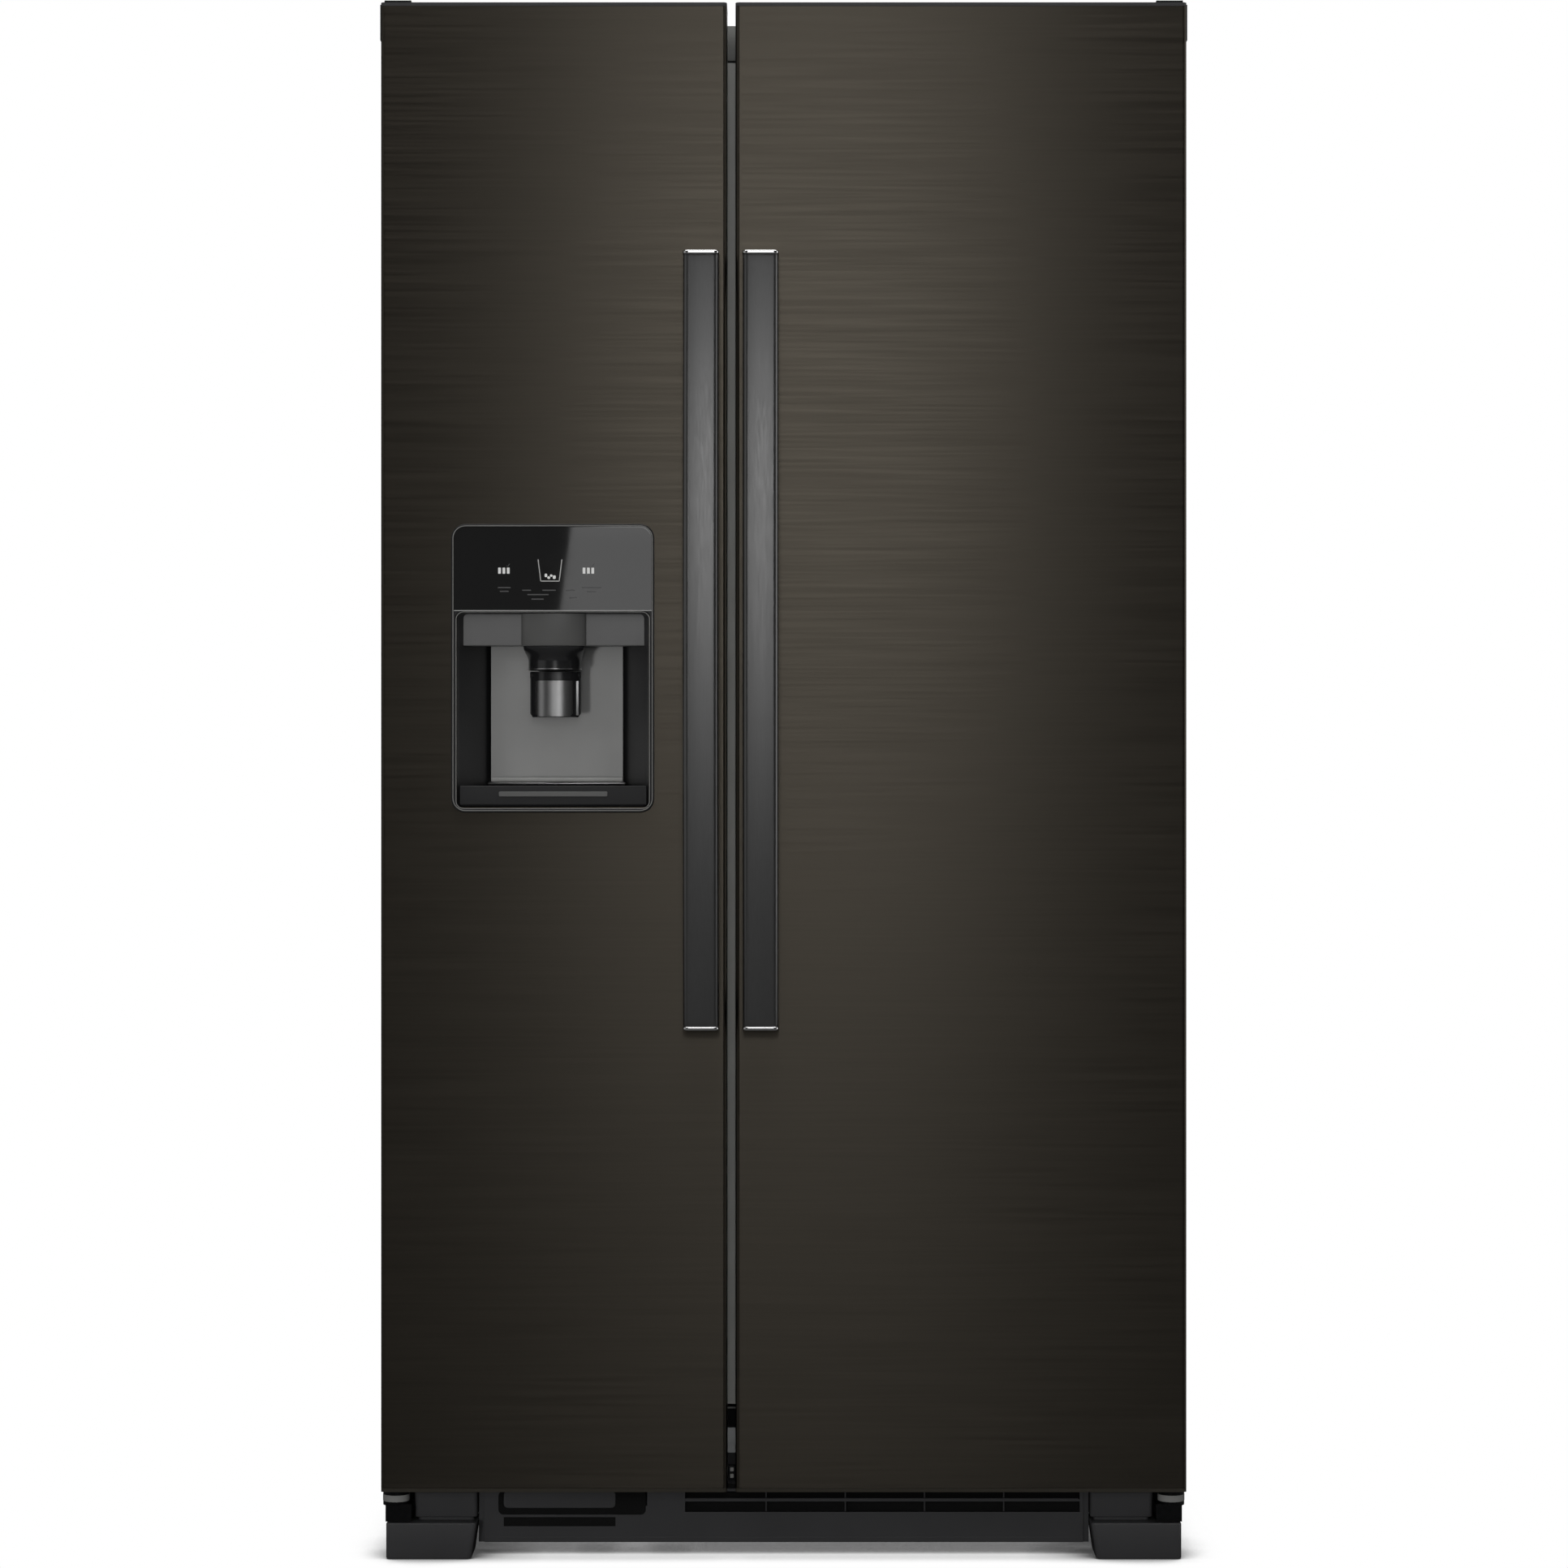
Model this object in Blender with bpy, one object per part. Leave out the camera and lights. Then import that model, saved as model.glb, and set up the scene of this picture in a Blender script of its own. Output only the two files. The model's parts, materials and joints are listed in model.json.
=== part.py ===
"""Side by side refrigerator: freezer on the left, fresh food on the right.

Metres, +Z up, front towards -Y. The origin is on the floor, at the middle of the whole object's
outline. Every piece is its own object. Pieces that move hang from an empty on their joint's axis.
"""

import math

import bmesh
import bpy
from mathutils import Vector

for old in list(bpy.data.objects):
    bpy.data.objects.remove(old, do_unlink=True)

# Overall sizes
OVERALL_DEPTH = 0.850  # handle front to back panel
DOORS_WIDTH = 0.908  # across both doors
CABINET_WIDTH = DOORS_WIDTH - 0.005
CABINET_TOP = 1.743
DOOR_TOP = 1.7556
DOOR_BOTTOM = 0.0773
TOUCH = 0.0003  # gap left between pieces that touch

# Doors
FREEZER_DOOR_WIDTH = 0.390
DOOR_GAP = 0.0096  # between the two doors
DOOR_THICKNESS = 0.058
DOOR_EDGE_RADIUS = 0.0045
SKIN = 0.0008  # sheet steel of the doors
CAP_HEIGHT = 0.004  # end cap plate that shows above and below the steel
WING_HEIGHT = 0.0405
WING_THICKNESS = 0.0016
WING_SETBACK = 0.012
DYKE_DEPTH = 0.045
DYKE_WIDTH = 0.020
DYKE_DRAFT = 0.003
DYKE_CLEARANCE = 0.013  # between a dyke and the compartment wall
DOOR_LINER = 0.0016
GASKET_DEPTH = 0.012
GASKET_WIDTH = 0.012
GASKET_MARGIN = 0.004  # gasket to the door's free edge
GASKET_END_MARGIN = 0.007  # gasket to the cabinet front's top and bottom edge

# Hinges
HINGE_INSET = 0.0155  # pin to the door's outer side
HINGE_SETBACK = 0.022  # pin to the door's front
PIN_RADIUS = 0.004
PIN_PLAY = 0.0006
PIN_LENGTH = 0.014  # into the door
BOSS_RADIUS = 0.0075
HINGE_PLATE = 0.003
HINGE_LIFT = 0.0006  # plate above the door top
HINGE_ARM_WIDTH = 0.030
HINGE_TAIL = 0.085  # plate length on the cabinet top
HINGE_COVER_WALL = 0.002
HINGE_COVER_HEIGHT = 0.0085  # above the hinge plate

# Handles
HANDLE_PROUD = 0.057  # bar front to door front, at the middle of its bow
HANDLE_PROUD_END = 0.036
HANDLE_WIDTH = 0.0395
HANDLE_THICKNESS = 0.015
HANDLE_EDGE = 0.0055
HANDLE_INSET = 0.0088  # bar to the door's free edge
HANDLE_BOTTOM = 0.5997
HANDLE_TOP = 1.4715
HANDLE_FOOT = 0.040  # height of each stand-off
HANDLE_FOOT_SLOPE = 0.018

# Cabinet
SHELL = 0.001  # sheet steel of the cabinet
SHELL_BOTTOM = 0.030
SIDE_FLANGE = 0.025
TOP_RAIL = 0.026
LOWER_RAIL_BOTTOM = 0.138
LOWER_RAIL_TOP = 0.1655
FREEZER_WALL = 0.050  # outer side to compartment
FRIDGE_WALL = 0.042
MULLION = 0.056  # compartment to compartment
MULLION_COVER_WIDTH = 0.040
BACK_WALL = 0.064
LINER = 0.0018
COMPARTMENT_MARGIN = 0.0165  # compartment edge to the rails
HUMP_RISE = 0.150  # step of the compartment floor over the machine space
HUMP_DEPTH = 0.215  # back panel to the top of the step
HUMP_SLOPE = 0.080
MACHINE_ROOF = 0.060  # foam between the step and the machine space

# Dispenser, in the freezer door
DISPENSER_FREE_SIDE = 0.0818  # bezel to the door's free edge
DISPENSER_WIDTH = FREEZER_DOOR_WIDTH * 0.586154
DISPENSER_BOTTOM = 0.843
DISPENSER_HEIGHT = 0.3247
DISPENSER_RADIUS = 0.016
BEZEL_PROUD = 0.004
BEZEL_RIM = 0.0022
BEZEL_SINK = 0.0022
RECESS_MARGIN = 0.0050  # recess opening to the bezel's side
RECESS_SILL = 0.0040
RECESS_HEIGHT = 0.222
RECESS_DEPTH = 0.085
CHUTE_BLOCK_SHARE = 0.62  # of the recess's depth that the lintel's block fills
RECESS_BACK_WIDTH = DISPENSER_WIDTH * 0.664917
RECESS_BACK_TOP = 0.004  # ceiling drop at the back of the recess
RECESS_CORNER = 0.002
LINTEL_PLAY = 0.0015
RECESS_BACK_BOTTOM = 0.002
RECESS_WALL = 0.002
LINTEL_HEIGHT = 0.0375
LINTEL_SETBACK = 0.018
CHUTE_RADIUS = 0.0365
CHUTE_WALL = 0.003
CHUTE_SETBACK = 0.043
CHUTE_TAPER_RADIUS = 0.0308
CHUTE_TAPER = 0.0235
CHUTE_TOP = 0.175  # above the recess opening's top
ICE_WINDOW = 0.060
PADDLE_WIDTH = 0.0576
PADDLE_HEIGHT = 0.048
PADDLE_THICKNESS = 0.004
PADDLE_SETBACK = 0.050
PADDLE_BULGE = 0.016
PADDLE_BAR_RADIUS = 0.004
PADDLE_DROP = 0.009  # spout's end to the paddle's axis
TRAY_HEIGHT = 0.023
TRAY_PLAY = 0.0022
TRAY_RIM = 0.005
TRAY_DISH = 0.003
TRAY_SLOTS = 7
BUMP_FOAM = 0.016  # insulation beside the recess, where it passes the liner
BUMP_DEPTH = 0.060
BUMP_BELOW = 0.045
BUMP_ABOVE = 0.100
BUMP_DRAFT = 0.004

# Inside
BIN_DEPTH = 0.100  # from the door liner
BIN_HEIGHT = 0.105
BIN_WALL = 0.002
BIN_PLAY = 0.002
BIN_CORNER = 0.012
SHELF_SETBACK = 0.120  # cabinet front to shelf front
SHELF_PLAY = 0.003
SHELF_GLASS = 0.004
SHELF_RIM = 0.014
DRAWER_SETBACK = 0.125
DRAWER_HEIGHT = 0.185
DRAWER_PLAY = 0.002
DRAWER_WALL = 0.0025
DRAWER_SIDE = 0.042  # compartment wall to drawer, clear of the dykes
DRAWER_LIFT = 0.040  # over the floor and the dykes' lower bar
DAIRY_DROP = 0.175  # dairy shelf under the dykes' upper bar
DAIRY_SHELF_HEIGHT = 0.030
DAIRY_HEIGHT = 0.120
DAIRY_SHORTER = 0.012  # than the bins
ICE_BUCKET_HEIGHT = 0.150
ICE_MAKER_HEIGHT = 0.090
ICE_MAKER_DEPTH = 0.220

# Base
PAN_BOTTOM = 0.048
PAN_WALL = 0.0015
PAN_RIM = 0.024
PAN_SETBACK = 0.006
FOOT_RADIUS = 0.019
FOOT_THICKNESS = 0.010
FOOT_STUD_RADIUS = 0.005
FOOT_STUD_TOP = 0.078
FOOT_SIDE = 0.054  # cabinet side to foot axis
FOOT_SETBACK = 0.036
ROLLER_RADIUS = 0.020
ROLLER_WIDTH = 0.022
ROLLER_SIDE = 0.052
ROLLER_FROM_BACK = 0.060
AXLE_RADIUS = 0.004
BRACKET_WALL = 0.0025
BRACKET_PLAY = 0.0008
MACHINE_COVER_TOP = 0.262
MACHINE_SLOTS = 9
MACHINE_SLOT_PITCH = 0.040
MACHINE_SLOT_SIDE = 0.0915  # cabinet side to the first slot's middle
MACHINE_SLOT_MARGIN = 0.050
INLET_SIDE = 0.0915
INLET_LIFT = 0.060
INLET_RADIUS = 0.012
INLET_HOLE = 0.0045
INLET_PROUD = 0.004
PAN_FROM_BACK = 0.008
COMPRESSOR_X = CABINET_WIDTH / 2 - 0.2015
COMPRESSOR_FROM_BACK = 0.110
CONDENSER_LEFT = 0.1215 - CABINET_WIDTH / 2
CONDENSER_RIGHT = -0.100
CONDENSER_FRONT = 0.170  # from the back
CONDENSER_BACK = 0.060
CONDENSER_HEIGHT = 0.150
CONDENSER_SPINE = 0.006
CONDENSER_FINS = 12
FIN_SHARE = 0.4  # of the pitch that is fin
FAN_X = 0.045
FAN_Z = 0.140
FAN_FROM_BACK = 0.115
FAN_RADIUS = 0.062
FAN_HUB = 0.013
FAN_HUB_LENGTH = 0.020
FAN_BLADES = 4
MOTOR_RADIUS = 0.020
MOTOR_LENGTH = 0.034
MOTOR_PLAY = 0.001  # to the fan's hub
MOTOR_STAND = 0.060
GRILLE_FRONT = 0.033  # door front to grille front
GRILLE_PLATE = 0.003
GRILLE_HALF = CABINET_WIDTH / 2 - 0.1115
GRILLE_BOTTOM = 0.0183
GRILLE_TOP = 0.075
GRILLE_BAND_TOP = 0.048
GRILLE_UPRIGHT_TOP = 0.110
LOUVRE_FROM = 0.3395 - CABINET_WIDTH / 2
LOUVRE_BAR = 0.0022
COVER_FROM = 0.1335 - CABINET_WIDTH / 2
COVER_TO = 0.2605 - CABINET_WIDTH / 2
COVER_BOTTOM = 0.0562
COVER_PLATE = 0.0024
BAND_SLOT = (0.0357, 0.0457)  # low and high edges of the slot under the cover
COVER_PLAY = 0.0007
FILTER_X = 0.2800 - CABINET_WIDTH / 2
FILTER_Z = 0.0605
FILTER_KNOB_RADIUS = 0.0155
FILTER_RADIUS = 0.0120
FILTER_LENGTH = 0.180
FOOT_COVER_IN = CABINET_WIDTH / 2 - 0.1045
FOOT_COVER_OUT = CABINET_WIDTH / 2 - 0.0025
FOOT_COVER_HEIGHT = 0.041
FOOT_COVER_BLOCK_OUT = CABINET_WIDTH / 2 - 0.0330
FOOT_COVER_BLOCK_TOP = 0.073
FOOT_COVER_SETBACK = 0.006
FOOT_COVER_STEP = 0.018
FOOT_COVER_WALL = 0.003
POST_IN = CABINET_WIDTH / 2 - 0.0310
POST_TOP = 0.062

# Planes and edges worked out from the sizes above
FRONT = -OVERALL_DEPTH / 2
BACK = OVERALL_DEPTH / 2
DOOR_FRONT = FRONT + HANDLE_PROUD
DOOR_BACK = DOOR_FRONT + DOOR_THICKNESS
CABINET_FRONT = DOOR_BACK + GASKET_DEPTH
CABINET_SIDE = CABINET_WIDTH / 2
DOORS_SIDE = DOORS_WIDTH / 2
FREEZER_FREE_EDGE = -DOORS_SIDE + FREEZER_DOOR_WIDTH
FRIDGE_FREE_EDGE = FREEZER_FREE_EDGE + DOOR_GAP
MULLION_CENTRE = FREEZER_FREE_EDGE + DOOR_GAP / 2
HINGE_X = DOORS_SIDE - HINGE_INSET
HINGE_Y = DOOR_FRONT + HINGE_SETBACK
RAIL_BOTTOM = CABINET_TOP - TOP_RAIL
FLOOR = LOWER_RAIL_TOP + COMPARTMENT_MARGIN
CEILING = RAIL_BOTTOM - COMPARTMENT_MARGIN
REAR = BACK - BACK_WALL
HUMP_TOP = FLOOR + HUMP_RISE
HUMP_BACK = BACK - HUMP_DEPTH
HUMP_FRONT = HUMP_BACK - HUMP_SLOPE
DISPENSER_RIGHT = FREEZER_FREE_EDGE - DISPENSER_FREE_SIDE
DISPENSER_LEFT = DISPENSER_RIGHT - DISPENSER_WIDTH
DISPENSER_X = (DISPENSER_LEFT + DISPENSER_RIGHT) / 2
DISPENSER_TOP = DISPENSER_BOTTOM + DISPENSER_HEIGHT
RECESS_BOTTOM = DISPENSER_BOTTOM + RECESS_SILL
RECESS_TOP = RECESS_BOTTOM + RECESS_HEIGHT
CHUTE_Y = DOOR_FRONT + CHUTE_SETBACK
LINTEL_BOTTOM = RECESS_TOP - LINTEL_HEIGHT
GRILLE_Y = DOOR_FRONT + GRILLE_FRONT
PIVOTS = {}


class Compartment:
    """The inside edges of a compartment, with its door's edges and hinge side."""

    def __init__(self, name, left, right, door_left, door_right, hinge_side):
        self.name = name
        self.left = left
        self.right = right
        self.door_left = door_left
        self.door_right = door_right
        self.hinge_side = hinge_side
        self.hinge_x = hinge_side * HINGE_X
        self.pivot = name + "_door_axis"

    def flange(self):
        """Left, right, low and high edges of the liner's front flange."""
        outer = CABINET_SIDE - SIDE_FLANGE - TOUCH
        inner = MULLION_COVER_WIDTH / 2 + TOUCH
        if self.hinge_side < 0:
            sides = (-outer, MULLION_CENTRE - inner)
        else:
            sides = (MULLION_CENTRE + inner, outer)
        return (*sides, LOWER_RAIL_TOP + TOUCH, RAIL_BOTTOM - TOUCH)


FREEZER = Compartment(
    "freezer",
    -CABINET_SIDE + FREEZER_WALL,
    MULLION_CENTRE - MULLION / 2,
    -DOORS_SIDE,
    FREEZER_FREE_EDGE,
    -1,
)
FRIDGE = Compartment(
    "fridge",
    MULLION_CENTRE + MULLION / 2,
    CABINET_SIDE - FRIDGE_WALL,
    FRIDGE_FREE_EDGE,
    DOORS_SIDE,
    1,
)


# Finishes


def finish(name, colour, roughness, metallic=0.0):
    """A Principled material, with its colour in linear red, green and blue."""
    made = bpy.data.materials.new(name)
    made.use_nodes = True
    shader = made.node_tree.nodes["Principled BSDF"]
    shader.inputs["Base Color"].default_value = (*colour, 1.0)
    shader.inputs["Roughness"].default_value = roughness
    shader.inputs["Metallic"].default_value = metallic
    made.diffuse_color = (*colour, 1.0)
    return made


def make_finishes():
    return {
        "black_stainless": finish("black_stainless", (0.085, 0.078, 0.066), 0.32, 1.0),
        "handle_metal": finish("handle_metal", (0.16, 0.16, 0.16), 0.35, 1.0),
        "black_plastic": finish("black_plastic", (0.028, 0.028, 0.028), 0.5),
        "gloss_black": finish("gloss_black", (0.010, 0.010, 0.010), 0.08),
        "grey_plastic": finish("grey_plastic", (0.16, 0.16, 0.16), 0.35),
        "silver_plastic": finish("silver_plastic", (0.42, 0.42, 0.42), 0.3, 0.8),
        "painted_steel": finish("painted_steel", (0.075, 0.075, 0.075), 0.5),
        "galvanised_steel": finish("galvanised_steel", (0.45, 0.46, 0.47), 0.45, 1.0),
        "hinge_steel": finish("hinge_steel", (0.05, 0.05, 0.05), 0.4, 1.0),
        "foam": finish("foam", (0.72, 0.62, 0.38), 0.9),
        "white_liner": finish("white_liner", (0.82, 0.84, 0.85), 0.3),
        "clear_plastic": finish("clear_plastic", (0.78, 0.83, 0.86), 0.12),
        "shelf_glass": finish("shelf_glass", (0.62, 0.74, 0.72), 0.05),
        "gasket_rubber": finish("gasket_rubber", (0.06, 0.06, 0.06), 0.7),
        "white_plastic": finish("white_plastic", (0.75, 0.77, 0.78), 0.4),
        "compressor_black": finish("compressor_black", (0.015, 0.015, 0.015), 0.4),
        "aluminium_fins": finish("aluminium_fins", (0.6, 0.6, 0.6), 0.4, 1.0),
        "roller_plastic": finish("roller_plastic", (0.35, 0.35, 0.34), 0.5),
    }


# Shapes


def rectangle(left, right, low, high, radius=0.0, steps=0):
    """A rectangle's points, counter-clockwise, with each corner an arc of steps + 1 points."""
    centres = (
        (right - radius, low + radius, -math.pi / 2),
        (right - radius, high - radius, 0.0),
        (left + radius, high - radius, math.pi / 2),
        (left + radius, low + radius, math.pi),
    )
    points = []
    for u, v, start in centres:
        for step in range(steps + 1):
            turn = start + (math.pi / 2) * step / max(steps, 1)
            points.append((u + radius * math.cos(turn), v + radius * math.sin(turn)))
    return points


def circle(u, v, radius, sides):
    """Points on a circle, the first one straight down."""
    turns = [2 * math.pi * i / sides - math.pi / 2 for i in range(sides)]
    return [(u + radius * math.cos(t), v + radius * math.sin(t)) for t in turns]


def along(axis, points, height):
    """Flat points carried to the plane at this height on the axis."""
    if axis == "X":
        return [(height, u, v) for u, v in points]
    if axis == "Y":
        return [(u, height, v) for u, v in points]
    return [(u, v, height) for u, v in points]


def grown(box, amount):
    """Left, right, low and high edges moved outwards."""
    left, right, low, high = box
    return (left - amount, right + amount, low - amount, high + amount)


def mirrored(near, far, side):
    """Two distances from the middle as a low and a high x on that side."""
    return sorted((side * near, side * far))


def place(body, pivot):
    """Hang the object from its pivot, with its mesh still in world coordinates."""
    if pivot is None:
        return
    body.parent = PIVOTS[pivot][0]
    body.location = -PIVOTS[pivot][1]


def pivot(name, position, parent=None):
    """An empty on a joint's axis."""
    marker = bpy.data.objects.new(name, None)
    marker.empty_display_size = 0.05
    bpy.context.scene.collection.objects.link(marker)
    position = Vector(position)
    marker.location = position
    if parent:
        marker.parent = PIVOTS[parent][0]
        marker.location = position - PIVOTS[parent][1]
    PIVOTS[name] = (marker, position)


def solid(name, mesh, material, parent):
    """One object from a finished bmesh."""
    bmesh.ops.recalc_face_normals(mesh, faces=mesh.faces)
    data = bpy.data.meshes.new(name)
    mesh.to_mesh(data)
    mesh.free()
    data.shade_smooth()
    data.set_sharp_from_angle(angle=math.radians(35))
    body = bpy.data.objects.new(name, data)
    if material:
        data.materials.append(FINISHES[material])
    bpy.context.scene.collection.objects.link(body)
    place(body, parent)
    return body


def loft(name, loops, material=None, parent=None, closed=False):
    """A skin over loops of equally many points, with its ends capped or joined to each other."""
    mesh = bmesh.new()
    rings = [[mesh.verts.new(point) for point in loop] for loop in loops]
    pairs = list(zip(rings, rings[1:]))
    if closed:
        pairs.append((rings[-1], rings[0]))
    else:
        mesh.faces.new(rings[0])
        mesh.faces.new(rings[-1])
    for lower, upper in pairs:
        for i, corner in enumerate(lower):
            j = (i + 1) % len(lower)
            mesh.faces.new((corner, lower[j], upper[j], upper[i]))
    return solid(name, mesh, material, parent)


def box(name, sides, material=None, parent=None):
    """A block from its low and high x, y and z."""
    x0, x1, y0, y1, z0, z1 = sides
    base = rectangle(x0, x1, y0, y1)
    return loft(name, [along("Z", base, z0), along("Z", base, z1)], material, parent)


def prism(name, axis, points, low, high, material=None, parent=None):
    """A flat outline drawn out along an axis."""
    return loft(
        name, [along(axis, points, low), along(axis, points, high)], material, parent
    )


def turned(name, axis, centre, profile, sides, material=None, parent=None):
    """A turned piece: the profile's pairs are radius and height along the axis."""
    loops = [along(axis, circle(*centre, r, sides), h) for r, h in profile]
    return loft(name, loops, material, parent)


def tray_loops(axis, edges, low, high, wall, floor, radius=0.0, steps=0):
    """Loops of a tray that is open at its high end."""
    inner = grown(edges, -wall)
    inside = max(radius - wall, 0.0005)
    return [
        along(axis, rectangle(*edges, radius, steps), low),
        along(axis, rectangle(*edges, radius, steps), high),
        along(axis, rectangle(*inner, inside, steps), high),
        along(axis, rectangle(*inner, inside, steps), low + floor),
    ]


def helper(body):
    """Mark an object as a tool for a Boolean, which isn't a piece."""
    body.hide_render = True
    body.display_type = "WIRE"
    return body


def boolean(body, tool, operation):
    helper(tool)
    step = body.modifiers.new(tool.name, "BOOLEAN")
    step.operation = operation
    step.solver = "EXACT"
    step.object = tool


def cut(body, *tools):
    for tool in tools:
        boolean(body, tool, "DIFFERENCE")


def join(body, *tools):
    for tool in tools:
        boolean(body, tool, "UNION")


# Doors


def door_outline(unit, inset=0.0):
    """The door's plan: square at the back, rounded at the two front corners."""
    left = unit.door_left + inset
    right = unit.door_right - inset
    front = DOOR_FRONT + inset
    radius = DOOR_EDGE_RADIUS - inset
    arc = []
    for centre, start in ((left + radius, math.pi), (right - radius, 1.5 * math.pi)):
        for step in range(5):
            turn = start + (math.pi / 2) * step / 4
            x = centre + radius * math.cos(turn)
            arc.append((x, front + radius + radius * math.sin(turn)))
    return [(left, DOOR_BACK), *arc, (right, DOOR_BACK)]


def door_skin(unit):
    outline = door_outline(unit) + door_outline(unit, SKIN)[::-1]
    low = DOOR_BOTTOM + CAP_HEIGHT + TOUCH
    high = DOOR_TOP - CAP_HEIGHT - TOUCH
    name = unit.name + "_door_skin"
    return prism(name, "Z", outline, low, high, "black_stainless", unit.pivot)


def door_cap(unit, end):
    """An end cap with its hinge bush. The top one has a wing down the door's outer side."""
    name = f"{unit.name}_door_{end}_cap"
    top = end == "top"
    face = DOOR_TOP if top else DOOR_BOTTOM
    inward = -1 if top else 1
    low, high = sorted((face, face + inward * CAP_HEIGHT))
    cap = prism(name, "Z", door_outline(unit), low, high, "black_plastic", unit.pivot)
    centre = (unit.hinge_x, HINGE_Y)
    bush_end = face + inward * (PIN_LENGTH + CAP_HEIGHT)
    bush_low, bush_high = sorted((face + inward * CAP_HEIGHT / 2, bush_end))
    bush = [(BOSS_RADIUS, bush_low), (BOSS_RADIUS, bush_high)]
    join(cap, turned(name + "_bush", "Z", centre, bush, 16))
    if top:
        side = unit.hinge_side
        near = DOORS_SIDE + TOUCH
        far = near + WING_THICKNESS
        lid = DOOR_TOP - TOUCH
        under = DOOR_TOP - CAP_HEIGHT + TOUCH
        outline = [
            (side * (DOORS_SIDE - CAP_HEIGHT), under),
            (side * near, under),
            (side * near, DOOR_TOP - WING_HEIGHT),
            (side * far, DOOR_TOP - WING_HEIGHT),
            (side * far, lid),
            (side * (DOORS_SIDE - CAP_HEIGHT), lid),
        ]
        ends = (DOOR_FRONT + WING_SETBACK, DOOR_BACK - TOUCH)
        join(cap, prism(name + "_wing", "Y", outline, *ends))
    bore_ends = sorted((face - inward * CAP_HEIGHT, face + inward * PIN_LENGTH))
    bore = [(PIN_RADIUS + PIN_PLAY, bore_ends[0]), (PIN_RADIUS + PIN_PLAY, bore_ends[1])]
    cut(cap, turned(name + "_bore", "Z", centre, bore, 16))


def inner_edges(unit, margin):
    """The door's back, inside the skin: left, right, low and high."""
    return grown(
        (
            unit.door_left + SKIN,
            unit.door_right - SKIN,
            DOOR_BOTTOM + CAP_HEIGHT,
            DOOR_TOP - CAP_HEIGHT,
        ),
        -margin,
    )


def dyke_loops(unit, shrink, base):
    """The raised ring on the door's inside, from its inner foot over its top to its outer foot."""
    outer = grown((unit.left, unit.right, FLOOR, CEILING), -DYKE_CLEARANCE - shrink)
    inner = grown(outer, 2 * shrink - DYKE_WIDTH)
    top = DOOR_BACK + DYKE_DEPTH - shrink
    return [
        along("Y", rectangle(*inner), base),
        along("Y", rectangle(*grown(inner, DYKE_DRAFT)), top),
        along("Y", rectangle(*grown(outer, -DYKE_DRAFT)), top),
        along("Y", rectangle(*outer), base),
    ]


def door_liner(unit):
    """The white inner panel, a formed sheet with a hollow ring that carries the bins."""
    edge = rectangle(*inner_edges(unit, TOUCH))
    under = dyke_loops(unit, DOOR_LINER, DOOR_BACK - DOOR_LINER)
    loops = [
        *dyke_loops(unit, 0.0, DOOR_BACK),
        along("Y", edge, DOOR_BACK),
        along("Y", edge, DOOR_BACK - DOOR_LINER),
        *under[::-1],
    ]
    return loft(unit.name + "_door_liner", loops, "white_liner", unit.pivot)


def door_foam(unit):
    """The insulation, which fills the skin and the liner's ring."""
    edges = inner_edges(unit, TOUCH)
    front = DOOR_FRONT + SKIN + TOUCH
    back = DOOR_BACK - DOOR_LINER - TOUCH
    under = dyke_loops(unit, DOOR_LINER + TOUCH, back)
    loops = [
        along("Y", rectangle(*grown(edges, -DOOR_EDGE_RADIUS)), front),
        along("Y", rectangle(*edges), front + DOOR_EDGE_RADIUS),
        along("Y", rectangle(*edges), back),
        *under[::-1],
    ]
    foam = loft(unit.name + "_door_foam", loops, "foam", unit.pivot)
    for end, face, inward in (("top", DOOR_TOP, -1), ("bottom", DOOR_BOTTOM, 1)):
        reach = face + inward * (PIN_LENGTH + CAP_HEIGHT + TOUCH)
        low, high = sorted((face, reach))
        room = [(BOSS_RADIUS + TOUCH, low), (BOSS_RADIUS + TOUCH, high)]
        name = f"{unit.name}_door_foam_{end}_bush"
        cut(foam, turned(name, "Z", (unit.hinge_x, HINGE_Y), room, 16))
    return foam


def door_gasket(unit):
    free = GASKET_MARGIN
    hinged = HINGE_INSET + GASKET_MARGIN + 0.001
    if unit.hinge_side < 0:
        sides = (unit.door_left + hinged, unit.door_right - free)
    else:
        sides = (unit.door_left + free, unit.door_right - hinged)
    low = LOWER_RAIL_BOTTOM + GASKET_END_MARGIN
    high = CABINET_TOP - GASKET_END_MARGIN
    outer = (*sides, low, high)
    inner = grown(outer, -GASKET_WIDTH)
    lip = GASKET_WIDTH / 5
    back = DOOR_BACK + TOUCH
    face = CABINET_FRONT - TOUCH
    loops = [
        along("Y", rectangle(*outer), back),
        along("Y", rectangle(*grown(outer, -lip)), face),
        along("Y", rectangle(*grown(inner, lip)), face),
        along("Y", rectangle(*inner), back),
    ]
    name = unit.name + "_door_gasket"
    loft(name, loops, "gasket_rubber", unit.pivot, closed=True)


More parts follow.
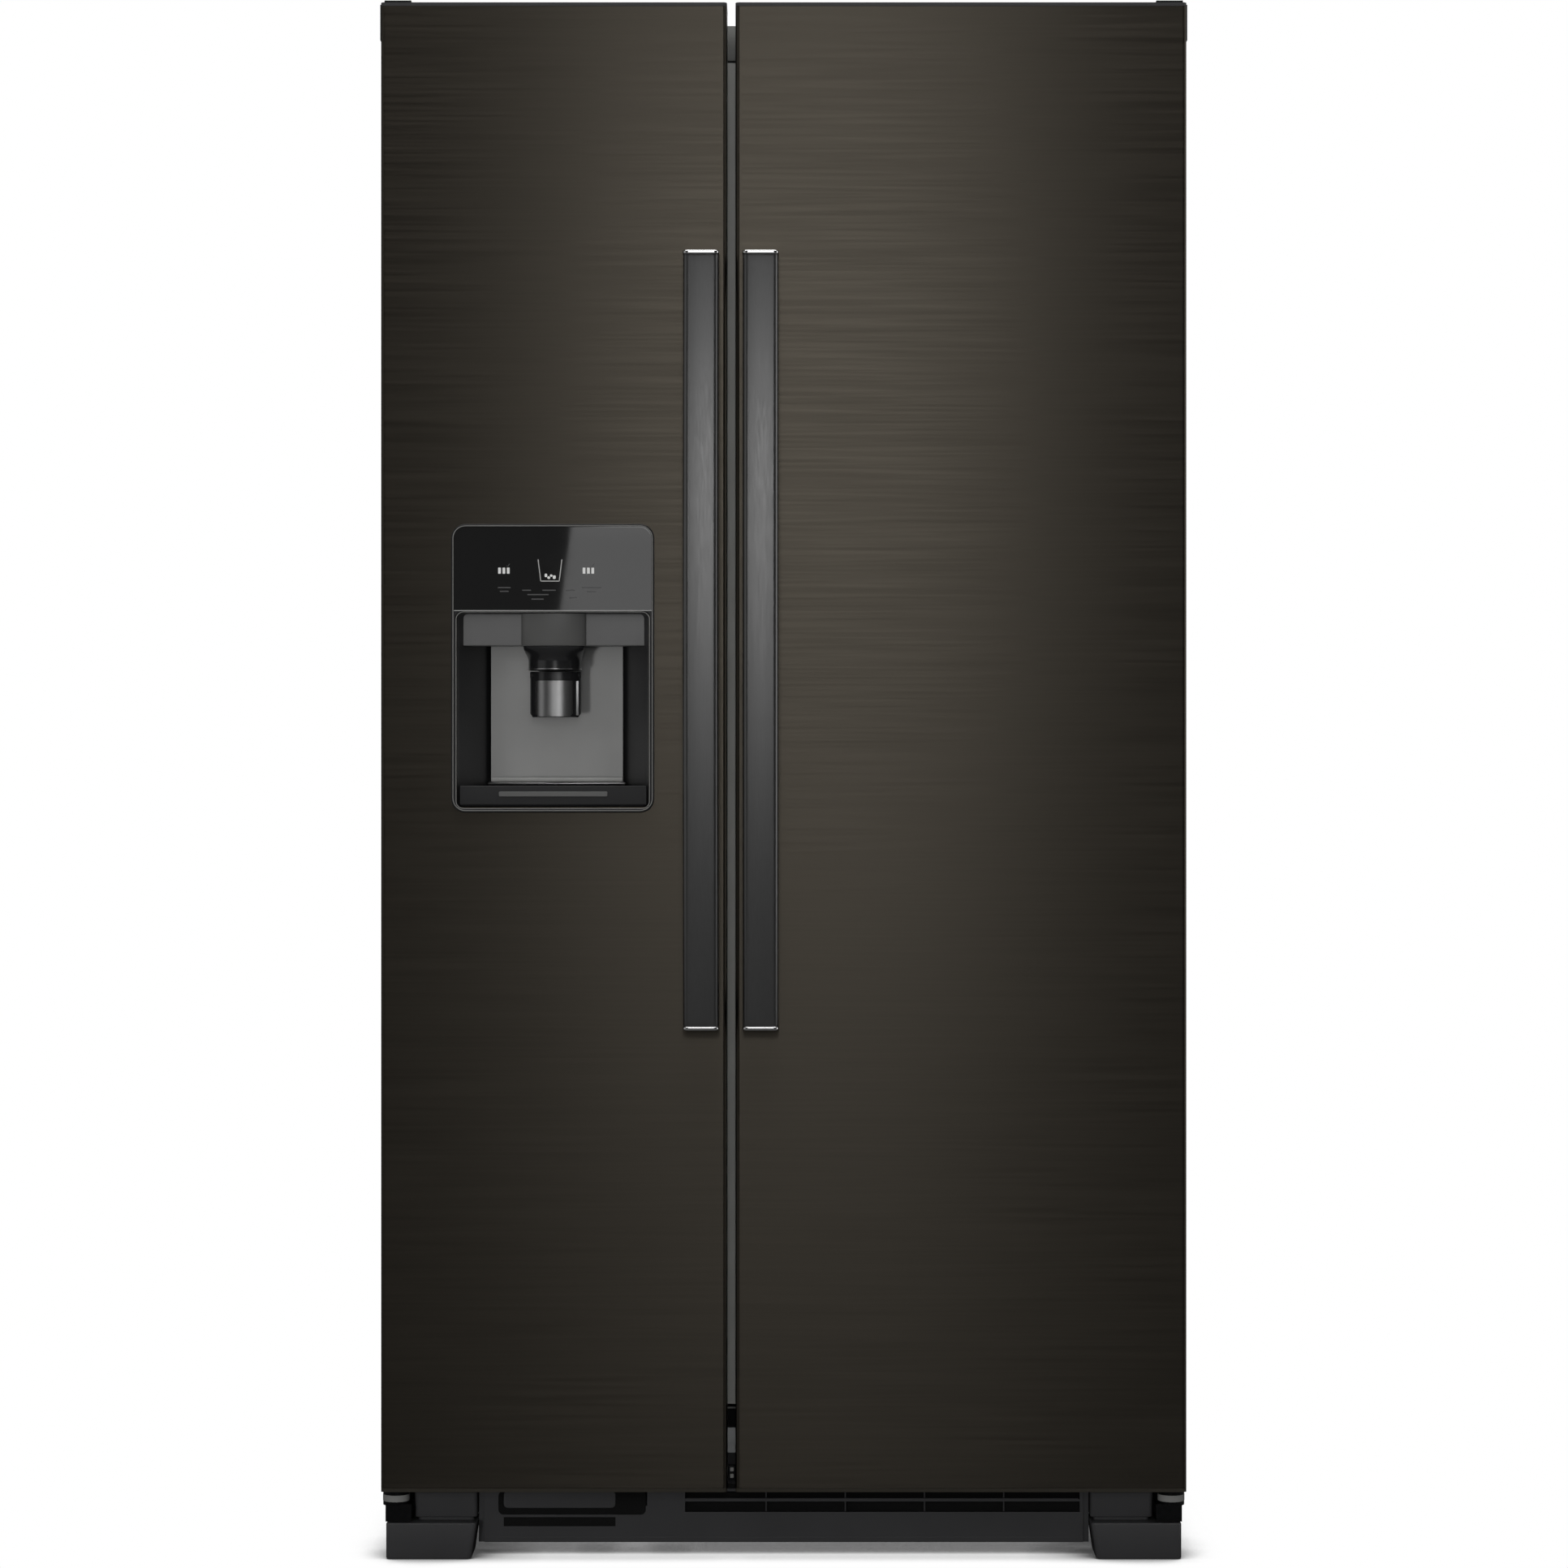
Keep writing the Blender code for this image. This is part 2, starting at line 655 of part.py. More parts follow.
def handle(unit):
    """A bar bowed like an arch, whose two ends run back to the door as stand-offs."""
    if unit.hinge_side < 0:
        right = unit.door_right - HANDLE_INSET
        left = right - HANDLE_WIDTH
    else:
        left = unit.door_left + HANDLE_INSET
        right = left + HANDLE_WIDTH
    middle = (HANDLE_TOP + HANDLE_BOTTOM) / 2
    half = (HANDLE_TOP - HANDLE_BOTTOM) / 2
    root = DOOR_FRONT - TOUCH
    heights = [HANDLE_BOTTOM, HANDLE_BOTTOM + HANDLE_FOOT]
    slender_low = HANDLE_BOTTOM + HANDLE_FOOT + HANDLE_FOOT_SLOPE
    slender_high = 2 * middle - slender_low
    count = 11
    for i in range(count):
        heights.append(slender_low + (slender_high - slender_low) * i / (count - 1))
    heights += [HANDLE_TOP - HANDLE_FOOT, HANDLE_TOP]
    loops = []
    for height in heights:
        share = (height - middle) / half
        bow = (HANDLE_PROUD - HANDLE_PROUD_END) * (1 - share**2)
        front = DOOR_FRONT - HANDLE_PROUD_END - bow
        slender = slender_low - TOUCH < height < slender_high + TOUCH
        back = front + HANDLE_THICKNESS if slender else root
        section = rectangle(left, right, front, back, HANDLE_EDGE, 2)
        loops.append(along("Z", section, height))
    loft(unit.name + "_handle", loops, "handle_metal", unit.pivot)


def door_bin(unit, name, low):
    """A door bin between the dykes, open at the top."""
    reach = DYKE_CLEARANCE + DYKE_WIDTH + BIN_PLAY
    back = DOOR_BACK + BIN_PLAY
    edges = (unit.left + reach, unit.right - reach, back, back + BIN_DEPTH)
    loops = tray_loops(
        "Z", edges, low, low + BIN_HEIGHT, BIN_WALL, BIN_WALL, BIN_CORNER, 2
    )
    loft(name, loops, "clear_plastic", unit.pivot)


def door(unit):
    """A whole door without its bins. Returns the pieces that the dispenser is let into."""
    pivot(unit.pivot, (unit.hinge_x, HINGE_Y, DOOR_BOTTOM))
    skin = door_skin(unit)
    foam = door_foam(unit)
    liner = door_liner(unit)
    door_cap(unit, "top")
    door_cap(unit, "bottom")
    door_gasket(unit)
    handle(unit)
    return skin, foam, liner


# Dispenser


def recess_edges(depth_share):
    """The recess narrows from its opening to its back: left, right, low and high."""
    opening = (
        DISPENSER_LEFT + RECESS_MARGIN,
        DISPENSER_RIGHT - RECESS_MARGIN,
        RECESS_BOTTOM,
        RECESS_TOP,
    )
    half = RECESS_BACK_WIDTH / 2
    back = (
        DISPENSER_X - half,
        DISPENSER_X + half,
        RECESS_BOTTOM + RECESS_BACK_BOTTOM,
        RECESS_TOP - RECESS_BACK_TOP,
    )
    return tuple(a + (b - a) * depth_share for a, b in zip(opening, back))


def dispenser_housing():
    steps = 4
    bezel = (DISPENSER_LEFT, DISPENSER_RIGHT, DISPENSER_BOTTOM, DISPENSER_TOP)
    rim = grown(bezel, -BEZEL_RIM)
    face = DOOR_FRONT - BEZEL_PROUD
    sunk = face + BEZEL_SINK
    seat = DOOR_FRONT - TOUCH
    back = DOOR_FRONT + RECESS_DEPTH
    corner = DISPENSER_RADIUS
    small = RECESS_CORNER
    outside = rectangle(*grown(recess_edges(0.0), RECESS_WALL), small, steps)
    outside_back = rectangle(*grown(recess_edges(1.0), RECESS_WALL), small, steps)
    loops = [
        along("Y", outside_back, back + RECESS_WALL),
        along("Y", outside, seat),
        along("Y", rectangle(*bezel, corner, steps), seat),
        along("Y", rectangle(*bezel, corner, steps), face),
        along("Y", rectangle(*rim, corner - BEZEL_RIM, steps), face),
        along("Y", rectangle(*rim, corner - BEZEL_RIM, steps), sunk),
        along("Y", rectangle(*recess_edges(0.0), small, steps), sunk),
        along("Y", rectangle(*recess_edges(1.0), small, steps), back),
    ]
    housing = loft("dispenser_housing", loops, "black_plastic", FREEZER.pivot)
    bore = CHUTE_RADIUS + TOUCH
    ends = [(bore, LINTEL_BOTTOM + 0.002), (bore, RECESS_TOP + CHUTE_TOP)]
    cut(housing, turned("housing_chute_hole", "Z", (DISPENSER_X, CHUTE_Y), ends, 24))


def control_panel():
    """The gloss panel over the recess: round upper corners, square lower ones."""
    margin = BEZEL_RIM + TOUCH
    edges = (
        DISPENSER_LEFT + margin,
        DISPENSER_RIGHT - margin,
        RECESS_TOP + 2 * TOUCH,
        DISPENSER_TOP - margin,
    )
    back = DOOR_FRONT - BEZEL_PROUD + BEZEL_SINK - TOUCH
    corner = DISPENSER_RADIUS - margin
    steps = 4
    upper = rectangle(*edges, corner, steps)[steps + 1 : 3 * (steps + 1)]
    plan = [(edges[0], edges[2]), (edges[1], edges[2]), *upper]
    front = DOOR_FRONT - BEZEL_PROUD + 2 * TOUCH
    prism("control_panel", "Y", plan, front, back, "gloss_black", FREEZER.pivot)


def ice_chute():
    """The lintel across the recess, with the round chute through it that narrows to a spout."""
    depth = (LINTEL_SETBACK + 0.006) / RECESS_DEPTH
    near = grown(recess_edges(depth), -LINTEL_PLAY)
    far = grown(recess_edges(CHUTE_BLOCK_SHARE), -LINTEL_PLAY)
    front = DOOR_FRONT + LINTEL_SETBACK
    back = DOOR_FRONT + RECESS_DEPTH * CHUTE_BLOCK_SHARE
    top = far[3] - TOUCH
    plan = [(near[0], front), (near[1], front), (far[1], back), (far[0], back)]
    lintel = prism(
        "ice_chute", "Z", plan, LINTEL_BOTTOM, top, "grey_plastic", FREEZER.pivot
    )
    top_end = RECESS_TOP + CHUTE_TOP - TOUCH
    barrel = [
        (CHUTE_TAPER_RADIUS, LINTEL_BOTTOM - CHUTE_TAPER),
        (CHUTE_RADIUS, LINTEL_BOTTOM),
        (CHUTE_RADIUS, top_end),
    ]
    centre = (DISPENSER_X, CHUTE_Y)
    join(lintel, turned("chute_barrel", "Z", centre, barrel, 24))
    bore = [
        (CHUTE_TAPER_RADIUS - CHUTE_WALL, LINTEL_BOTTOM - 2 * CHUTE_TAPER),
        (CHUTE_TAPER_RADIUS - CHUTE_WALL, top_end - CHUTE_WALL),
    ]
    cut(lintel, turned("chute_bore", "Z", centre, bore, 24))
    return lintel


def dispenser_paddle():
    """The curved lever under the spout, hung from its top edge."""
    axis_y = DOOR_FRONT + PADDLE_SETBACK
    axis_z = LINTEL_BOTTOM - CHUTE_TAPER - PADDLE_DROP
    pivot("paddle_axis", (DISPENSER_X, axis_y, axis_z), FREEZER.pivot)
    half = PADDLE_WIDTH / 2
    count = 8
    front = []
    for i in range(count + 1):
        share = 2 * i / count - 1
        front.append((DISPENSER_X + half * share, axis_y - PADDLE_BULGE * (1 - share**2)))
    back = [(x, y + PADDLE_THICKNESS) for x, y in front[::-1]]
    paddle = prism(
        "dispenser_paddle",
        "Z",
        front + back,
        axis_z - PADDLE_HEIGHT,
        axis_z - PADDLE_BAR_RADIUS / 2,
        "silver_plastic",
        "paddle_axis",
    )
    bar = [
        (PADDLE_BAR_RADIUS, DISPENSER_X - half),
        (PADDLE_BAR_RADIUS, DISPENSER_X + half),
    ]
    join(paddle, turned("paddle_bar", "X", (axis_y, axis_z), bar, 12))


def drip_tray():
    low = RECESS_BOTTOM + RECESS_BACK_BOTTOM + TRAY_PLAY / 2
    high = low + TRAY_HEIGHT
    near_share, far_share = 0.06, 0.97
    near = grown(recess_edges(near_share), -TRAY_PLAY)
    far = grown(recess_edges(far_share), -TRAY_PLAY)
    y0 = DOOR_FRONT + RECESS_DEPTH * near_share
    y1 = DOOR_FRONT + RECESS_DEPTH * far_share
    pivot("drip_tray_axis", (DISPENSER_X, y0, low), FREEZER.pivot)
    outer = [(near[0], y0), (near[1], y0), (far[1], y1), (far[0], y1)]
    rim = TRAY_RIM
    inner = [
        (near[0] + 2 * rim, y0 + rim),
        (near[1] - 2 * rim, y0 + rim),
        (far[1] - rim, y1 - rim),
        (far[0] + rim, y1 - rim),
    ]
    loops = [
        along("Z", outer, low),
        along("Z", outer, high),
        along("Z", inner, high),
        along("Z", inner, high - TRAY_DISH),
    ]
    tray = loft("drip_tray", loops, "black_plastic", "drip_tray_axis")
    pitch = (y1 - y0 - 2 * rim) / (TRAY_SLOTS + 1)
    reach = RECESS_BACK_WIDTH / 2 - 4 * rim
    for i in range(TRAY_SLOTS):
        middle = y0 + rim + pitch * (i + 1)
        sides = (
            DISPENSER_X - reach,
            DISPENSER_X + reach,
            middle - pitch / 4,
            middle + pitch / 4,
            high - 0.012,
            high + 0.010,
        )
        cut(tray, box(f"drip_slot_{i + 1}", sides))


def bump_loops(shrink, base):
    """The liner's bulge behind the dispenser."""
    recess = recess_edges(DOOR_THICKNESS / RECESS_DEPTH)
    edges = (
        recess[0] - BUMP_FOAM,
        recess[1] + BUMP_FOAM,
        DISPENSER_BOTTOM - BUMP_BELOW,
        DISPENSER_TOP + BUMP_ABOVE,
    )
    return [
        along("Y", rectangle(*grown(edges, -shrink)), base),
        along(
            "Y",
            rectangle(*grown(edges, -shrink - BUMP_DRAFT)),
            DOOR_BACK + BUMP_DEPTH - shrink,
        ),
    ]


def let_in_dispenser(skin, foam, liner, chute):
    """Cut the door for the dispenser, and bulge the liner and the foam behind it."""
    join(liner, loft("liner_bump", bump_loops(0.0, DOOR_BACK - DOOR_LINER / 2)))
    cut(liner, loft("liner_bump_inside", bump_loops(DOOR_LINER, DOOR_BACK - 0.01)))
    shrink = DOOR_LINER + TOUCH
    join(foam, loft("foam_bump", bump_loops(shrink, DOOR_BACK - 0.012)))
    outside = RECESS_WALL + TOUCH
    opening = rectangle(*grown(recess_edges(0.0), outside))
    room = [
        along("Y", opening, DOOR_FRONT - 0.02),
        along("Y", opening, DOOR_FRONT),
        along(
            "Y",
            rectangle(*grown(recess_edges(1.0), outside)),
            DOOR_FRONT + RECESS_DEPTH + outside,
        ),
    ]
    cut(foam, loft("foam_recess", room))
    skin_room = [along("Y", opening, DOOR_FRONT - 0.02), along("Y", opening, DOOR_BACK)]
    cut(skin, loft("skin_recess", skin_room))
    bore = CHUTE_RADIUS + TOUCH
    ends = [(bore, LINTEL_BOTTOM), (bore, RECESS_TOP + CHUTE_TOP)]
    cut(foam, turned("foam_chute_room", "Z", (DISPENSER_X, CHUTE_Y), ends, 24))
    top = RECESS_TOP + CHUTE_TOP - 2 * CHUTE_WALL
    window = (
        DISPENSER_X - ICE_WINDOW / 2 + 0.006,
        DISPENSER_X + ICE_WINDOW / 2 - 0.006,
        CHUTE_Y + CHUTE_TAPER_RADIUS / 2,
        DOOR_BACK + BUMP_DEPTH + 0.01,
        top - ICE_WINDOW,
        top,
    )
    for body in (foam, liner, chute):
        cut(body, box(body.name + "_ice_window", window))


def dispenser(skin, foam, liner):
    dispenser_housing()
    control_panel()
    chute = ice_chute()
    dispenser_paddle()
    drip_tray()
    let_in_dispenser(skin, foam, liner, chute)


# Dairy compartment on the fridge door


def dairy(low):
    """A shelf with a flip-up cover, between the dykes at the top of the fridge door."""
    reach = DYKE_CLEARANCE + DYKE_WIDTH + BIN_PLAY
    left, right = FRIDGE.left + reach, FRIDGE.right - reach
    back = DOOR_BACK + BIN_PLAY
    depth = BIN_DEPTH - DAIRY_SHORTER
    edges = (left, right, back, back + depth)
    top = low + DAIRY_SHELF_HEIGHT
    loops = tray_loops("Z", edges, low, top, BIN_WALL, BIN_WALL)
    loft("dairy_shelf", loops, "clear_plastic", FRIDGE.pivot)
    axis_y = back + 0.010
    axis_z = low + DAIRY_HEIGHT
    pivot("dairy_cover_axis", (left, axis_y, axis_z), FRIDGE.pivot)
    count = 6
    radius = back + depth + 0.004 - axis_y
    fall = axis_z - low - 0.012
    outer = []
    inner = []
    for i in range(count + 1):
        turn = (math.pi / 2) * i / count
        y, z = math.sin(turn), math.cos(turn)
        outer.append((axis_y + radius * y, axis_z - fall + (fall + 0.004) * z))
        inner.append(
            (axis_y + (radius - BIN_WALL) * y, axis_z - fall + (fall + 0.002) * z)
        )
    outline = outer + inner[::-1]
    prism("dairy_cover", "X", outline, left, right, "clear_plastic", "dairy_cover_axis")


# Cabinet


def cabinet_shell():
    low, high = SHELL_BOTTOM, CABINET_TOP
    back = BACK
    sides = (-CABINET_SIDE, CABINET_SIDE, CABINET_FRONT, back, low, high)
    shell = box("cabinet_shell", sides, "painted_steel")
    inside = CABINET_SIDE - SHELL
    room = (-inside, inside, CABINET_FRONT + SHELL, back + 1, low - 1, high - SHELL)
    opening = CABINET_SIDE - SIDE_FLANGE
    window = (
        -opening,
        opening,
        CABINET_FRONT - 0.01,
        CABINET_FRONT + 0.01,
        LOWER_RAIL_TOP,
        RAIL_BOTTOM,
    )
    toe = (
        -inside,
        inside,
        CABINET_FRONT - 0.01,
        CABINET_FRONT + 0.01,
        low - 1,
        LOWER_RAIL_BOTTOM,
    )
    cut(shell, box("shell_room", room), box("shell_window", window))
    cut(shell, box("shell_toe_space", toe))


def liner_outside(unit, grow, front):
    """The outside of a compartment's liner, from its back to its front flange."""
    left, right = unit.left - LINER, unit.right + LINER
    tall = grown((left, right, FLOOR - LINER, CEILING + LINER), grow)
    short = grown((left, right, HUMP_TOP - LINER, CEILING + LINER), grow)
    flange_back = CABINET_FRONT + LINER + grow
    return [
        along("Y", rectangle(*short), REAR + LINER + grow),
        along("Y", rectangle(*short), HUMP_BACK + grow),
        along("Y", rectangle(*tall), HUMP_FRONT + grow),
        along("Y", rectangle(*tall), flange_back),
        along("Y", rectangle(*grown(unit.flange(), grow)), flange_back),
        along("Y", rectangle(*grown(unit.flange(), grow)), front),
    ]


def compartment_liner(unit):
    tall = (unit.left, unit.right, FLOOR, CEILING)
    short = (unit.left, unit.right, HUMP_TOP, CEILING)
    loops = liner_outside(unit, 0.0, CABINET_FRONT) + [
        along("Y", rectangle(*tall), CABINET_FRONT),
        along("Y", rectangle(*tall), HUMP_FRONT),
        along("Y", rectangle(*short), HUMP_BACK),
        along("Y", rectangle(*short), REAR),
    ]
    loft(unit.name + "_liner", loops, "white_liner")


def cabinet_foam():
    """The insulation: one block with both compartments, stepped over the machine space."""
    front = CABINET_FRONT + SHELL + 2 * TOUCH
    back = BACK - SHELL - TOUCH
    low = LOWER_RAIL_BOTTOM + TOUCH
    high = CABINET_TOP - SHELL - TOUCH
    roof = HUMP_TOP - MACHINE_ROOF
    outline = [
        (front, low),
        (HUMP_FRONT - MACHINE_ROOF, low),
        (HUMP_BACK - MACHINE_ROOF, roof),
        (back, roof),
        (back, high),
        (front, high),
    ]
    side = CABINET_SIDE - SHELL - TOUCH
    foam = prism("cabinet_foam", "X", outline, -side, side, "foam")
    for unit in (FREEZER, FRIDGE):
        loops = liner_outside(unit, TOUCH, CABINET_FRONT - 0.02)
        cut(foam, loft(unit.name + "_foam_room", loops))


def mullion_cover():
    half = MULLION_COVER_WIDTH / 2
    sides = (
        MULLION_CENTRE - half,
        MULLION_CENTRE + half,
        CABINET_FRONT,
        CABINET_FRONT + SHELL,
        LOWER_RAIL_TOP + TOUCH,
        RAIL_BOTTOM - TOUCH,
    )
    box("mullion_cover", sides, "painted_steel")


def back_panel():
    """The flat rear sheet, over the machine space's cover."""
    side = CABINET_SIDE - SHELL - TOUCH
    low = MACHINE_COVER_TOP + TOUCH
    high = CABINET_TOP - SHELL - TOUCH
    sides = (-side, side, BACK - SHELL, BACK, low, high)
    box("back_panel", sides, "galvanised_steel")


def machine_cover():
    """The rear lower cover, with its air slots and the power inlet's collar."""
    side = CABINET_SIDE - SHELL - TOUCH
    low = PAN_BOTTOM + 0.010
    face = BACK - 0.006
    sides = (-side, side, face - SHELL, face, low, MACHINE_COVER_TOP)
    cover = box("machine_cover", sides, "painted_steel")
    pitch = MACHINE_SLOT_PITCH
    for i in range(MACHINE_SLOTS):
        middle = pitch * i - CABINET_SIDE + MACHINE_SLOT_SIDE
        slot = (
            middle - pitch / 5,
            middle + pitch / 5,
            face - 0.01,
            face + 0.01,
            low + MACHINE_SLOT_MARGIN,
            MACHINE_COVER_TOP - MACHINE_SLOT_MARGIN,
        )
        cut(cover, box(f"air_slot_{i + 1}", slot))
    centre = (CABINET_SIDE - INLET_SIDE, low + INLET_LIFT)
    collar = [
        (INLET_RADIUS, face - SHELL / 2),
        (INLET_RADIUS, face + INLET_PROUD),
    ]
    join(cover, turned("inlet_collar", "Y", centre, collar, 16))
    hole = [(INLET_HOLE, face - 0.02), (INLET_HOLE, face + 0.02)]
    cut(cover, turned("inlet_hole", "Y", centre, hole, 16))


def base_pan():
    side = CABINET_SIDE - SHELL - TOUCH
    y0 = CABINET_FRONT + PAN_SETBACK
    y1 = BACK - PAN_FROM_BACK - SHELL
    loops = tray_loops(
        "Z", (-side, side, y0, y1), PAN_BOTTOM, PAN_BOTTOM + PAN_RIM, PAN_WALL, PAN_WALL
    )
    pan = loft("base_pan", loops, "galvanised_steel")
    for hand, side_sign in (("left", -1), ("right", 1)):
        x = side_sign * (CABINET_SIDE - ROLLER_SIDE)
        y = BACK - ROLLER_FROM_BACK
        inner = ROLLER_WIDTH / 2 + BRACKET_PLAY
        outer = inner + BRACKET_WALL
        reach = 0.014
        low = ROLLER_RADIUS - 0.008
        block = (x - outer, x + outer, y - reach, y + reach, low, PAN_BOTTOM + 0.001)
        join(pan, box(f"roller_bracket_{hand}", block))
        slot = (x - inner, x + inner, y - 0.03, y + 0.03, low - 0.01, PAN_BOTTOM - 0.001)
        cut(pan, box(f"roller_slot_{hand}", slot))
        radius = AXLE_RADIUS + PIN_PLAY
        hole = [(radius, x - outer - 0.01), (radius, x + outer + 0.01)]
        cut(pan, turned(f"axle_hole_{hand}", "X", (y, ROLLER_RADIUS), hole, 16))
        foot_x = side_sign * (CABINET_SIDE - FOOT_SIDE)
        radius = FOOT_STUD_RADIUS + PIN_PLAY
        stud = [(radius, 0.0), (radius, PAN_BOTTOM + 0.02)]
        centre = (foot_x, CABINET_FRONT + FOOT_SETBACK)
        cut(pan, turned(f"stud_hole_{hand}", "Z", centre, stud, 16))
    room = FILTER_RADIUS + 0.004
    notch = (
        FILTER_X - room,
        FILTER_X + room,
        y0 - 0.01,
        GRILLE_Y + FILTER_LENGTH + 0.03,
        PAN_BOTTOM - 0.01,
        PAN_BOTTOM + 2 * PAN_RIM,
    )
    cut(pan, box("filter_notch", notch))


def levelling_foot(hand, side):
    x = side * (CABINET_SIDE - FOOT_SIDE)
    y = CABINET_FRONT + FOOT_SETBACK
    name = "levelling_foot_" + hand
    pivot(name + "_axis", (x, y, 0.0))
    profile = [
        (FOOT_RADIUS, 0.0),
        (FOOT_RADIUS, FOOT_THICKNESS * 0.6),
        (FOOT_STUD_RADIUS * 1.6, FOOT_THICKNESS),
        (FOOT_STUD_RADIUS, FOOT_THICKNESS * 1.4),
        (FOOT_STUD_RADIUS, FOOT_STUD_TOP),
    ]
    turned(name, "Z", (x, y), profile, 16, "hinge_steel", name + "_axis")


def rear_roller(hand, side):
    x = side * (CABINET_SIDE - ROLLER_SIDE)
    y = BACK - ROLLER_FROM_BACK
    name = "rear_roller_" + hand
    pivot(name + "_axis", (x, y, ROLLER_RADIUS))
    half = ROLLER_WIDTH / 2
    stub = half + BRACKET_PLAY + BRACKET_WALL - TOUCH
    edge = 0.002
    profile = [
        (AXLE_RADIUS, x - stub),
        (AXLE_RADIUS, x - half),
        (ROLLER_RADIUS - edge, x - half),
        (ROLLER_RADIUS, x - half + edge),
        (ROLLER_RADIUS, x + half - edge),
        (ROLLER_RADIUS - edge, x + half),
        (AXLE_RADIUS, x + half),
        (AXLE_RADIUS, x + stub),
    ]
    centre = (y, ROLLER_RADIUS)
    turned(name, "X", centre, profile, 24, "roller_plastic", name + "_axis")


# Machine space


def compressor():
    floor = PAN_BOTTOM + PAN_WALL + TOUCH
    profile = [
        (0.062, floor),
        (0.062, floor + 0.010),
        (0.078, floor + 0.024),
        (0.081, floor + 0.070),
        (0.079, floor + 0.105),
        (0.064, floor + 0.136),
        (0.034, floor + 0.150),
        (0.010, floor + 0.153),
    ]
    centre = (COMPRESSOR_X, BACK - COMPRESSOR_FROM_BACK)
    turned("compressor", "Z", centre, profile, 20, "compressor_black")


def condenser():
    """Upright fins that stand out like a comb's teeth from one spine."""
    floor = PAN_BOTTOM + PAN_WALL + TOUCH
    front, back = BACK - CONDENSER_FRONT, BACK - CONDENSER_BACK
    pitch = (CONDENSER_RIGHT - CONDENSER_LEFT) / CONDENSER_FINS
    spine = front - CONDENSER_SPINE
    last = CONDENSER_LEFT + pitch * (CONDENSER_FINS - 1 + FIN_SHARE)
    points = [(CONDENSER_LEFT, spine), (last, spine)]
    for i in reversed(range(CONDENSER_FINS)):
        start = CONDENSER_LEFT + pitch * i
        points.append((start + pitch * FIN_SHARE, back))
        points.append((start, back))
        if i:
            points.append((start, front))
            points.append((start - pitch * (1 - FIN_SHARE), front))
    high = floor + CONDENSER_HEIGHT
    prism("condenser", "Z", points, floor, high, "aluminium_fins")


def condenser_fan():
    """A hub with raked blades that widen towards their tips."""
    centre = (BACK - FAN_FROM_BACK, FAN_Z)
    pivot("condenser_fan_axis", (FAN_X, *centre))
    half = FAN_HUB_LENGTH / 2
    hub = [(FAN_HUB, FAN_X - half), (FAN_HUB, FAN_X + half)]
    fan = turned(
        "condenser_fan", "X", centre, hub, 12, "black_plastic", "condenser_fan_axis"
    )
    for i in range(FAN_BLADES):
        turn = 2 * math.pi * i / FAN_BLADES
        out = Vector((0.0, math.cos(turn), math.sin(turn)))
        across = Vector((0.0, -math.sin(turn), math.cos(turn)))
        axis = Vector((1.0, 0.0, 0.0))
        middle = Vector((FAN_X, *centre))
        loops = []
        for reach, half_width, pitch in (
            (FAN_HUB * 0.5, 0.009, 0.0055),
            (FAN_RADIUS * 0.6, 0.018, 0.006),
            (FAN_RADIUS, 0.022, 0.005),
        ):
            chord = across * half_width + axis * pitch
            skin = axis * 0.001 - across * 0.0003
            foot = middle + out * reach
            loops.append(
                [
                    foot - chord - skin,
                    foot + chord - skin,
                    foot + chord + skin,
                    foot - chord + skin,
                ]
            )
        join(fan, loft(f"fan_blade_{i + 1}", loops))


def fan_motor():
    """The motor on an upright bracket that stands on the base pan."""
    y = BACK - FAN_FROM_BACK
    start = FAN_X + FAN_HUB_LENGTH / 2 + MOTOR_PLAY
    body = [(MOTOR_RADIUS, start), (MOTOR_RADIUS, start + MOTOR_LENGTH)]
    motor = turned("fan_motor", "X", (y, FAN_Z), body, 16, "galvanised_steel")
    floor = PAN_BOTTOM + PAN_WALL + TOUCH
    near = start + MOTOR_LENGTH / 3
    half = MOTOR_STAND / 2
    stand = (near, near + BRACKET_WALL, y - half, y + half, floor, FAN_Z)
    join(motor, box("motor_stand", stand))


# Base front


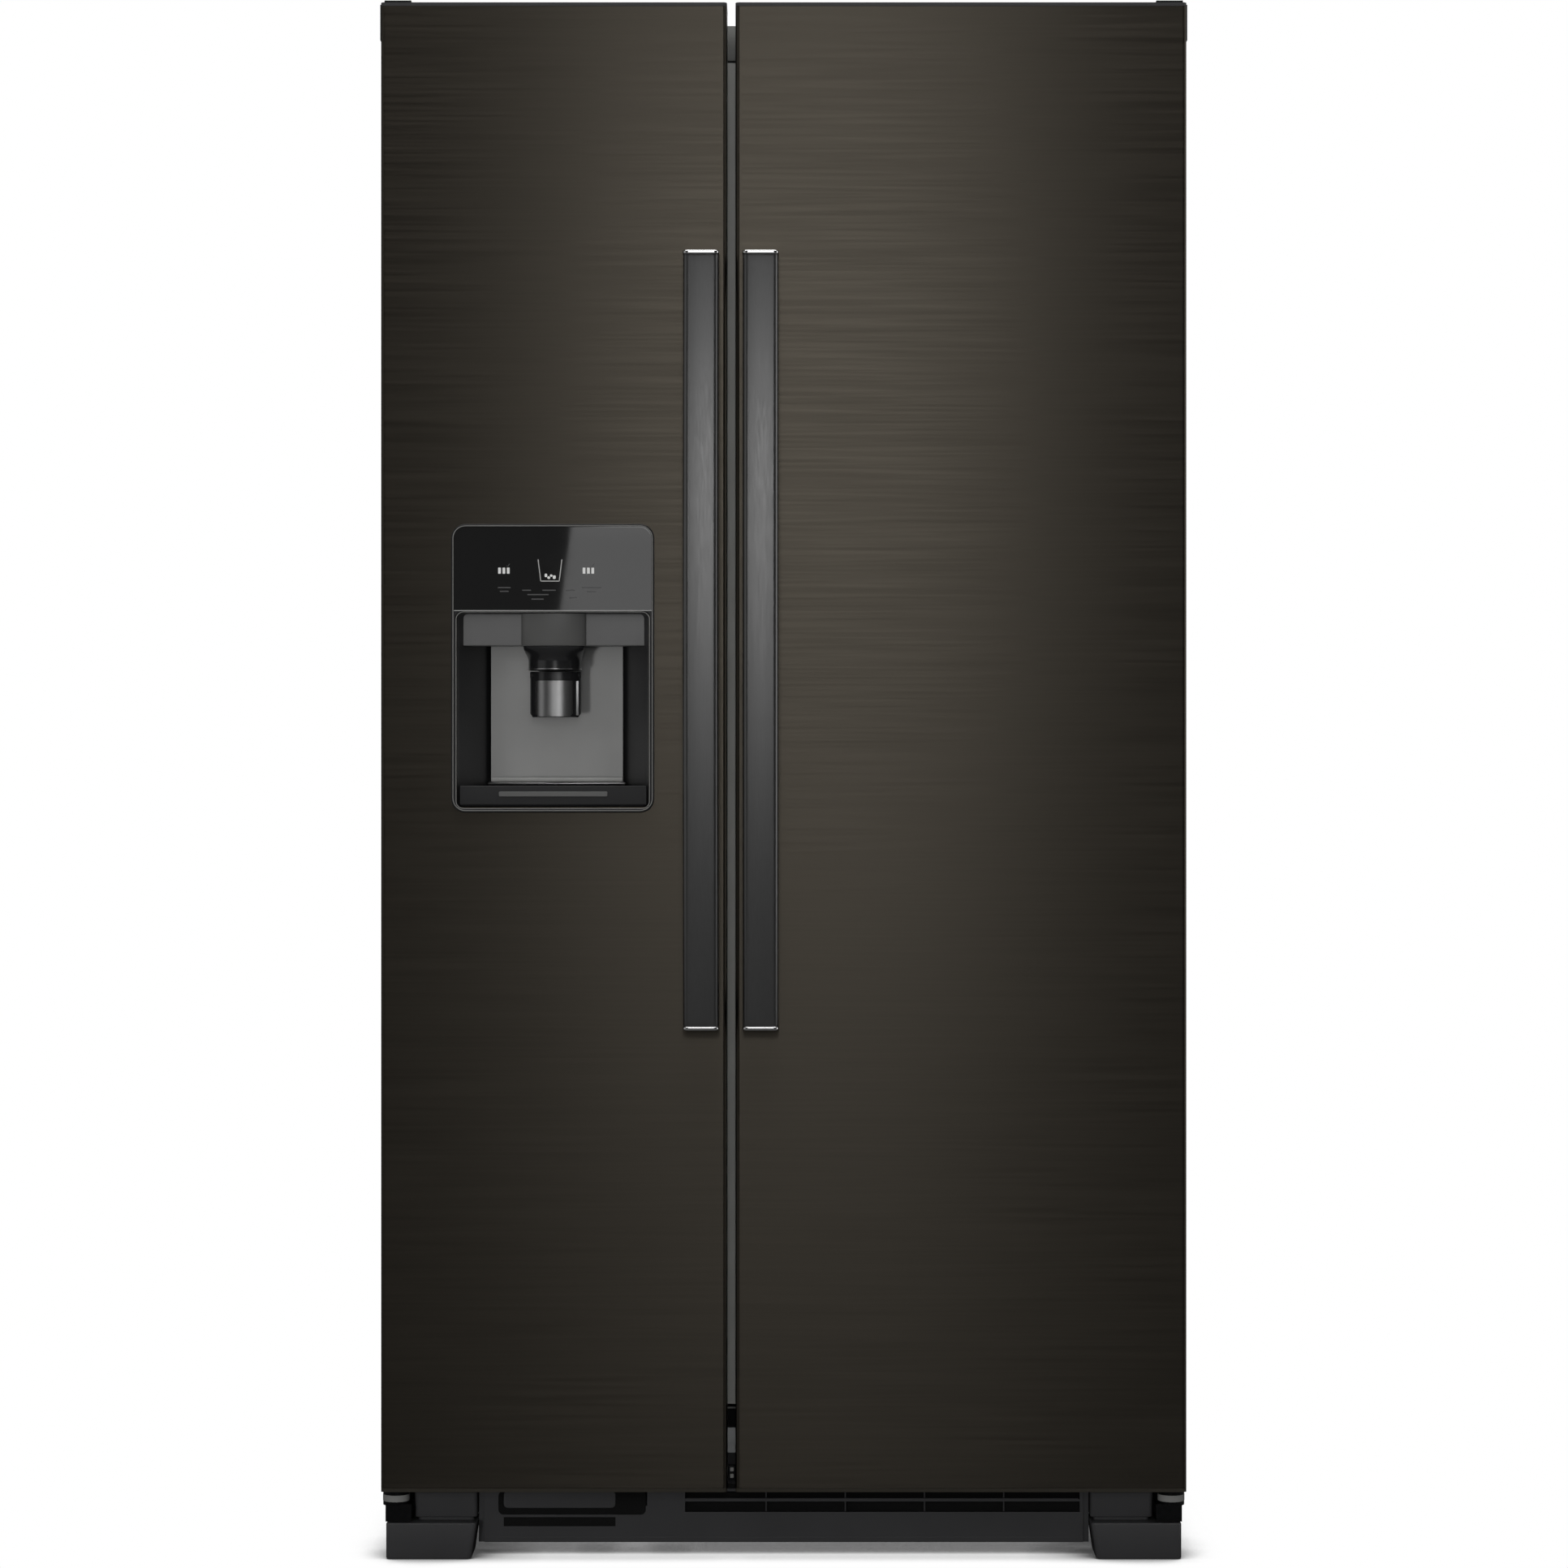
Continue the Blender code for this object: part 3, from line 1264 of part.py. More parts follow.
def base_grille():
    """A front plate, a ledge under the doors and a louvred upright behind them."""
    y0 = GRILLE_Y
    upright = CABINET_FRONT - 0.0035
    outline = [
        (y0, GRILLE_BOTTOM),
        (y0 + GRILLE_PLATE, GRILLE_BOTTOM),
        (y0 + GRILLE_PLATE, GRILLE_TOP - GRILLE_PLATE / 2),
        (upright, GRILLE_TOP - GRILLE_PLATE / 2),
        (upright, GRILLE_UPRIGHT_TOP),
        (upright - GRILLE_PLATE / 2, GRILLE_UPRIGHT_TOP),
        (upright - GRILLE_PLATE / 2, GRILLE_TOP),
        (y0, GRILLE_TOP),
    ]
    grille = prism(
        "base_grille", "X", outline, -GRILLE_HALF, GRILLE_HALF, "black_plastic"
    )
    through = (y0 - 0.01, y0 + GRILLE_PLATE + 0.001)
    middle = (GRILLE_BAND_TOP + GRILLE_TOP) / 2
    edge = 0.004
    for name, low, high in (
        ("lower", GRILLE_BAND_TOP + 0.0005, middle - LOUVRE_BAR / 2),
        ("upper", middle + LOUVRE_BAR / 2, GRILLE_TOP - GRILLE_PLATE),
    ):
        sides = (LOUVRE_FROM, GRILLE_HALF - edge, *through, low, high)
        cut(grille, box(f"louvre_{name}", sides))
    cover = (
        COVER_FROM - COVER_PLAY,
        COVER_TO + COVER_PLAY,
        *through,
        COVER_BOTTOM - COVER_PLAY,
        GRILLE_TOP - GRILLE_PLATE / 2 - TOUCH,
    )
    knob = (
        FILTER_X - FILTER_KNOB_RADIUS - 0.001,
        FILTER_X + FILTER_KNOB_RADIUS + 0.001,
        *through,
        COVER_BOTTOM - COVER_PLAY,
        GRILLE_TOP - GRILLE_PLATE / 2 - TOUCH,
    )
    cut(grille, box("cover_opening", cover), box("knob_opening", knob))
    slot = (COVER_FROM, COVER_TO, y0 - 0.01, y0 + GRILLE_PLATE / 2, *BAND_SLOT)
    cut(grille, box("band_slot", slot))


def filter_cover():
    """The small flap over the filter's access, hinged along its lower edge."""
    middle = GRILLE_Y + COVER_PLATE / 2
    axis_z = COVER_BOTTOM + COVER_PLATE / 2
    pivot("filter_cover_axis", ((COVER_FROM + COVER_TO) / 2, middle, axis_z))
    sides = (
        COVER_FROM,
        COVER_TO,
        GRILLE_Y,
        GRILLE_Y + COVER_PLATE,
        COVER_BOTTOM,
        GRILLE_TOP - GRILLE_PLATE / 2 - TOUCH - COVER_PLAY,
    )
    box("filter_cover", sides, "black_plastic", "filter_cover_axis")


def water_filter():
    """The cartridge with its turning cap, which lies under the freezer."""
    start = GRILLE_Y + GRILLE_PLATE + 0.0006
    pivot("water_filter_axis", (FILTER_X, start, FILTER_Z))
    centre = (FILTER_X, FILTER_Z)
    grip = FILTER_KNOB_RADIUS - 0.003
    profile = [
        (grip - 0.001, start),
        (grip, start + 0.001),
        (grip, start + 0.009),
        (FILTER_RADIUS * 0.9, start + 0.009),
        (FILTER_RADIUS * 0.9, start + 0.028),
        (FILTER_RADIUS, start + 0.032),
        (FILTER_RADIUS, start + FILTER_LENGTH),
    ]
    turned(
        "water_filter", "Y", centre, profile, 20, "black_plastic", "water_filter_axis"
    )


def foot_cover(hand, side):
    """A stepped corner cover, hollow from behind."""
    name = "foot_cover_" + hand
    front = DOOR_FRONT + FOOT_COVER_SETBACK
    back = CABINET_FRONT - 0.002
    x0, x1 = mirrored(FOOT_COVER_IN, FOOT_COVER_OUT, side)
    b0, b1 = mirrored(FOOT_COVER_IN, FOOT_COVER_BLOCK_OUT, side)
    n0, n1 = mirrored(FOOT_COVER_IN + 0.004, FOOT_COVER_BLOCK_OUT - 0.004, side)
    step = front + FOOT_COVER_STEP
    corner = 0.006
    low = 0.0006
    neck = FOOT_COVER_HEIGHT + 0.003
    lower = rectangle(x0, x1, front, back, corner, 3)
    waist = rectangle(n0, n1, step + 0.002, back - 0.002, corner, 3)
    upper = rectangle(b0, b1, step, back, corner, 3)
    soft = rectangle(x0 + 0.002, x1 - 0.002, front + 0.002, back, corner, 3)
    loops = [
        along("Z", lower, low),
        along("Z", lower, FOOT_COVER_HEIGHT - 0.002),
        along("Z", soft, FOOT_COVER_HEIGHT),
        along("Z", waist, FOOT_COVER_HEIGHT),
        along("Z", waist, neck),
        along("Z", upper, neck),
        along("Z", upper, FOOT_COVER_BLOCK_TOP),
    ]
    cover = loft(name, loops, "black_plastic")
    wall = FOOT_COVER_WALL
    room = (
        x0 + wall,
        x1 - wall,
        front + wall,
        back + 0.01,
        low - 0.01,
        FOOT_COVER_HEIGHT - wall,
    )
    cut(cover, box(name + "_room", room))


# Hinges


def lower_hinge(hand, side):
    """A bracket under the door with an upright pin, fixed to the cabinet's front."""
    name = "lower_hinge_" + hand
    x0, x1 = mirrored(POST_IN, CABINET_SIDE - 0.002, side)
    arm_low = FOOT_COVER_HEIGHT + 0.0015
    arm_high = arm_low + 0.005
    front = HINGE_Y - 0.014
    plate = CABINET_FRONT + 0.0015
    outline = [
        (front, arm_low),
        (plate + HINGE_PLATE, arm_low),
        (plate + HINGE_PLATE, LOWER_RAIL_BOTTOM - 0.001),
        (plate, LOWER_RAIL_BOTTOM - 0.001),
        (plate, arm_high),
        (HINGE_Y + 0.012, arm_high),
        (HINGE_Y + 0.012, POST_TOP),
        (front, POST_TOP),
    ]
    hinge = prism(name, "X", outline, x0, x1, "hinge_steel")
    cam = DOOR_BOTTOM - 0.0008
    pin = [
        (PIN_RADIUS, POST_TOP - 0.004),
        (PIN_RADIUS, DOOR_BOTTOM + PIN_LENGTH - 0.001),
    ]
    collar = [(0.0150, POST_TOP - 0.002), (0.0150, cam)]
    centre = (side * HINGE_X, HINGE_Y)
    join(hinge, turned(name + "_collar", "Z", centre, collar, 20))
    join(hinge, turned(name + "_pin", "Z", centre, pin, 16))


def hinge_heights():
    """The upper hinge plate's two levels: on the cabinet and over the door."""
    return CABINET_TOP + TOUCH, DOOR_TOP + HINGE_LIFT


def upper_hinge(hand, side):
    """A cranked plate from the cabinet's top to over the door, with a pin down into it."""
    name = "upper_hinge_" + hand
    low, high = hinge_heights()
    bend = CABINET_FRONT + 0.001
    front = HINGE_Y - HINGE_ARM_WIDTH / 2
    outline = [
        (front, high),
        (bend, high),
        (bend, low),
        (bend + HINGE_TAIL, low),
        (bend + HINGE_TAIL, low + HINGE_PLATE),
        (bend + HINGE_PLATE, low + HINGE_PLATE),
        (bend + HINGE_PLATE, high + HINGE_PLATE),
        (front, high + HINGE_PLATE),
    ]
    half = HINGE_ARM_WIDTH / 2
    middle = CABINET_SIDE - half - 0.001
    x0, x1 = mirrored(middle - half, middle + half, side)
    hinge = prism(name, "X", outline, x0, x1, "hinge_steel")
    pin = [(PIN_RADIUS, DOOR_TOP - PIN_LENGTH + 0.001), (PIN_RADIUS, high + 0.001)]
    centre = (side * HINGE_X, HINGE_Y)
    join(hinge, turned(name + "_pin", "Z", centre, pin, 16))


def hinge_cover(hand, side):
    """The moulded cover over an upper hinge, open underneath and at its front."""
    name = "hinge_cover_" + hand
    _, high = hinge_heights()
    middle = CABINET_SIDE - HINGE_ARM_WIDTH / 2 - 0.001
    half = HINGE_ARM_WIDTH / 2 + TOUCH * 2
    wall = HINGE_COVER_WALL
    inner = mirrored(middle - half, middle + half, side)
    outside_wall = min(wall, DOORS_SIDE - middle - half)
    x0, x1 = mirrored(middle - half - wall, middle + half + outside_wall, side)
    floor = CABINET_TOP + TOUCH
    roof = high + HINGE_PLATE + HINGE_COVER_HEIGHT
    step = DOOR_TOP + 2 * HINGE_LIFT
    front = CABINET_FRONT - 0.004
    back = CABINET_FRONT + HINGE_TAIL + 0.012
    outline = [
        (front, step),
        (front + 0.0048, step),
        (front + 0.0048, floor),
        (back, floor),
        (back, floor + 0.010),
        (back - 0.014, roof),
        (front + 0.010, roof),
        (front, high + HINGE_PLATE + 0.004),
    ]
    cover = prism(name, "X", outline, x0, x1, "black_plastic")
    room_outline = [
        (front - 0.02, step - 0.03),
        (back - wall, step - 0.03),
        (back - wall, floor + 0.010 - wall),
        (back - 0.014 - wall / 2, roof - wall),
        (front + 0.010, roof - wall),
        (front - 0.02, high + HINGE_PLATE + 0.001),
    ]
    cut(cover, prism(name + "_room", "X", room_outline, *inner))


# Inside the compartments


def shelf(unit, name, low):
    """A glass shelf in a raised frame."""
    edges = (
        unit.left + SHELF_PLAY,
        unit.right - SHELF_PLAY,
        CABINET_FRONT + SHELF_SETBACK,
        REAR - SHELF_PLAY,
    )
    top = low + SHELF_RIM
    inner = grown(edges, -0.012)
    loops = [
        along("Z", rectangle(*edges), low),
        along("Z", rectangle(*edges), top),
        along("Z", rectangle(*inner), top),
        along("Z", rectangle(*inner), top - 0.003),
    ]
    body = loft(name, loops, "shelf_glass")
    under = grown(inner, -0.001)
    cut(body, box(name + "_under", (*under, low - 0.01, top - 0.003 - SHELF_GLASS)))


def drawer(unit, name):
    """An open-topped drawer with a taller front, which slides towards the door."""
    low = FLOOR + DRAWER_LIFT
    y0 = CABINET_FRONT + DRAWER_SETBACK
    y1 = HUMP_FRONT - DRAWER_PLAY
    left = unit.left + DRAWER_SIDE
    right = unit.right - DRAWER_SIDE
    pivot(name + "_axis", ((left + right) / 2, y0, low))
    wall = DRAWER_WALL
    loops = tray_loops(
        "Z", (left, right, y0, y1), low, low + DRAWER_HEIGHT, wall, wall, 0.010, 2
    )
    loft(name, loops, "clear_plastic", name + "_axis")


def ice_bucket(low):
    edges = (
        FREEZER.left + 0.020,
        FREEZER.right - 0.040,
        DOOR_BACK + BUMP_DEPTH + 0.030,
        REAR - 0.040,
    )
    loops = tray_loops("Z", edges, low, low + ICE_BUCKET_HEIGHT, 0.003, 0.003, 0.012, 2)
    loft("ice_bucket", loops, "white_plastic")


def ice_maker(low):
    y1 = REAR - TOUCH * 4
    sides = (
        FREEZER.left + 0.012,
        FREEZER.left + 0.150,
        y1 - ICE_MAKER_DEPTH,
        y1,
        low,
        low + ICE_MAKER_HEIGHT,
    )
    body = box("ice_maker", sides, "white_plastic")
    mould = (
        sides[0] + 0.012,
        sides[1] - 0.012,
        sides[2] + 0.030,
        y1 - 0.012,
        low + 0.040,
        low + ICE_MAKER_HEIGHT + 0.01,
    )
    cut(body, box("ice_mould_room", mould))


def interior():
    """Shelves spaced evenly over the drawers, the ice maker at the top, and the door bins."""
    over_drawer = FLOOR + DRAWER_LIFT + DRAWER_HEIGHT + 0.008
    over_hump = max(over_drawer, HUMP_TOP + 0.004)
    pitch = (CEILING - over_hump) / 3.2
    shelf(FRIDGE, "crisper_cover", over_hump)
    shelf(FRIDGE, "fridge_shelf_lower", over_hump + pitch)
    shelf(FRIDGE, "fridge_shelf_upper", over_hump + 2 * pitch)
    drawer(FRIDGE, "crisper_drawer")
    drawer(FREEZER, "freezer_basket")
    maker = CEILING - ICE_MAKER_HEIGHT - 0.012
    bucket = RECESS_TOP + CHUTE_TOP + 0.006
    ice_maker(maker)
    ice_bucket(bucket)
    shelf(FREEZER, "freezer_shelf", (over_hump + bucket) / 2)
    bin_low = over_drawer + 0.030
    door_bin(FREEZER, "freezer_bin_lower", bin_low)
    bucket_top = bucket + ICE_BUCKET_HEIGHT
    room = CEILING - DYKE_CLEARANCE - DYKE_WIDTH - BIN_HEIGHT
    door_bin(FREEZER, "freezer_bin_upper", (bucket_top + room) / 2)
    dairy_low = CEILING - DYKE_CLEARANCE - DYKE_WIDTH - DAIRY_DROP
    dairy(dairy_low)
    bin_pitch = (dairy_low - bin_low) / 3
    door_bin(FRIDGE, "fridge_bin_lower", bin_low + 0.3 * bin_pitch)
    door_bin(FRIDGE, "fridge_bin_upper", bin_low + 1.6 * bin_pitch)


def main():
    dispenser(*door(FREEZER))
    door(FRIDGE)
    cabinet_shell()
    back_panel()
    cabinet_foam()
    compartment_liner(FREEZER)
    compartment_liner(FRIDGE)
    mullion_cover()
    base_pan()
    machine_cover()
    compressor()
    condenser()
    condenser_fan()
    fan_motor()
    base_grille()
    filter_cover()
    water_filter()
    for hand, side in (("left", -1), ("right", 1)):
        foot_cover(hand, side)
        lower_hinge(hand, side)
        upper_hinge(hand, side)
        hinge_cover(hand, side)
        levelling_foot(hand, side)
        rear_roller(hand, side)
    interior()


FINISHES = make_finishes()
main()
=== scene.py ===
"""Side by side refrigerator in black stainless steel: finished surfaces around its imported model.

Metres, +Z up, front towards -Y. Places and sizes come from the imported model's own boxes.
"""

import json
import math

import bpy
import numpy as np
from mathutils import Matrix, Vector


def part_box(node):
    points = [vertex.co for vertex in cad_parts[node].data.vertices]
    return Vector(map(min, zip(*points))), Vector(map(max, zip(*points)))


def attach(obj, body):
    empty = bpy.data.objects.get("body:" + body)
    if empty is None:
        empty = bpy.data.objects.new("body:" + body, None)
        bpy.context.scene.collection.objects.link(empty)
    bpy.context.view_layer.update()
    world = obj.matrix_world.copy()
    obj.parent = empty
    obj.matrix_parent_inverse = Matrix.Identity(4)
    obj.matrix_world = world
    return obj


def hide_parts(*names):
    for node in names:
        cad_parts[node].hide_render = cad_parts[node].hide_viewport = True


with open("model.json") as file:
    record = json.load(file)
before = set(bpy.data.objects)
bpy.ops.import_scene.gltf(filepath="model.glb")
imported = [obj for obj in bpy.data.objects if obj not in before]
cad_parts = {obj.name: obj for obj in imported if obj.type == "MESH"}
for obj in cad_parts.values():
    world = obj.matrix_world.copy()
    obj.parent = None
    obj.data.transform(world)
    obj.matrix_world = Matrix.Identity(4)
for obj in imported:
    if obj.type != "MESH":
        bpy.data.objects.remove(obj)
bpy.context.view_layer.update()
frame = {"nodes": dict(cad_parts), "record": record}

bl_info = {
    "name": "Side by side refrigerator",
    "version": (1, 0, 0),
    "blender": (4, 5, 0),
    "location": "View3D > Sidebar > Refrigerator",
    "description": "Builds a side by side refrigerator's finished surfaces on its packed model",
    "category": "Add Mesh",
}

MM = 0.001
DOORS = ("freezer", "fridge")
HANDS = (("left", -1), ("right", 1))
MATERIALS = {}

# The finishes of each material slot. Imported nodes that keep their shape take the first.
SLOT_FINISHES = {
    "black_stainless": "black_stainless",
    "handle_metal": "brushed_handle chrome_plate",
    "black_plastic": "black_abs dark_abs housing_abs spout_abs backing_black",
    "gloss_black": "gloss_acrylic",
    "grey_plastic": "lintel_abs lintel_side recess_abs foot_light edge_line line_ink faint_ink"
    " icon_ink",
    "silver_plastic": "silver_paint satin_plate",
    "painted_steel": "pebbled_paint rail_paint strip_paint",
    "galvanised_steel": "galvanised_sheet zinc_plate copper",
    "hinge_steel": "black_zinc",
    "foam": "poured_foam",
    "white_liner": "liner_hips",
    "clear_plastic": "clear_styrene",
    "shelf_glass": "shelf_glass",
    "gasket_rubber": "gasket_pvc",
    "white_plastic": "white_abs light_lens",
    "compressor_black": "compressor_enamel",
    "aluminium_fins": "fin_aluminium",
    "roller_plastic": "roller_nylon cam_acetal",
}


class Room:
    """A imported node's box, with its six faces by name."""

    def __init__(self, node):
        low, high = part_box(node)
        self.left, self.front, self.low = low
        self.right, self.back, self.high = high
        self.x = (self.left + self.right) / 2
        self.y = (self.front + self.back) / 2
        self.z = (self.low + self.high) / 2
        self.wide = self.right - self.left
        self.deep = self.back - self.front
        self.tall = self.high - self.low
        self.face = (self.left, self.right, self.low, self.high)
        self.plan = (self.left, self.right, self.front, self.back)
        self.tray = (self.plan, self.low, self.high)


def linear(text):
    """The linear red, green and blue of an sRGB hex value."""
    parts = [int(text[i : i + 2], 16) / 255 for i in (0, 2, 4)]
    return [p / 12.92 if p <= 0.04045 else ((p + 0.055) / 1.055) ** 2.4 for p in parts]


def tint(text, label, words):
    """A colour property with that sRGB default."""
    return bpy.props.FloatVectorProperty(
        name=label,
        description=words,
        subtype="COLOR",
        size=3,
        min=0.0,
        max=1.0,
        default=linear(text),
    )


def length(value, label, words):
    """A length property in metres."""
    return bpy.props.FloatProperty(
        name=label, description=words, unit="LENGTH", default=value, min=0.0
    )


class RefrigeratorColours(bpy.types.PropertyGroup):
    """The colours of the refrigerator's finishes."""

    steel: tint("565149", "Black stainless", "Coated sheet steel of the doors")
    handle: tint("7c7c7c", "Handle", "Brushed bars of the handles")
    chrome: tint("e8e8e8", "Chrome", "Plated end trims of the handles")
    black: tint("303031", "Black plastic", "Moulded plastic of covers, caps and grille")
    panel: tint("191919", "Control panel", "Gloss acrylic over the dispenser")
    lintel: tint("4f4f4e", "Dispenser grey", "Moulded lintel and chute of the dispenser")
    silver: tint("b6b6b4", "Paddle", "Silver painted paddle of the dispenser")
    cabinet: tint("3b3b3a", "Cabinet", "Pebbled paint of the cabinet")
    liner: tint("e6e8e8", "Liner", "Formed polystyrene inside the compartments")
    clear: tint("dfe9ec", "Clear plastic", "Bins and drawers")
    glass: tint("d8e8e4", "Shelf glass", "Toughened glass of the shelves")


class RefrigeratorSizes(bpy.types.PropertyGroup):
    """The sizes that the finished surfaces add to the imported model."""

    edge: length(0.0045, "Door edge", "Radius of a door's upright front edges")
    grain: length(0.0034, "Brushing", "Spacing of the brushed lines, drawn coarse enough to show")
    crown: length(0.0014, "Handle crown", "Rise of the handle's face over its edges")
    trim: length(0.0046, "Handle trim", "Height of the plated trim at each end of a handle")
    corner: length(0.022, "Liner corner", "Radius of the compartments' long corners")
    pebble: length(0.0022, "Paint pebble", "Spacing of the pebbled paint's grains")
    rib: length(0.045, "Rib spacing", "Spacing of the shelf supports' ribs")


# Surfaces


def outline(left, right, low, high, radius=0.0, steps=5):
    """A rounded rectangle, counter-clockwise: a corner's centre plus the radius times cosine and
    sine. A point just past each arc keeps the straight sides' shading flat."""
    wide, tall = right - left, high - low
    radius = min(radius, wide / 2 - 1e-6, tall / 2 - 1e-6)
    past = max(min(0.15 * radius, wide / 4 - radius / 2, tall / 4 - radius / 2), 0.0)
    corner = np.linspace(0, math.pi / 2, steps + 1)
    corner = np.concatenate([corner[:1], corner, corner[-1:]])
    turn = np.concatenate([corner + math.pi / 2 * k for k in (-1, 0, 1, 2)])
    slide = np.tile(np.concatenate([[-past], np.zeros(steps + 1), [past]]), 4)
    u = np.repeat([right - radius, right - radius, left + radius, left + radius], steps + 3)
    v = np.repeat([low + radius, high - radius, high - radius, low + radius], steps + 3)
    u = u + radius * np.cos(turn) - slide * np.sin(turn)
    v = v + radius * np.sin(turn) + slide * np.cos(turn)
    return np.stack([u, v], 1)


def ring(u, v, radius, sides=48):
    """A circle: the centre plus the radius times cosine and sine of even turns."""
    turn = np.arange(sides) * 2 * math.pi / sides
    return np.stack([u + radius * np.cos(turn), v + radius * np.sin(turn)], 1)


def raised(axis, flat, height):
    """Flat points on the plane across the axis at that height."""
    level = np.full(len(flat), height)
    u, v = flat[:, 0], flat[:, 1]
    order = {"X": (level, u, v), "Y": (u, level, v), "Z": (u, v, level)}
    return np.stack(order[axis], 1)


def quads(rows, columns, around=True, closed=False):
    """Corner numbers of a grid's faces: each joins a row to the next and a column to the next."""
    i = np.arange(rows if closed else rows - 1)[:, None]
    j = np.arange(columns if around else columns - 1)[None, :]
    below, above = i * columns, (i + 1) % rows * columns
    after = (j + 1) % columns
    cells = [below + j, below + after, above + after, above + j]
    return np.stack(np.broadcast_arrays(*cells), -1).reshape(-1, 4)


def volume(points, faces):
    """Six times the enclosed volume: each corner fan's triple product, summed."""
    a, b, c, d = (points[faces[:, k]] for k in range(4))
    return np.sum(a * np.cross(b, c)) + np.sum(a * np.cross(c, d))


def finished(name, points, faces, material, body, smooth=38, uv=None, node=None, slot=None):
    """One object from its points and faces, with its finish, riding on its body. A node that it
    stands for is named too. Its slot argument is not used."""
    data = bpy.data.meshes.new(name)
    data.from_pydata(points.tolist(), [], faces)
    if uv is not None:
        layer = data.uv_layers.new(name="grain")
        corners = np.empty(len(data.loops), int)
        data.loops.foreach_get("vertex_index", corners)
        layer.data.foreach_set("uv", uv[corners].astype(np.float32).ravel())
    data.update()
    data.shade_smooth()
    data.set_sharp_from_angle(angle=math.radians(smooth))
    data.materials.append(MATERIALS[material])
    piece = placed(name, data)
    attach(piece, body)
    if node:
        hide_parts(node)
    return piece


def surface(loops, closed=False):
    """Points and outward faces over loops of equally many points: a grid with the loops as rows,
    capped at both ends or joined end to end."""
    loops = np.asarray(loops, float)
    rows, columns = loops.shape[:2]
    points = loops.reshape(-1, 3)
    cells = quads(rows, columns, closed=closed)
    last = np.arange(rows * columns - columns, rows * columns)
    caps = [] if closed else [np.arange(columns)[::-1], last]
    fans = [cap[[0, k, k + 1, k + 1]] for cap in caps for k in range(1, columns - 1)]
    whole = np.concatenate([cells, np.array(fans, int).reshape(-1, 4)])
    inward = volume(points, whole) < 0
    way = -1 if inward else 1
    return points, [face[::way] for face in cells.tolist() + [cap.tolist() for cap in caps]]


def skin(name, loops, material, body, closed=False, smooth=38, **more):
    """One piece from one closed surface over the loops."""
    return finished(name, *surface(loops, closed), material, body, smooth, **more)


def joined(name, parts, material, body, smooth=38, **more):
    """One piece from several closed surfaces, each with its own loops."""
    points, faces, start = [], [], 0
    for loops in parts:
        corners, cells = surface(loops)
        points.append(corners)
        faces += [[start + k for k in cell] for cell in cells]
        start += len(corners)
    return finished(name, np.concatenate(points), faces, material, body, smooth, **more)


def settled(piece, smooth):
    """Apply the piece's modifiers, then keep only edges past that angle sharp."""
    graph = bpy.context.evaluated_depsgraph_get()
    whole = bpy.data.meshes.new_from_object(
        piece.evaluated_get(graph), preserve_all_data_layers=True, depsgraph=graph
    )
    piece.modifiers.clear()
    piece.data = whole
    whole.shade_smooth()
    whole.set_sharp_from_angle(angle=math.radians(smooth))


def block(low, high, corner=0.0, edge=0.0, axis="Z", steps=4):
    """A block with rounded corners and edges: the outline pulls in by edge (1 - sin t) as it
    rises by edge (1 - cos t), at both ends. One more loop on each end keeps its shading flat."""
    order = {"X": (1, 2, 0), "Y": (0, 2, 1), "Z": (0, 1, 2)}[axis]
    (u0, v0, h0), (u1, v1, h1) = ([p[k] for k in order] for p in (low, high))
    turn = np.linspace(0, math.pi / 2, steps + 1) if edge else np.array([math.pi / 2])
    pull, rise = edge * (1 - np.sin(turn)), edge * (1 - np.cos(turn))
    if edge:
        pull, rise = np.insert(pull, 0, edge * 1.3), np.insert(rise, 0, 0.0)
    levels = [(p, h0 + r) for p, r in zip(pull, rise)]
    levels += [(p, h1 - r) for p, r in zip(pull[::-1], rise[::-1])]
    loops = []
    for p, height in levels:
        flat = outline(u0 + p, u1 - p, v0 + p, v1 - p, max(corner - p, 0.0), steps)
        loops.append(raised(axis, flat, height))
    return loops


def stretch(base, low, high):
    """The two ends of a stretch, given in millimetres from its base."""
    return base + low * MM, base + high * MM


def slab(x, y, z, *shape, **more):
    """A block between two ends on each axis."""
    return block(*zip(x, y, z), *shape, **more)


def turned(profile, centre, axis="Z", sides=48):
    """A surface of revolution: at each height of the profile, a circle of its radius."""
    return [raised(axis, ring(*centre, r, sides), h) for r, h in profile]


def profile(base, *rows):
    """Radii and heights given in millimetres, the heights counted from the base."""
    return [(radius * MM, base + height * MM) for radius, height in rows]


def mirrored(half, middle):
    """A profile and its mirror image past the middle height."""
    return half + [(radius, 2 * middle - height) for radius, height in half[::-1]]


def rolled(radius, count=5, turns_in=False):
    """A quarter round's steps as pulls and drops: radius (1 - cos t) and radius (1 - sin t), or
    the two exchanged where it turns in."""
    turn = np.linspace(0, math.pi / 2, count)
    pull, drop = radius * (1 - np.cos(turn)), radius * (1 - np.sin(turn))
    return list(zip(drop, pull) if turns_in else zip(pull, drop))


def tube(path, radius, sides=12):
    """A round tube: at each point of the path a circle across the path's direction."""
    path = np.asarray(path, float)
    ahead = np.gradient(path, axis=0)
    ahead /= np.linalg.norm(ahead, axis=1)[:, None]
    helper = np.where(np.abs(ahead[:, 2:3]) > 0.9, [[1.0, 0.0, 0.0]], [[0.0, 0.0, 1.0]])
    side = np.cross(helper, ahead)
    side /= np.linalg.norm(side, axis=1)[:, None]
    up = np.cross(ahead, side)
    turn = np.arange(sides) * 2 * math.pi / sides
    across = side[:, None] * np.cos(turn)[None, :, None] + up[:, None] * np.sin(turn)[
        None, :, None
    ]
    return path[:, None] + radius * across


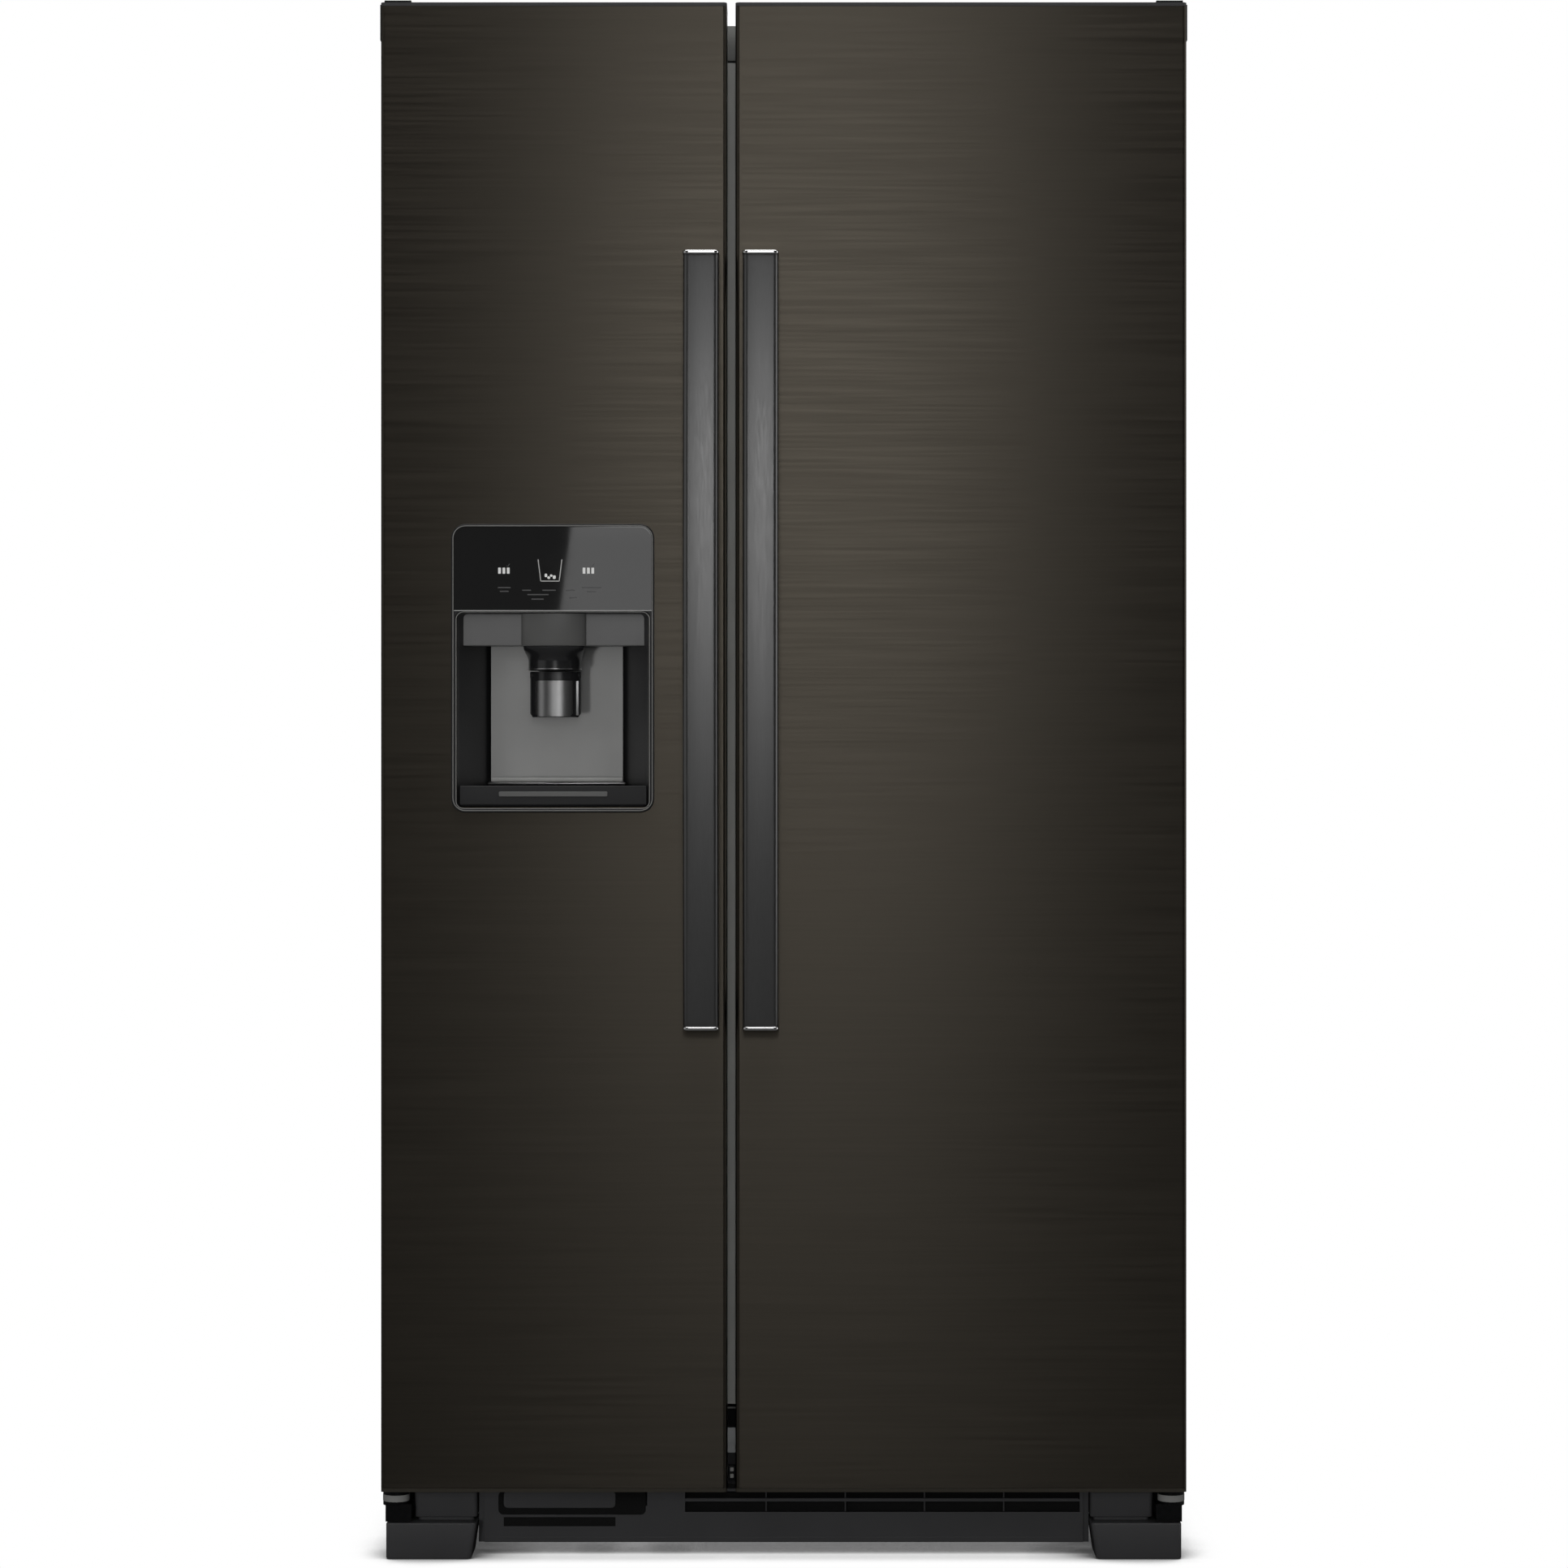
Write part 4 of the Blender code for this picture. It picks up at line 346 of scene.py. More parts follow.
def rounded(points, steps=6, share=0.35):
    """A path with its corners turned into arcs: each corner becomes a quadratic curve between
    the points a share of the way along its two sides."""
    points = np.asarray(points, float)
    t = np.linspace(0, 1, steps)[:, None]
    parts = [points[:1]]
    for before, here, after in zip(points, points[1:], points[2:]):
        start = here + (before - here) * share
        end = here + (after - here) * share
        parts.append((1 - t) ** 2 * start + 2 * t * (1 - t) * here + t**2 * end)
    parts.append(points[-1:])
    return np.concatenate(parts)


def smoothstep(low, high, value):
    """0 up to low, 1 from high on, and 3 t squared minus 2 t cubed between."""
    t = np.clip((value - low) / (high - low), 0, 1)
    return t * t * (3 - 2 * t)


def placed(name, data):
    """A new object with that data, in the scene."""
    piece = bpy.data.objects.new(name, data)
    bpy.context.scene.collection.objects.link(piece)
    return piece


# Materials


def cleared(owner):
    """The empty node tree of a new material or world."""
    owner.use_nodes = True
    owner.node_tree.nodes.clear()
    return owner.node_tree


def add(tree, kind, inputs=None, **settings):
    """Add a shader node with its settings, and set or link its inputs."""
    made = tree.nodes.new(kind)
    for key, value in settings.items():
        setattr(made, key, value)
    for key, value in (inputs or {}).items():
        socket = made.inputs[key]
        if isinstance(value, bpy.types.NodeSocket):
            tree.links.new(value, socket)
        else:
            socket.default_value = value
    return made


def fresh(name, colour, roughness, metallic=0.0, **shader):
    """A new Principled material's tree and shader. Other values are named with underscores."""
    made = bpy.data.materials.new(name)
    tree = cleared(made)
    inputs = {"Base Color": (*colour, 1.0), "Roughness": roughness, "Metallic": metallic}
    inputs.update({key.replace("_", " "): value for key, value in shader.items()})
    surface = add(tree, "ShaderNodeBsdfPrincipled", inputs)
    add(tree, "ShaderNodeOutputMaterial", {"Surface": surface.outputs[0]})
    MATERIALS[name] = made
    made.diffuse_color = (*colour, 1.0)
    return tree, surface


def grains(tree, spacing, stretch=(1, 1, 1), detail=2.0):
    """Noise in the piece's own coordinates whose grains are about that far apart."""
    place = add(tree, "ShaderNodeTexCoord").outputs["Object"]
    scaled = add(tree, "ShaderNodeMapping", {"Vector": place, "Scale": stretch}).outputs[0]
    noise = add(
        tree, "ShaderNodeTexNoise", {"Vector": scaled, "Scale": 1 / spacing, "Detail": detail}
    )
    return noise.outputs["Fac"]


def between(tree, factor, low, high, from_low=0.3, from_high=0.7):
    """A number that follows the factor from low to high."""
    inputs = {0: factor, 1: from_low, 2: from_high, 3: low, 4: high}
    return add(tree, "ShaderNodeMapRange", inputs).outputs[0]


def shades(tree, surface, factor, colour, spread):
    """Base colour that follows the factor, darker to lighter than the colour by the spread."""
    dark = (*[c * (1 - spread) for c in colour], 1.0)
    light = (*[min(c * (1 + spread), 1.0) for c in colour], 1.0)
    share = between(tree, factor, 0.0, 1.0)
    mix = add(tree, "ShaderNodeMix", {0: share, 6: dark, 7: light}, data_type="RGBA")
    tree.links.new(mix.outputs[2], surface.inputs["Base Color"])


def relief(tree, surface, factor, depth):
    """Bump of that depth in metres."""
    bump = add(tree, "ShaderNodeBump", {"Height": factor, "Distance": depth, "Strength": 1.0})
    tree.links.new(bump.outputs[0], surface.inputs["Normal"])


def sheen(tree, surface, factor, low, high):
    """Roughness that follows the factor from low to high."""
    tree.links.new(between(tree, factor, low, high), surface.inputs["Roughness"])


def brushed(name, colour, roughness, grain, spread, aniso, stretch):
    """Brushed metal: fine scratches one way, so that highlights spread across them."""
    tree, surface = fresh(name, colour, roughness, 1.0, Anisotropic=aniso)
    lines = grains(tree, grain, stretch, 3.0)
    shades(tree, surface, lines, colour, spread)
    sheen(tree, surface, lines, roughness - 0.035, roughness + 0.035)
    if aniso:
        way = add(tree, "ShaderNodeTangent", direction_type="UV_MAP", uv_map="grain")
        tree.links.new(way.outputs[0], surface.inputs["Tangent"])


def moulded(name, colour, roughness, grain=0.9 * MM, depth=0.02 * MM, **shader):
    """Moulded plastic: a fine spark-eroded texture that breaks up its sheen."""
    tree, surface = fresh(name, colour, roughness, **shader)
    texture = grains(tree, grain)
    cloud = grains(tree, 60 * MM)
    shades(tree, surface, cloud, colour, 0.05)
    sheen(tree, surface, texture, roughness - 0.05, roughness + 0.05)
    relief(tree, surface, texture, depth)


def make_finishes(colours, sizes):
    """Every finish of the refrigerator."""
    # Coated stainless steel, brushed across: warm, dark, with a soft upright streak.
    brushed("black_stainless", colours.steel, 0.33, sizes.grain, 0.05, 0.85, (0.02, 1, 1))
    # Brushed aluminium bars with a clear coat.
    brushed("brushed_handle", colours.handle, 0.34, 1.2 * MM, 0.04, 0.0, (1, 1, 0.03))
    # Bright chrome on moulded plastic.
    tree, surface = fresh("chrome_plate", colours.chrome, 0.06, 1.0)
    sheen(tree, surface, grains(tree, 8 * MM), 0.04, 0.09)
    # Satin plated paddle: a metal skin that mirrors the room in upright bands.
    tree, surface = fresh("satin_plate", linear("cacaca"), 0.32, 1.0)
    sheen(tree, surface, grains(tree, 3 * MM), 0.29, 0.35)
    # Injection moulded plastics with a satin texture.
    moulded("black_abs", colours.black, 0.42)
    moulded("lintel_abs", colours.lintel, 0.42, Specular_IOR_Level=1.0)
    moulded("spout_abs", linear("1a1a1b"), 0.22, Specular_IOR_Level=0.8)
    for name, colour, rough in (
        ("dark_abs", "1c1c1d", 0.5),
        ("housing_abs", "1f1f20", 0.38),
        ("recess_abs", "868685", 0.36),
        ("lintel_side", "606060", 0.4),
        # Pale edge grey paints highlights: the thin lines where the dispenser's bevels catch the
        # light.
        ("edge_line", "767674", 0.35),
        # Pale ledge grey paints the lit band at the foot of the dispenser's recess.
        ("foot_light", "a8a8a6", 0.35),
        # Near-black paints shade behind the grille, over its slot and round the filter's flap, and
        # colours the strip's dark joints.
        ("backing_black", "060606", 0.7),
        ("cam_acetal", "6e6e6c", 0.4),
        ("white_abs", "dcdfdf", 0.4),
        ("roller_nylon", "9c9b97", 0.5),
        ("rail_paint", "7c7c79", 0.4),
        ("strip_paint", "c9c9c4", 0.4),
        ("cap_paint", "28251f", 0.4),
    ):
        moulded(name, linear(colour), rough)
    # Printed inks lie flat, so their grain hardly shows. The pale grey ink also paints the
    # highlight along the control panel's foot.
    for name, colour in (("line_ink", "a2a2a0"), ("faint_ink", "4a4a4a"), ("icon_ink", "d5d5d3")):
        moulded(name, linear(colour), 0.5, 0.5 * MM, 0.002 * MM)
    # Extruded soft vinyl, vacuum formed polystyrene and silver paint.
    moulded("gasket_pvc", linear("3c3c3d"), 0.62, 1.6 * MM, 0.04 * MM)
    moulded("liner_hips", colours.liner, 0.28, 3 * MM, 0.015 * MM)
    moulded("silver_paint", colours.silver, 0.3, 0.8 * MM, 0.006 * MM)
    # Gloss acrylic: black, with a hard reflection.
    tree, surface = fresh("gloss_acrylic", colours.panel, 0.03, Specular_IOR_Level=0.86)
    sheen(tree, surface, grains(tree, 30 * MM), 0.02, 0.035)
    # Powder paint with a pebbled grain.
    tree, surface = fresh("pebbled_paint", colours.cabinet, 0.42)
    pebbles = grains(tree, sizes.pebble, detail=1.0)
    shades(tree, surface, grains(tree, 0.25), colours.cabinet, 0.05)
    relief(tree, surface, pebbles, 0.16 * MM)
    # Hot-dip zinc: cells of crystals, each with its own shade.
    tree, surface = fresh("galvanised_sheet", linear("a9acad"), 0.42, 0.85)
    place = add(tree, "ShaderNodeTexCoord").outputs["Object"]
    cells = add(tree, "ShaderNodeTexVoronoi", {"Vector": place, "Scale": 1 / (9 * MM)})
    cell = add(tree, "ShaderNodeSeparateColor", {0: cells.outputs["Color"]}).outputs[0]
    shades(tree, surface, cell, linear("a9acad"), 0.06)
    sheen(tree, surface, cell, 0.4, 0.46)
    # Zinc-plated and blackened steel of brackets and screws.
    for name, colour, rough in (
        ("zinc_plate", "b4b5b6", 0.34),
        ("black_zinc", "333334", 0.4),
        ("copper", "b87a55", 0.32),
        ("fin_aluminium", "b9bbbc", 0.38),
    ):
        tree, surface = fresh(name, linear(colour), rough, 1.0)
        worn = grains(tree, 6 * MM, detail=4.0)
        shades(tree, surface, worn, linear(colour), 0.12)
        sheen(tree, surface, worn, rough - 0.08, rough + 0.1)
    # Baked enamel over pressed steel.
    tree, surface = fresh("compressor_enamel", linear("19191a"), 0.3)
    relief(tree, surface, grains(tree, 2 * MM), 0.05 * MM)
    shades(tree, surface, grains(tree, 40 * MM), linear("19191a"), 0.2)
    # Poured polyurethane foam: small closed cells.
    tree, surface = fresh("poured_foam", linear("d8c48c"), 0.9)
    shades(tree, surface, grains(tree, 2.5 * MM, detail=3.0), linear("d8c48c"), 0.18)
    # Clear polystyrene with a faint blue, and toughened glass with a faint green.
    for name, colour, rough in (
        ("clear_styrene", colours.clear, 0.07),
        ("shelf_glass", colours.glass, 0.03),
    ):
        tree, surface = fresh(
            name, colour, rough, Transmission_Weight=0.86, IOR=1.3, Alpha=0.62
        )
        sheen(tree, surface, grains(tree, 25 * MM), rough, rough + 0.05)
    # Opal lens of the inside lights.
    tree, surface = fresh(
        "light_lens", linear("f6f7f4"), 0.35, Emission_Color=(1, 1, 0.96, 1), Emission_Strength=0.5
    )
    shades(tree, surface, grains(tree, 5 * MM), linear("f0f2ee"), 0.03)


def screw(x, y, z, axis, outward, radius):
    """A domed screw head's loops: half a circle's sine and cosine turned about the axis."""
    turn = np.linspace(math.pi / 2, 0.08, 6)
    centre = {"X": (y, z), "Y": (x, z), "Z": (x, y)}[axis]
    base = {"X": x, "Y": y, "Z": z}[axis]
    profile = [(radius, base - outward * 0.5 * MM)]
    profile += [(radius * math.sin(t), base + outward * 0.45 * radius * math.cos(t)) for t in turn]
    return turned(profile, centre, axis, 18)


# Stage


def glow(name, colour, strength):
    """A plain light-giving material for the studio's cards."""
    made = bpy.data.materials.new(name)
    tree = cleared(made)
    light = add(tree, "ShaderNodeEmission", {"Color": (*colour, 1.0), "Strength": strength})
    add(tree, "ShaderNodeOutputMaterial", {"Surface": light.outputs[0]})
    return made, tree, light


def card(name, corners, strength, fade=None):
    """A lit card that shows only in reflections and as light: four corners joined by one face."""
    made, tree, light = glow(name, (1, 1, 1), strength)
    if fade:
        fade(tree, light)
    data = bpy.data.meshes.new(name)
    data.from_pydata([tuple(c) for c in corners], [], [(0, 1, 2, 3)])
    data.materials.append(made)
    piece = placed(name, data)
    piece.visible_camera = False
    piece.visible_shadow = False
    return piece


def eased(tree, value, low, high):
    """0 up to low and 1 from high on, with soft ends."""
    inputs = {0: value, 1: low, 2: high, 3: 0.0, 4: 1.0}
    kind = "SMOOTHSTEP"
    return add(tree, "ShaderNodeMapRange", inputs, interpolation_type=kind).outputs[0]


def figured(tree, operation, first, second):
    """The two numbers put through that operation."""
    return add(tree, "ShaderNodeMath", {0: first, 1: second}, operation=operation).outputs[0]


def upright_fade(tree, light):
    """The card's strength by height: a bright band above the middle over a weaker, lower glow."""
    place = add(tree, "ShaderNodeTexCoord").outputs["Object"]
    height = add(tree, "ShaderNodeSeparateXYZ", {0: place}).outputs[2]
    glow_part = figured(
        tree, "MULTIPLY", eased(tree, height, 0.30, 1.30), eased(tree, height, 2.80, 2.35)
    )
    band = figured(
        tree, "MULTIPLY", eased(tree, height, 1.42, 1.85), eased(tree, height, 2.50, 1.98)
    )
    total = figured(
        tree, "ADD", figured(tree, "MULTIPLY", glow_part, 1.2),
        figured(tree, "MULTIPLY", band, 3.0),
    )
    tree.links.new(total, light.inputs["Strength"])


def make_world():
    """White behind the object, an even light on matt surfaces, and a dim room in reflections."""
    world = bpy.data.worlds.new("studio")
    bpy.context.scene.world = world
    tree = cleared(world)
    path = add(tree, "ShaderNodeLightPath")
    seen = add(tree, "ShaderNodeBackground", {"Color": (1, 1, 1, 1), "Strength": 1.0})
    even = add(tree, "ShaderNodeBackground", {"Color": (1, 1, 1, 1), "Strength": 0.5})
    dim = add(tree, "ShaderNodeBackground", {"Color": (1, 1, 1, 1), "Strength": 0.035})
    lit = add(
        tree,
        "ShaderNodeMixShader",
        {0: path.outputs["Is Glossy Ray"], 1: even.outputs[0], 2: dim.outputs[0]},
    )
    both = add(
        tree,
        "ShaderNodeMixShader",
        {0: path.outputs["Is Camera Ray"], 1: lit.outputs[0], 2: seen.outputs[0]},
    )
    add(tree, "ShaderNodeOutputWorld", {"Surface": both.outputs[0]})


def make_floor():
    """A pale floor with a painted shadow: its glow for the camera dims by ambient occlusion close
    under the object.
    """
    made = bpy.data.materials.new("pale_floor")
    tree = cleared(made)
    path = add(tree, "ShaderNodeLightPath")
    # Painted shadow: ambient occlusion dims the floor's glow for the camera near the object.
    near = add(tree, "ShaderNodeAmbientOcclusion", {"Distance": 0.08}, samples=16)
    level = between(tree, near.outputs["AO"], 0.06, 1.0, 0.36, 0.82)
    seen = add(tree, "ShaderNodeEmission", {"Color": (1, 1, 1, 1), "Strength": level})
    matt = add(tree, "ShaderNodeBsdfDiffuse", {"Color": (0.08, 0.08, 0.08, 1)})
    both = add(
        tree,
        "ShaderNodeMixShader",
        {0: path.outputs["Is Camera Ray"], 1: matt.outputs[0], 2: seen.outputs[0]},
    )
    add(tree, "ShaderNodeOutputMaterial", {"Surface": both.outputs[0]})
    data = bpy.data.meshes.new("floor")
    reach = 12.0
    corners = [(-reach, -reach, 0), (reach, -reach, 0), (reach, reach, 0), (-reach, reach, 0)]
    data.from_pydata(corners, [], [(0, 1, 2, 3)])
    data.materials.append(made)
    placed("floor", data)


def softbox(name, position, target, size, energy, spread=180):
    """An area light aimed at a point."""
    lamp = bpy.data.lights.new(name, "AREA")
    lamp.shape = "RECTANGLE"
    lamp.size, lamp.size_y = size
    lamp.energy = energy
    lamp.spread = math.radians(spread)
    body = placed(name, lamp)
    body.location = position
    body.rotation_euler = (Vector(target) - Vector(position)).to_track_quat("-Z", "Y").to_euler()
    body.visible_glossy = False


def make_stage():
    door = Room("fridge_door_skin")
    camera = bpy.data.cameras.new("camera")
    camera.sensor_width = 36.0
    camera.lens = 85.6
    camera.clip_end = 60.0
    eye = placed("camera", camera)
    eye.location = (0.0003, door.front - 4.2, 0.875)
    eye.rotation_euler = (math.radians(90), 0, 0)
    bpy.context.scene.camera = eye
    bpy.context.scene.view_settings.view_transform = "Standard"
    make_world()
    make_floor()
    # The front card stands just behind the camera. Its leaning left edge shows in the gloss panel.
    far = eye.location.y - 0.25
    mirror = 1 + (door.front - far) / 4.2
    lean, foot, head = 0.128, -0.4, 3.3
    left_low, left_high = (-0.518 + lean * (z - 1.277) for z in (foot, head))
    right = 0.25 * mirror
    corners = [
        (left_low, far, foot), (right, far, foot), (right, far, head), (left_high, far, head)
    ]
    card("front_card", corners, 1.0, upright_fade)
    # Tall cards at the sides draw the thin light lines on the upright edges.
    for name, side, near, strength in (("left_card", -1, -4.4, 0.3), ("right_card", 1, -1.6, 1.1)):
        x = side * 3.6
        corners = [(x, near, 0.2), (x, 0.4, 0.2), (x, 0.4, 3.0), (x, near, 3.0)]
        card(name, corners, strength)
    corners = [(-2.0, -1.8, 4.2), (2.0, -1.8, 4.2), (2.0, 1.8, 4.2), (-2.0, 1.8, 4.2)]
    card("top_card", corners, 4.0)
    back = 4.6
    corners = [(-1.6, back, 0.4), (1.6, back, 0.4), (1.6, back, 3.0), (-1.6, back, 3.0)]
    card("back_card", corners, 1.2)
    softbox("key", (-1.3, -4.4, 0.4), (-0.26, -0.3, 0.96), (0.4, 0.4), 62)
    softbox("fill", (-0.06, -4.6, 1.1), (-0.06, -0.3, 0.95), (0.3, 0.3), 13)
    softbox("back_fill", (1.8, 4.6, 2.8), (0, 0.3, 0.9), (2.0, 2.0), 55)


# Doors


def door_plan(sheet, radius, steps=10):
    """The skin's plan from one back edge round the front to the other: two quarter circles
    and a flat front, with a point close to each arc's end that keeps the flat's shading flat."""
    near = 0.6 * MM
    turn = np.linspace(math.pi, 1.5 * math.pi, steps + 1)
    x = np.concatenate(
        [
            [sheet.left, sheet.left],
            sheet.left + radius + radius * np.cos(turn),
            [sheet.left + radius + near, sheet.right - radius - near],
            sheet.right - radius + radius * np.cos(turn + math.pi / 2),
            [sheet.right, sheet.right],
        ]
    )
    y = np.concatenate(
        [
            [sheet.back, sheet.front + 3 * radius],
            sheet.front + radius + radius * np.sin(turn),
            [sheet.front, sheet.front],
            sheet.front + radius + radius * np.sin(turn + math.pi / 2),
            [sheet.front + 3 * radius, sheet.back],
        ]
    )
    return x, y


def make_door_skin(unit, sizes):
    """The folded sheet: the door's plan carried up, with the dispenser's opening left out."""
    node = unit + "_door_skin"
    sheet = Room(node)
    x, y = door_plan(sheet, sizes.edge)
    levels = np.linspace(sheet.low, sheet.high, 25)
    if unit == "freezer":
        bezel = Room("dispenser_housing")
        margin = 0.006
        sides = [bezel.left + margin, bezel.right - margin]
        at = int(np.searchsorted(x, sides[0]))
        x = np.insert(x, at, sides)
        y = np.insert(y, at, [sheet.front, sheet.front])
        ends = [bezel.low + margin, bezel.high - margin]
        levels = np.unique(np.concatenate([levels[(levels < ends[0]) | (levels > ends[1])], ends]))
    rows, columns = len(levels), len(x)
    points = np.stack(
        [np.tile(x, rows), np.tile(y, rows), np.repeat(levels, columns)], 1
    )
    faces = quads(rows, columns, around=False)
    if unit == "freezer":
        middle = points[faces].mean(1)
        inside = (middle[:, 2] > ends[0]) & (middle[:, 2] < ends[1])
        inside &= (middle[:, 0] > sides[0]) & (middle[:, 0] < sides[1])
        inside &= middle[:, 1] < sheet.front + 1e-5
        faces = faces[~inside]
    run = np.concatenate([[0], np.cumsum(np.hypot(np.diff(x), np.diff(y)))])
    uv = np.stack([np.repeat(levels, columns), np.tile(run, rows)], 1)
    body = unit + "_door"
    piece = finished(
        node + "_sheet", points, faces.tolist(), "black_stainless", body, 30, uv, node
    )
    wall = piece.modifiers.new("sheet", "SOLIDIFY")
    wall.thickness = 0.8 * MM
    wall.offset = -1.0
    wall.use_even_offset = True
    settled(piece, 30)


def bow(z, bar, proud_end):
    """How far the bar's face stands before its ends at a height: a parabola, zero at both ends."""
    share = (z - bar.z) / (bar.tall / 2)
    return (bar.deep - proud_end) * (1 - share**2)


def make_handle(unit, sizes):
    """A bowed bar: a crowned, rounded section carried along the bow, whose back runs to the door
    at both ends over a smooth step."""
    node = unit + "_handle"
    bar = Room(node)
    proud_end = 0.0357
    radius, thick, foot, slope = 0.0050, 0.015, 0.030, 0.034
    steps = 9
    heights = np.linspace(bar.low, bar.high, 121)
    unit_section = outline(0, bar.wide, 0, thick, radius, steps)
    loops = []
    for z in heights:
        front = bar.front + (bar.deep - proud_end) - bow(z, bar, proud_end)
        end = min(z - bar.low, bar.high - z)
        depth = thick + (bar.back - front - thick) * (1 - smoothstep(foot, foot + slope, end))
        section = unit_section.copy()
        behind = section[:, 1] > thick / 2
        section[behind, 1] += depth - thick
        across = 2 * section[:, 0] / bar.wide - 1
        section[~behind, 1] += sizes.crown * across[~behind] ** 2
        u = bar.left + section[:, 0]
        loops.append(np.stack([u, front + section[:, 1], np.full(len(u), z)], 1))
    middle = np.array([bar.x, bar.y, 0])
    pull = 0.0012
    for at, z in ((0, bar.low), (-1, bar.high)):
        edge = loops[at].copy()
        shrink = 1 - 2 * pull / bar.wide
        edge[:, :2] = middle[:2] + (edge[:, :2] - middle[:2]) * shrink
        loops[at][:, 2] += pull if at == 0 else -pull
        loops.insert(0, edge) if at == 0 else loops.append(edge)
    body = unit + "_door"
    skin(node + "_bar", loops, "brushed_handle", body, smooth=50, node=node)
    # The plated trims close the bar's two ends like thimbles.
    grow = 0.0007
    front = bar.front + (bar.deep - proud_end) - grow
    for end, low in (("lower", bar.low - 0.0004), ("upper", bar.high + 0.0004 - sizes.trim)):
        low_corner = (bar.left - grow, front, low)
        high_corner = (bar.right + grow, bar.back, low + sizes.trim)
        loops = block(low_corner, high_corner, radius + grow, 0.0016, steps=6)
        skin(f"{node}_{end}_trim", loops, "chrome_plate", body, smooth=60)


# Dispenser


def make_housing():
    """Bezel and recess in one moulding: rounded outlines carried from the recess's outside,
    round the bezel, to the recess's back."""
    shell = Room("dispenser_housing")
    panel = Room("control_panel")
    door = Room("freezer_door_skin")
    face, seat = shell.front, door.front - 0.3 * MM
    top = panel.low - 1 * MM
    sill, margin = 4 * MM, 5 * MM
    opening = (shell.left + margin, shell.right - margin, shell.low + sill, top)
    half = 0.076
    back = (shell.x - half, shell.x + half, shell.low + sill + 2 * MM, top - 4 * MM)
    wall = 2 * MM
    depth = shell.back - wall

    def grown(edges, by):
        return (edges[0] - by, edges[1] + by, edges[2] - by, edges[3] + by)

    bezel = shell.face
    corner, small, round_edge = 0.016, 0.006, 0.0011
    loops = [
        raised("Y", outline(*grown(back, wall), small, 8), shell.back),
        raised("Y", outline(*grown(opening, wall), small, 8), seat),
        raised("Y", outline(*bezel, corner, 8), seat),
    ]
    inner_edge = 0.6 * MM
    edges = [(-pull, drop) for pull, drop in rolled(round_edge)]
    edges += [(inner_edge - 2.4 * MM - pull, drop) for pull, drop in rolled(inner_edge)]
    for by, drop in edges:
        loops.append(raised("Y", outline(*grown(bezel, by), corner + by, 8), face + drop))
    sunk = face + 2.2 * MM
    loops.append(raised("Y", outline(*grown(bezel, -2.4 * MM), corner - 2.4 * MM, 8), sunk))
    loops.append(raised("Y", outline(*grown(opening, 0.8 * MM), small + 0.8 * MM, 8), sunk))
    for share in np.linspace(0, 1, 9):
        edges = tuple(a + (b - a) * share for a, b in zip(opening, back))
        if share == 0:
            loops.append(raised("Y", outline(*edges, small, 8), sunk + 0.8 * MM))
        y = sunk + 1.6 * MM + (depth - sunk - 1.6 * MM) * share
        loops.append(raised("Y", outline(*edges, small, 8), y))
    skin("dispenser_surround", loops, "housing_abs", "freezer_door", node="dispenser_housing")
    # A pale plate with upright sides closes the recess's back.
    low, high = back[2] + 33 * MM, back[3]
    count = 25
    across = np.linspace(-1, 1, count)
    dish = depth - 1.5 * MM - 7 * MM * across**4
    x = shell.x + across * (half - 0.5 * MM)
    plate = np.concatenate([np.stack([x, dish], 1), np.stack([x, dish + 1 * MM], 1)[::-1]])
    loops = [raised("Z", plate, z) for z in (low, high)]
    skin("recess_back_plate", loops, "recess_abs", "freezer_door")
    # Painted highlight: the ledge at the plate's foot is pale to stand for the lit band there.
    ledge = slab(
        (x[0], x[-1]), stretch(depth, -9.5, -1), stretch(low, -4.2, 0.6), 1 * MM, 0.6 * MM, "X"
    )
    skin("recess_back_ledge", ledge, "foot_light", "freezer_door")
    ends = half + 3.5 * MM
    rod = mirrored(profile(shell.x - ends, (0.6, 0), (1.7, 0.8), (2.2, 2.4)), shell.x)
    skin(
        "recess_foot_rod", turned(rod, (depth - 12 * MM, low - 6.6 * MM), "X", 24), "satin_plate",
        "freezer_door",
    )


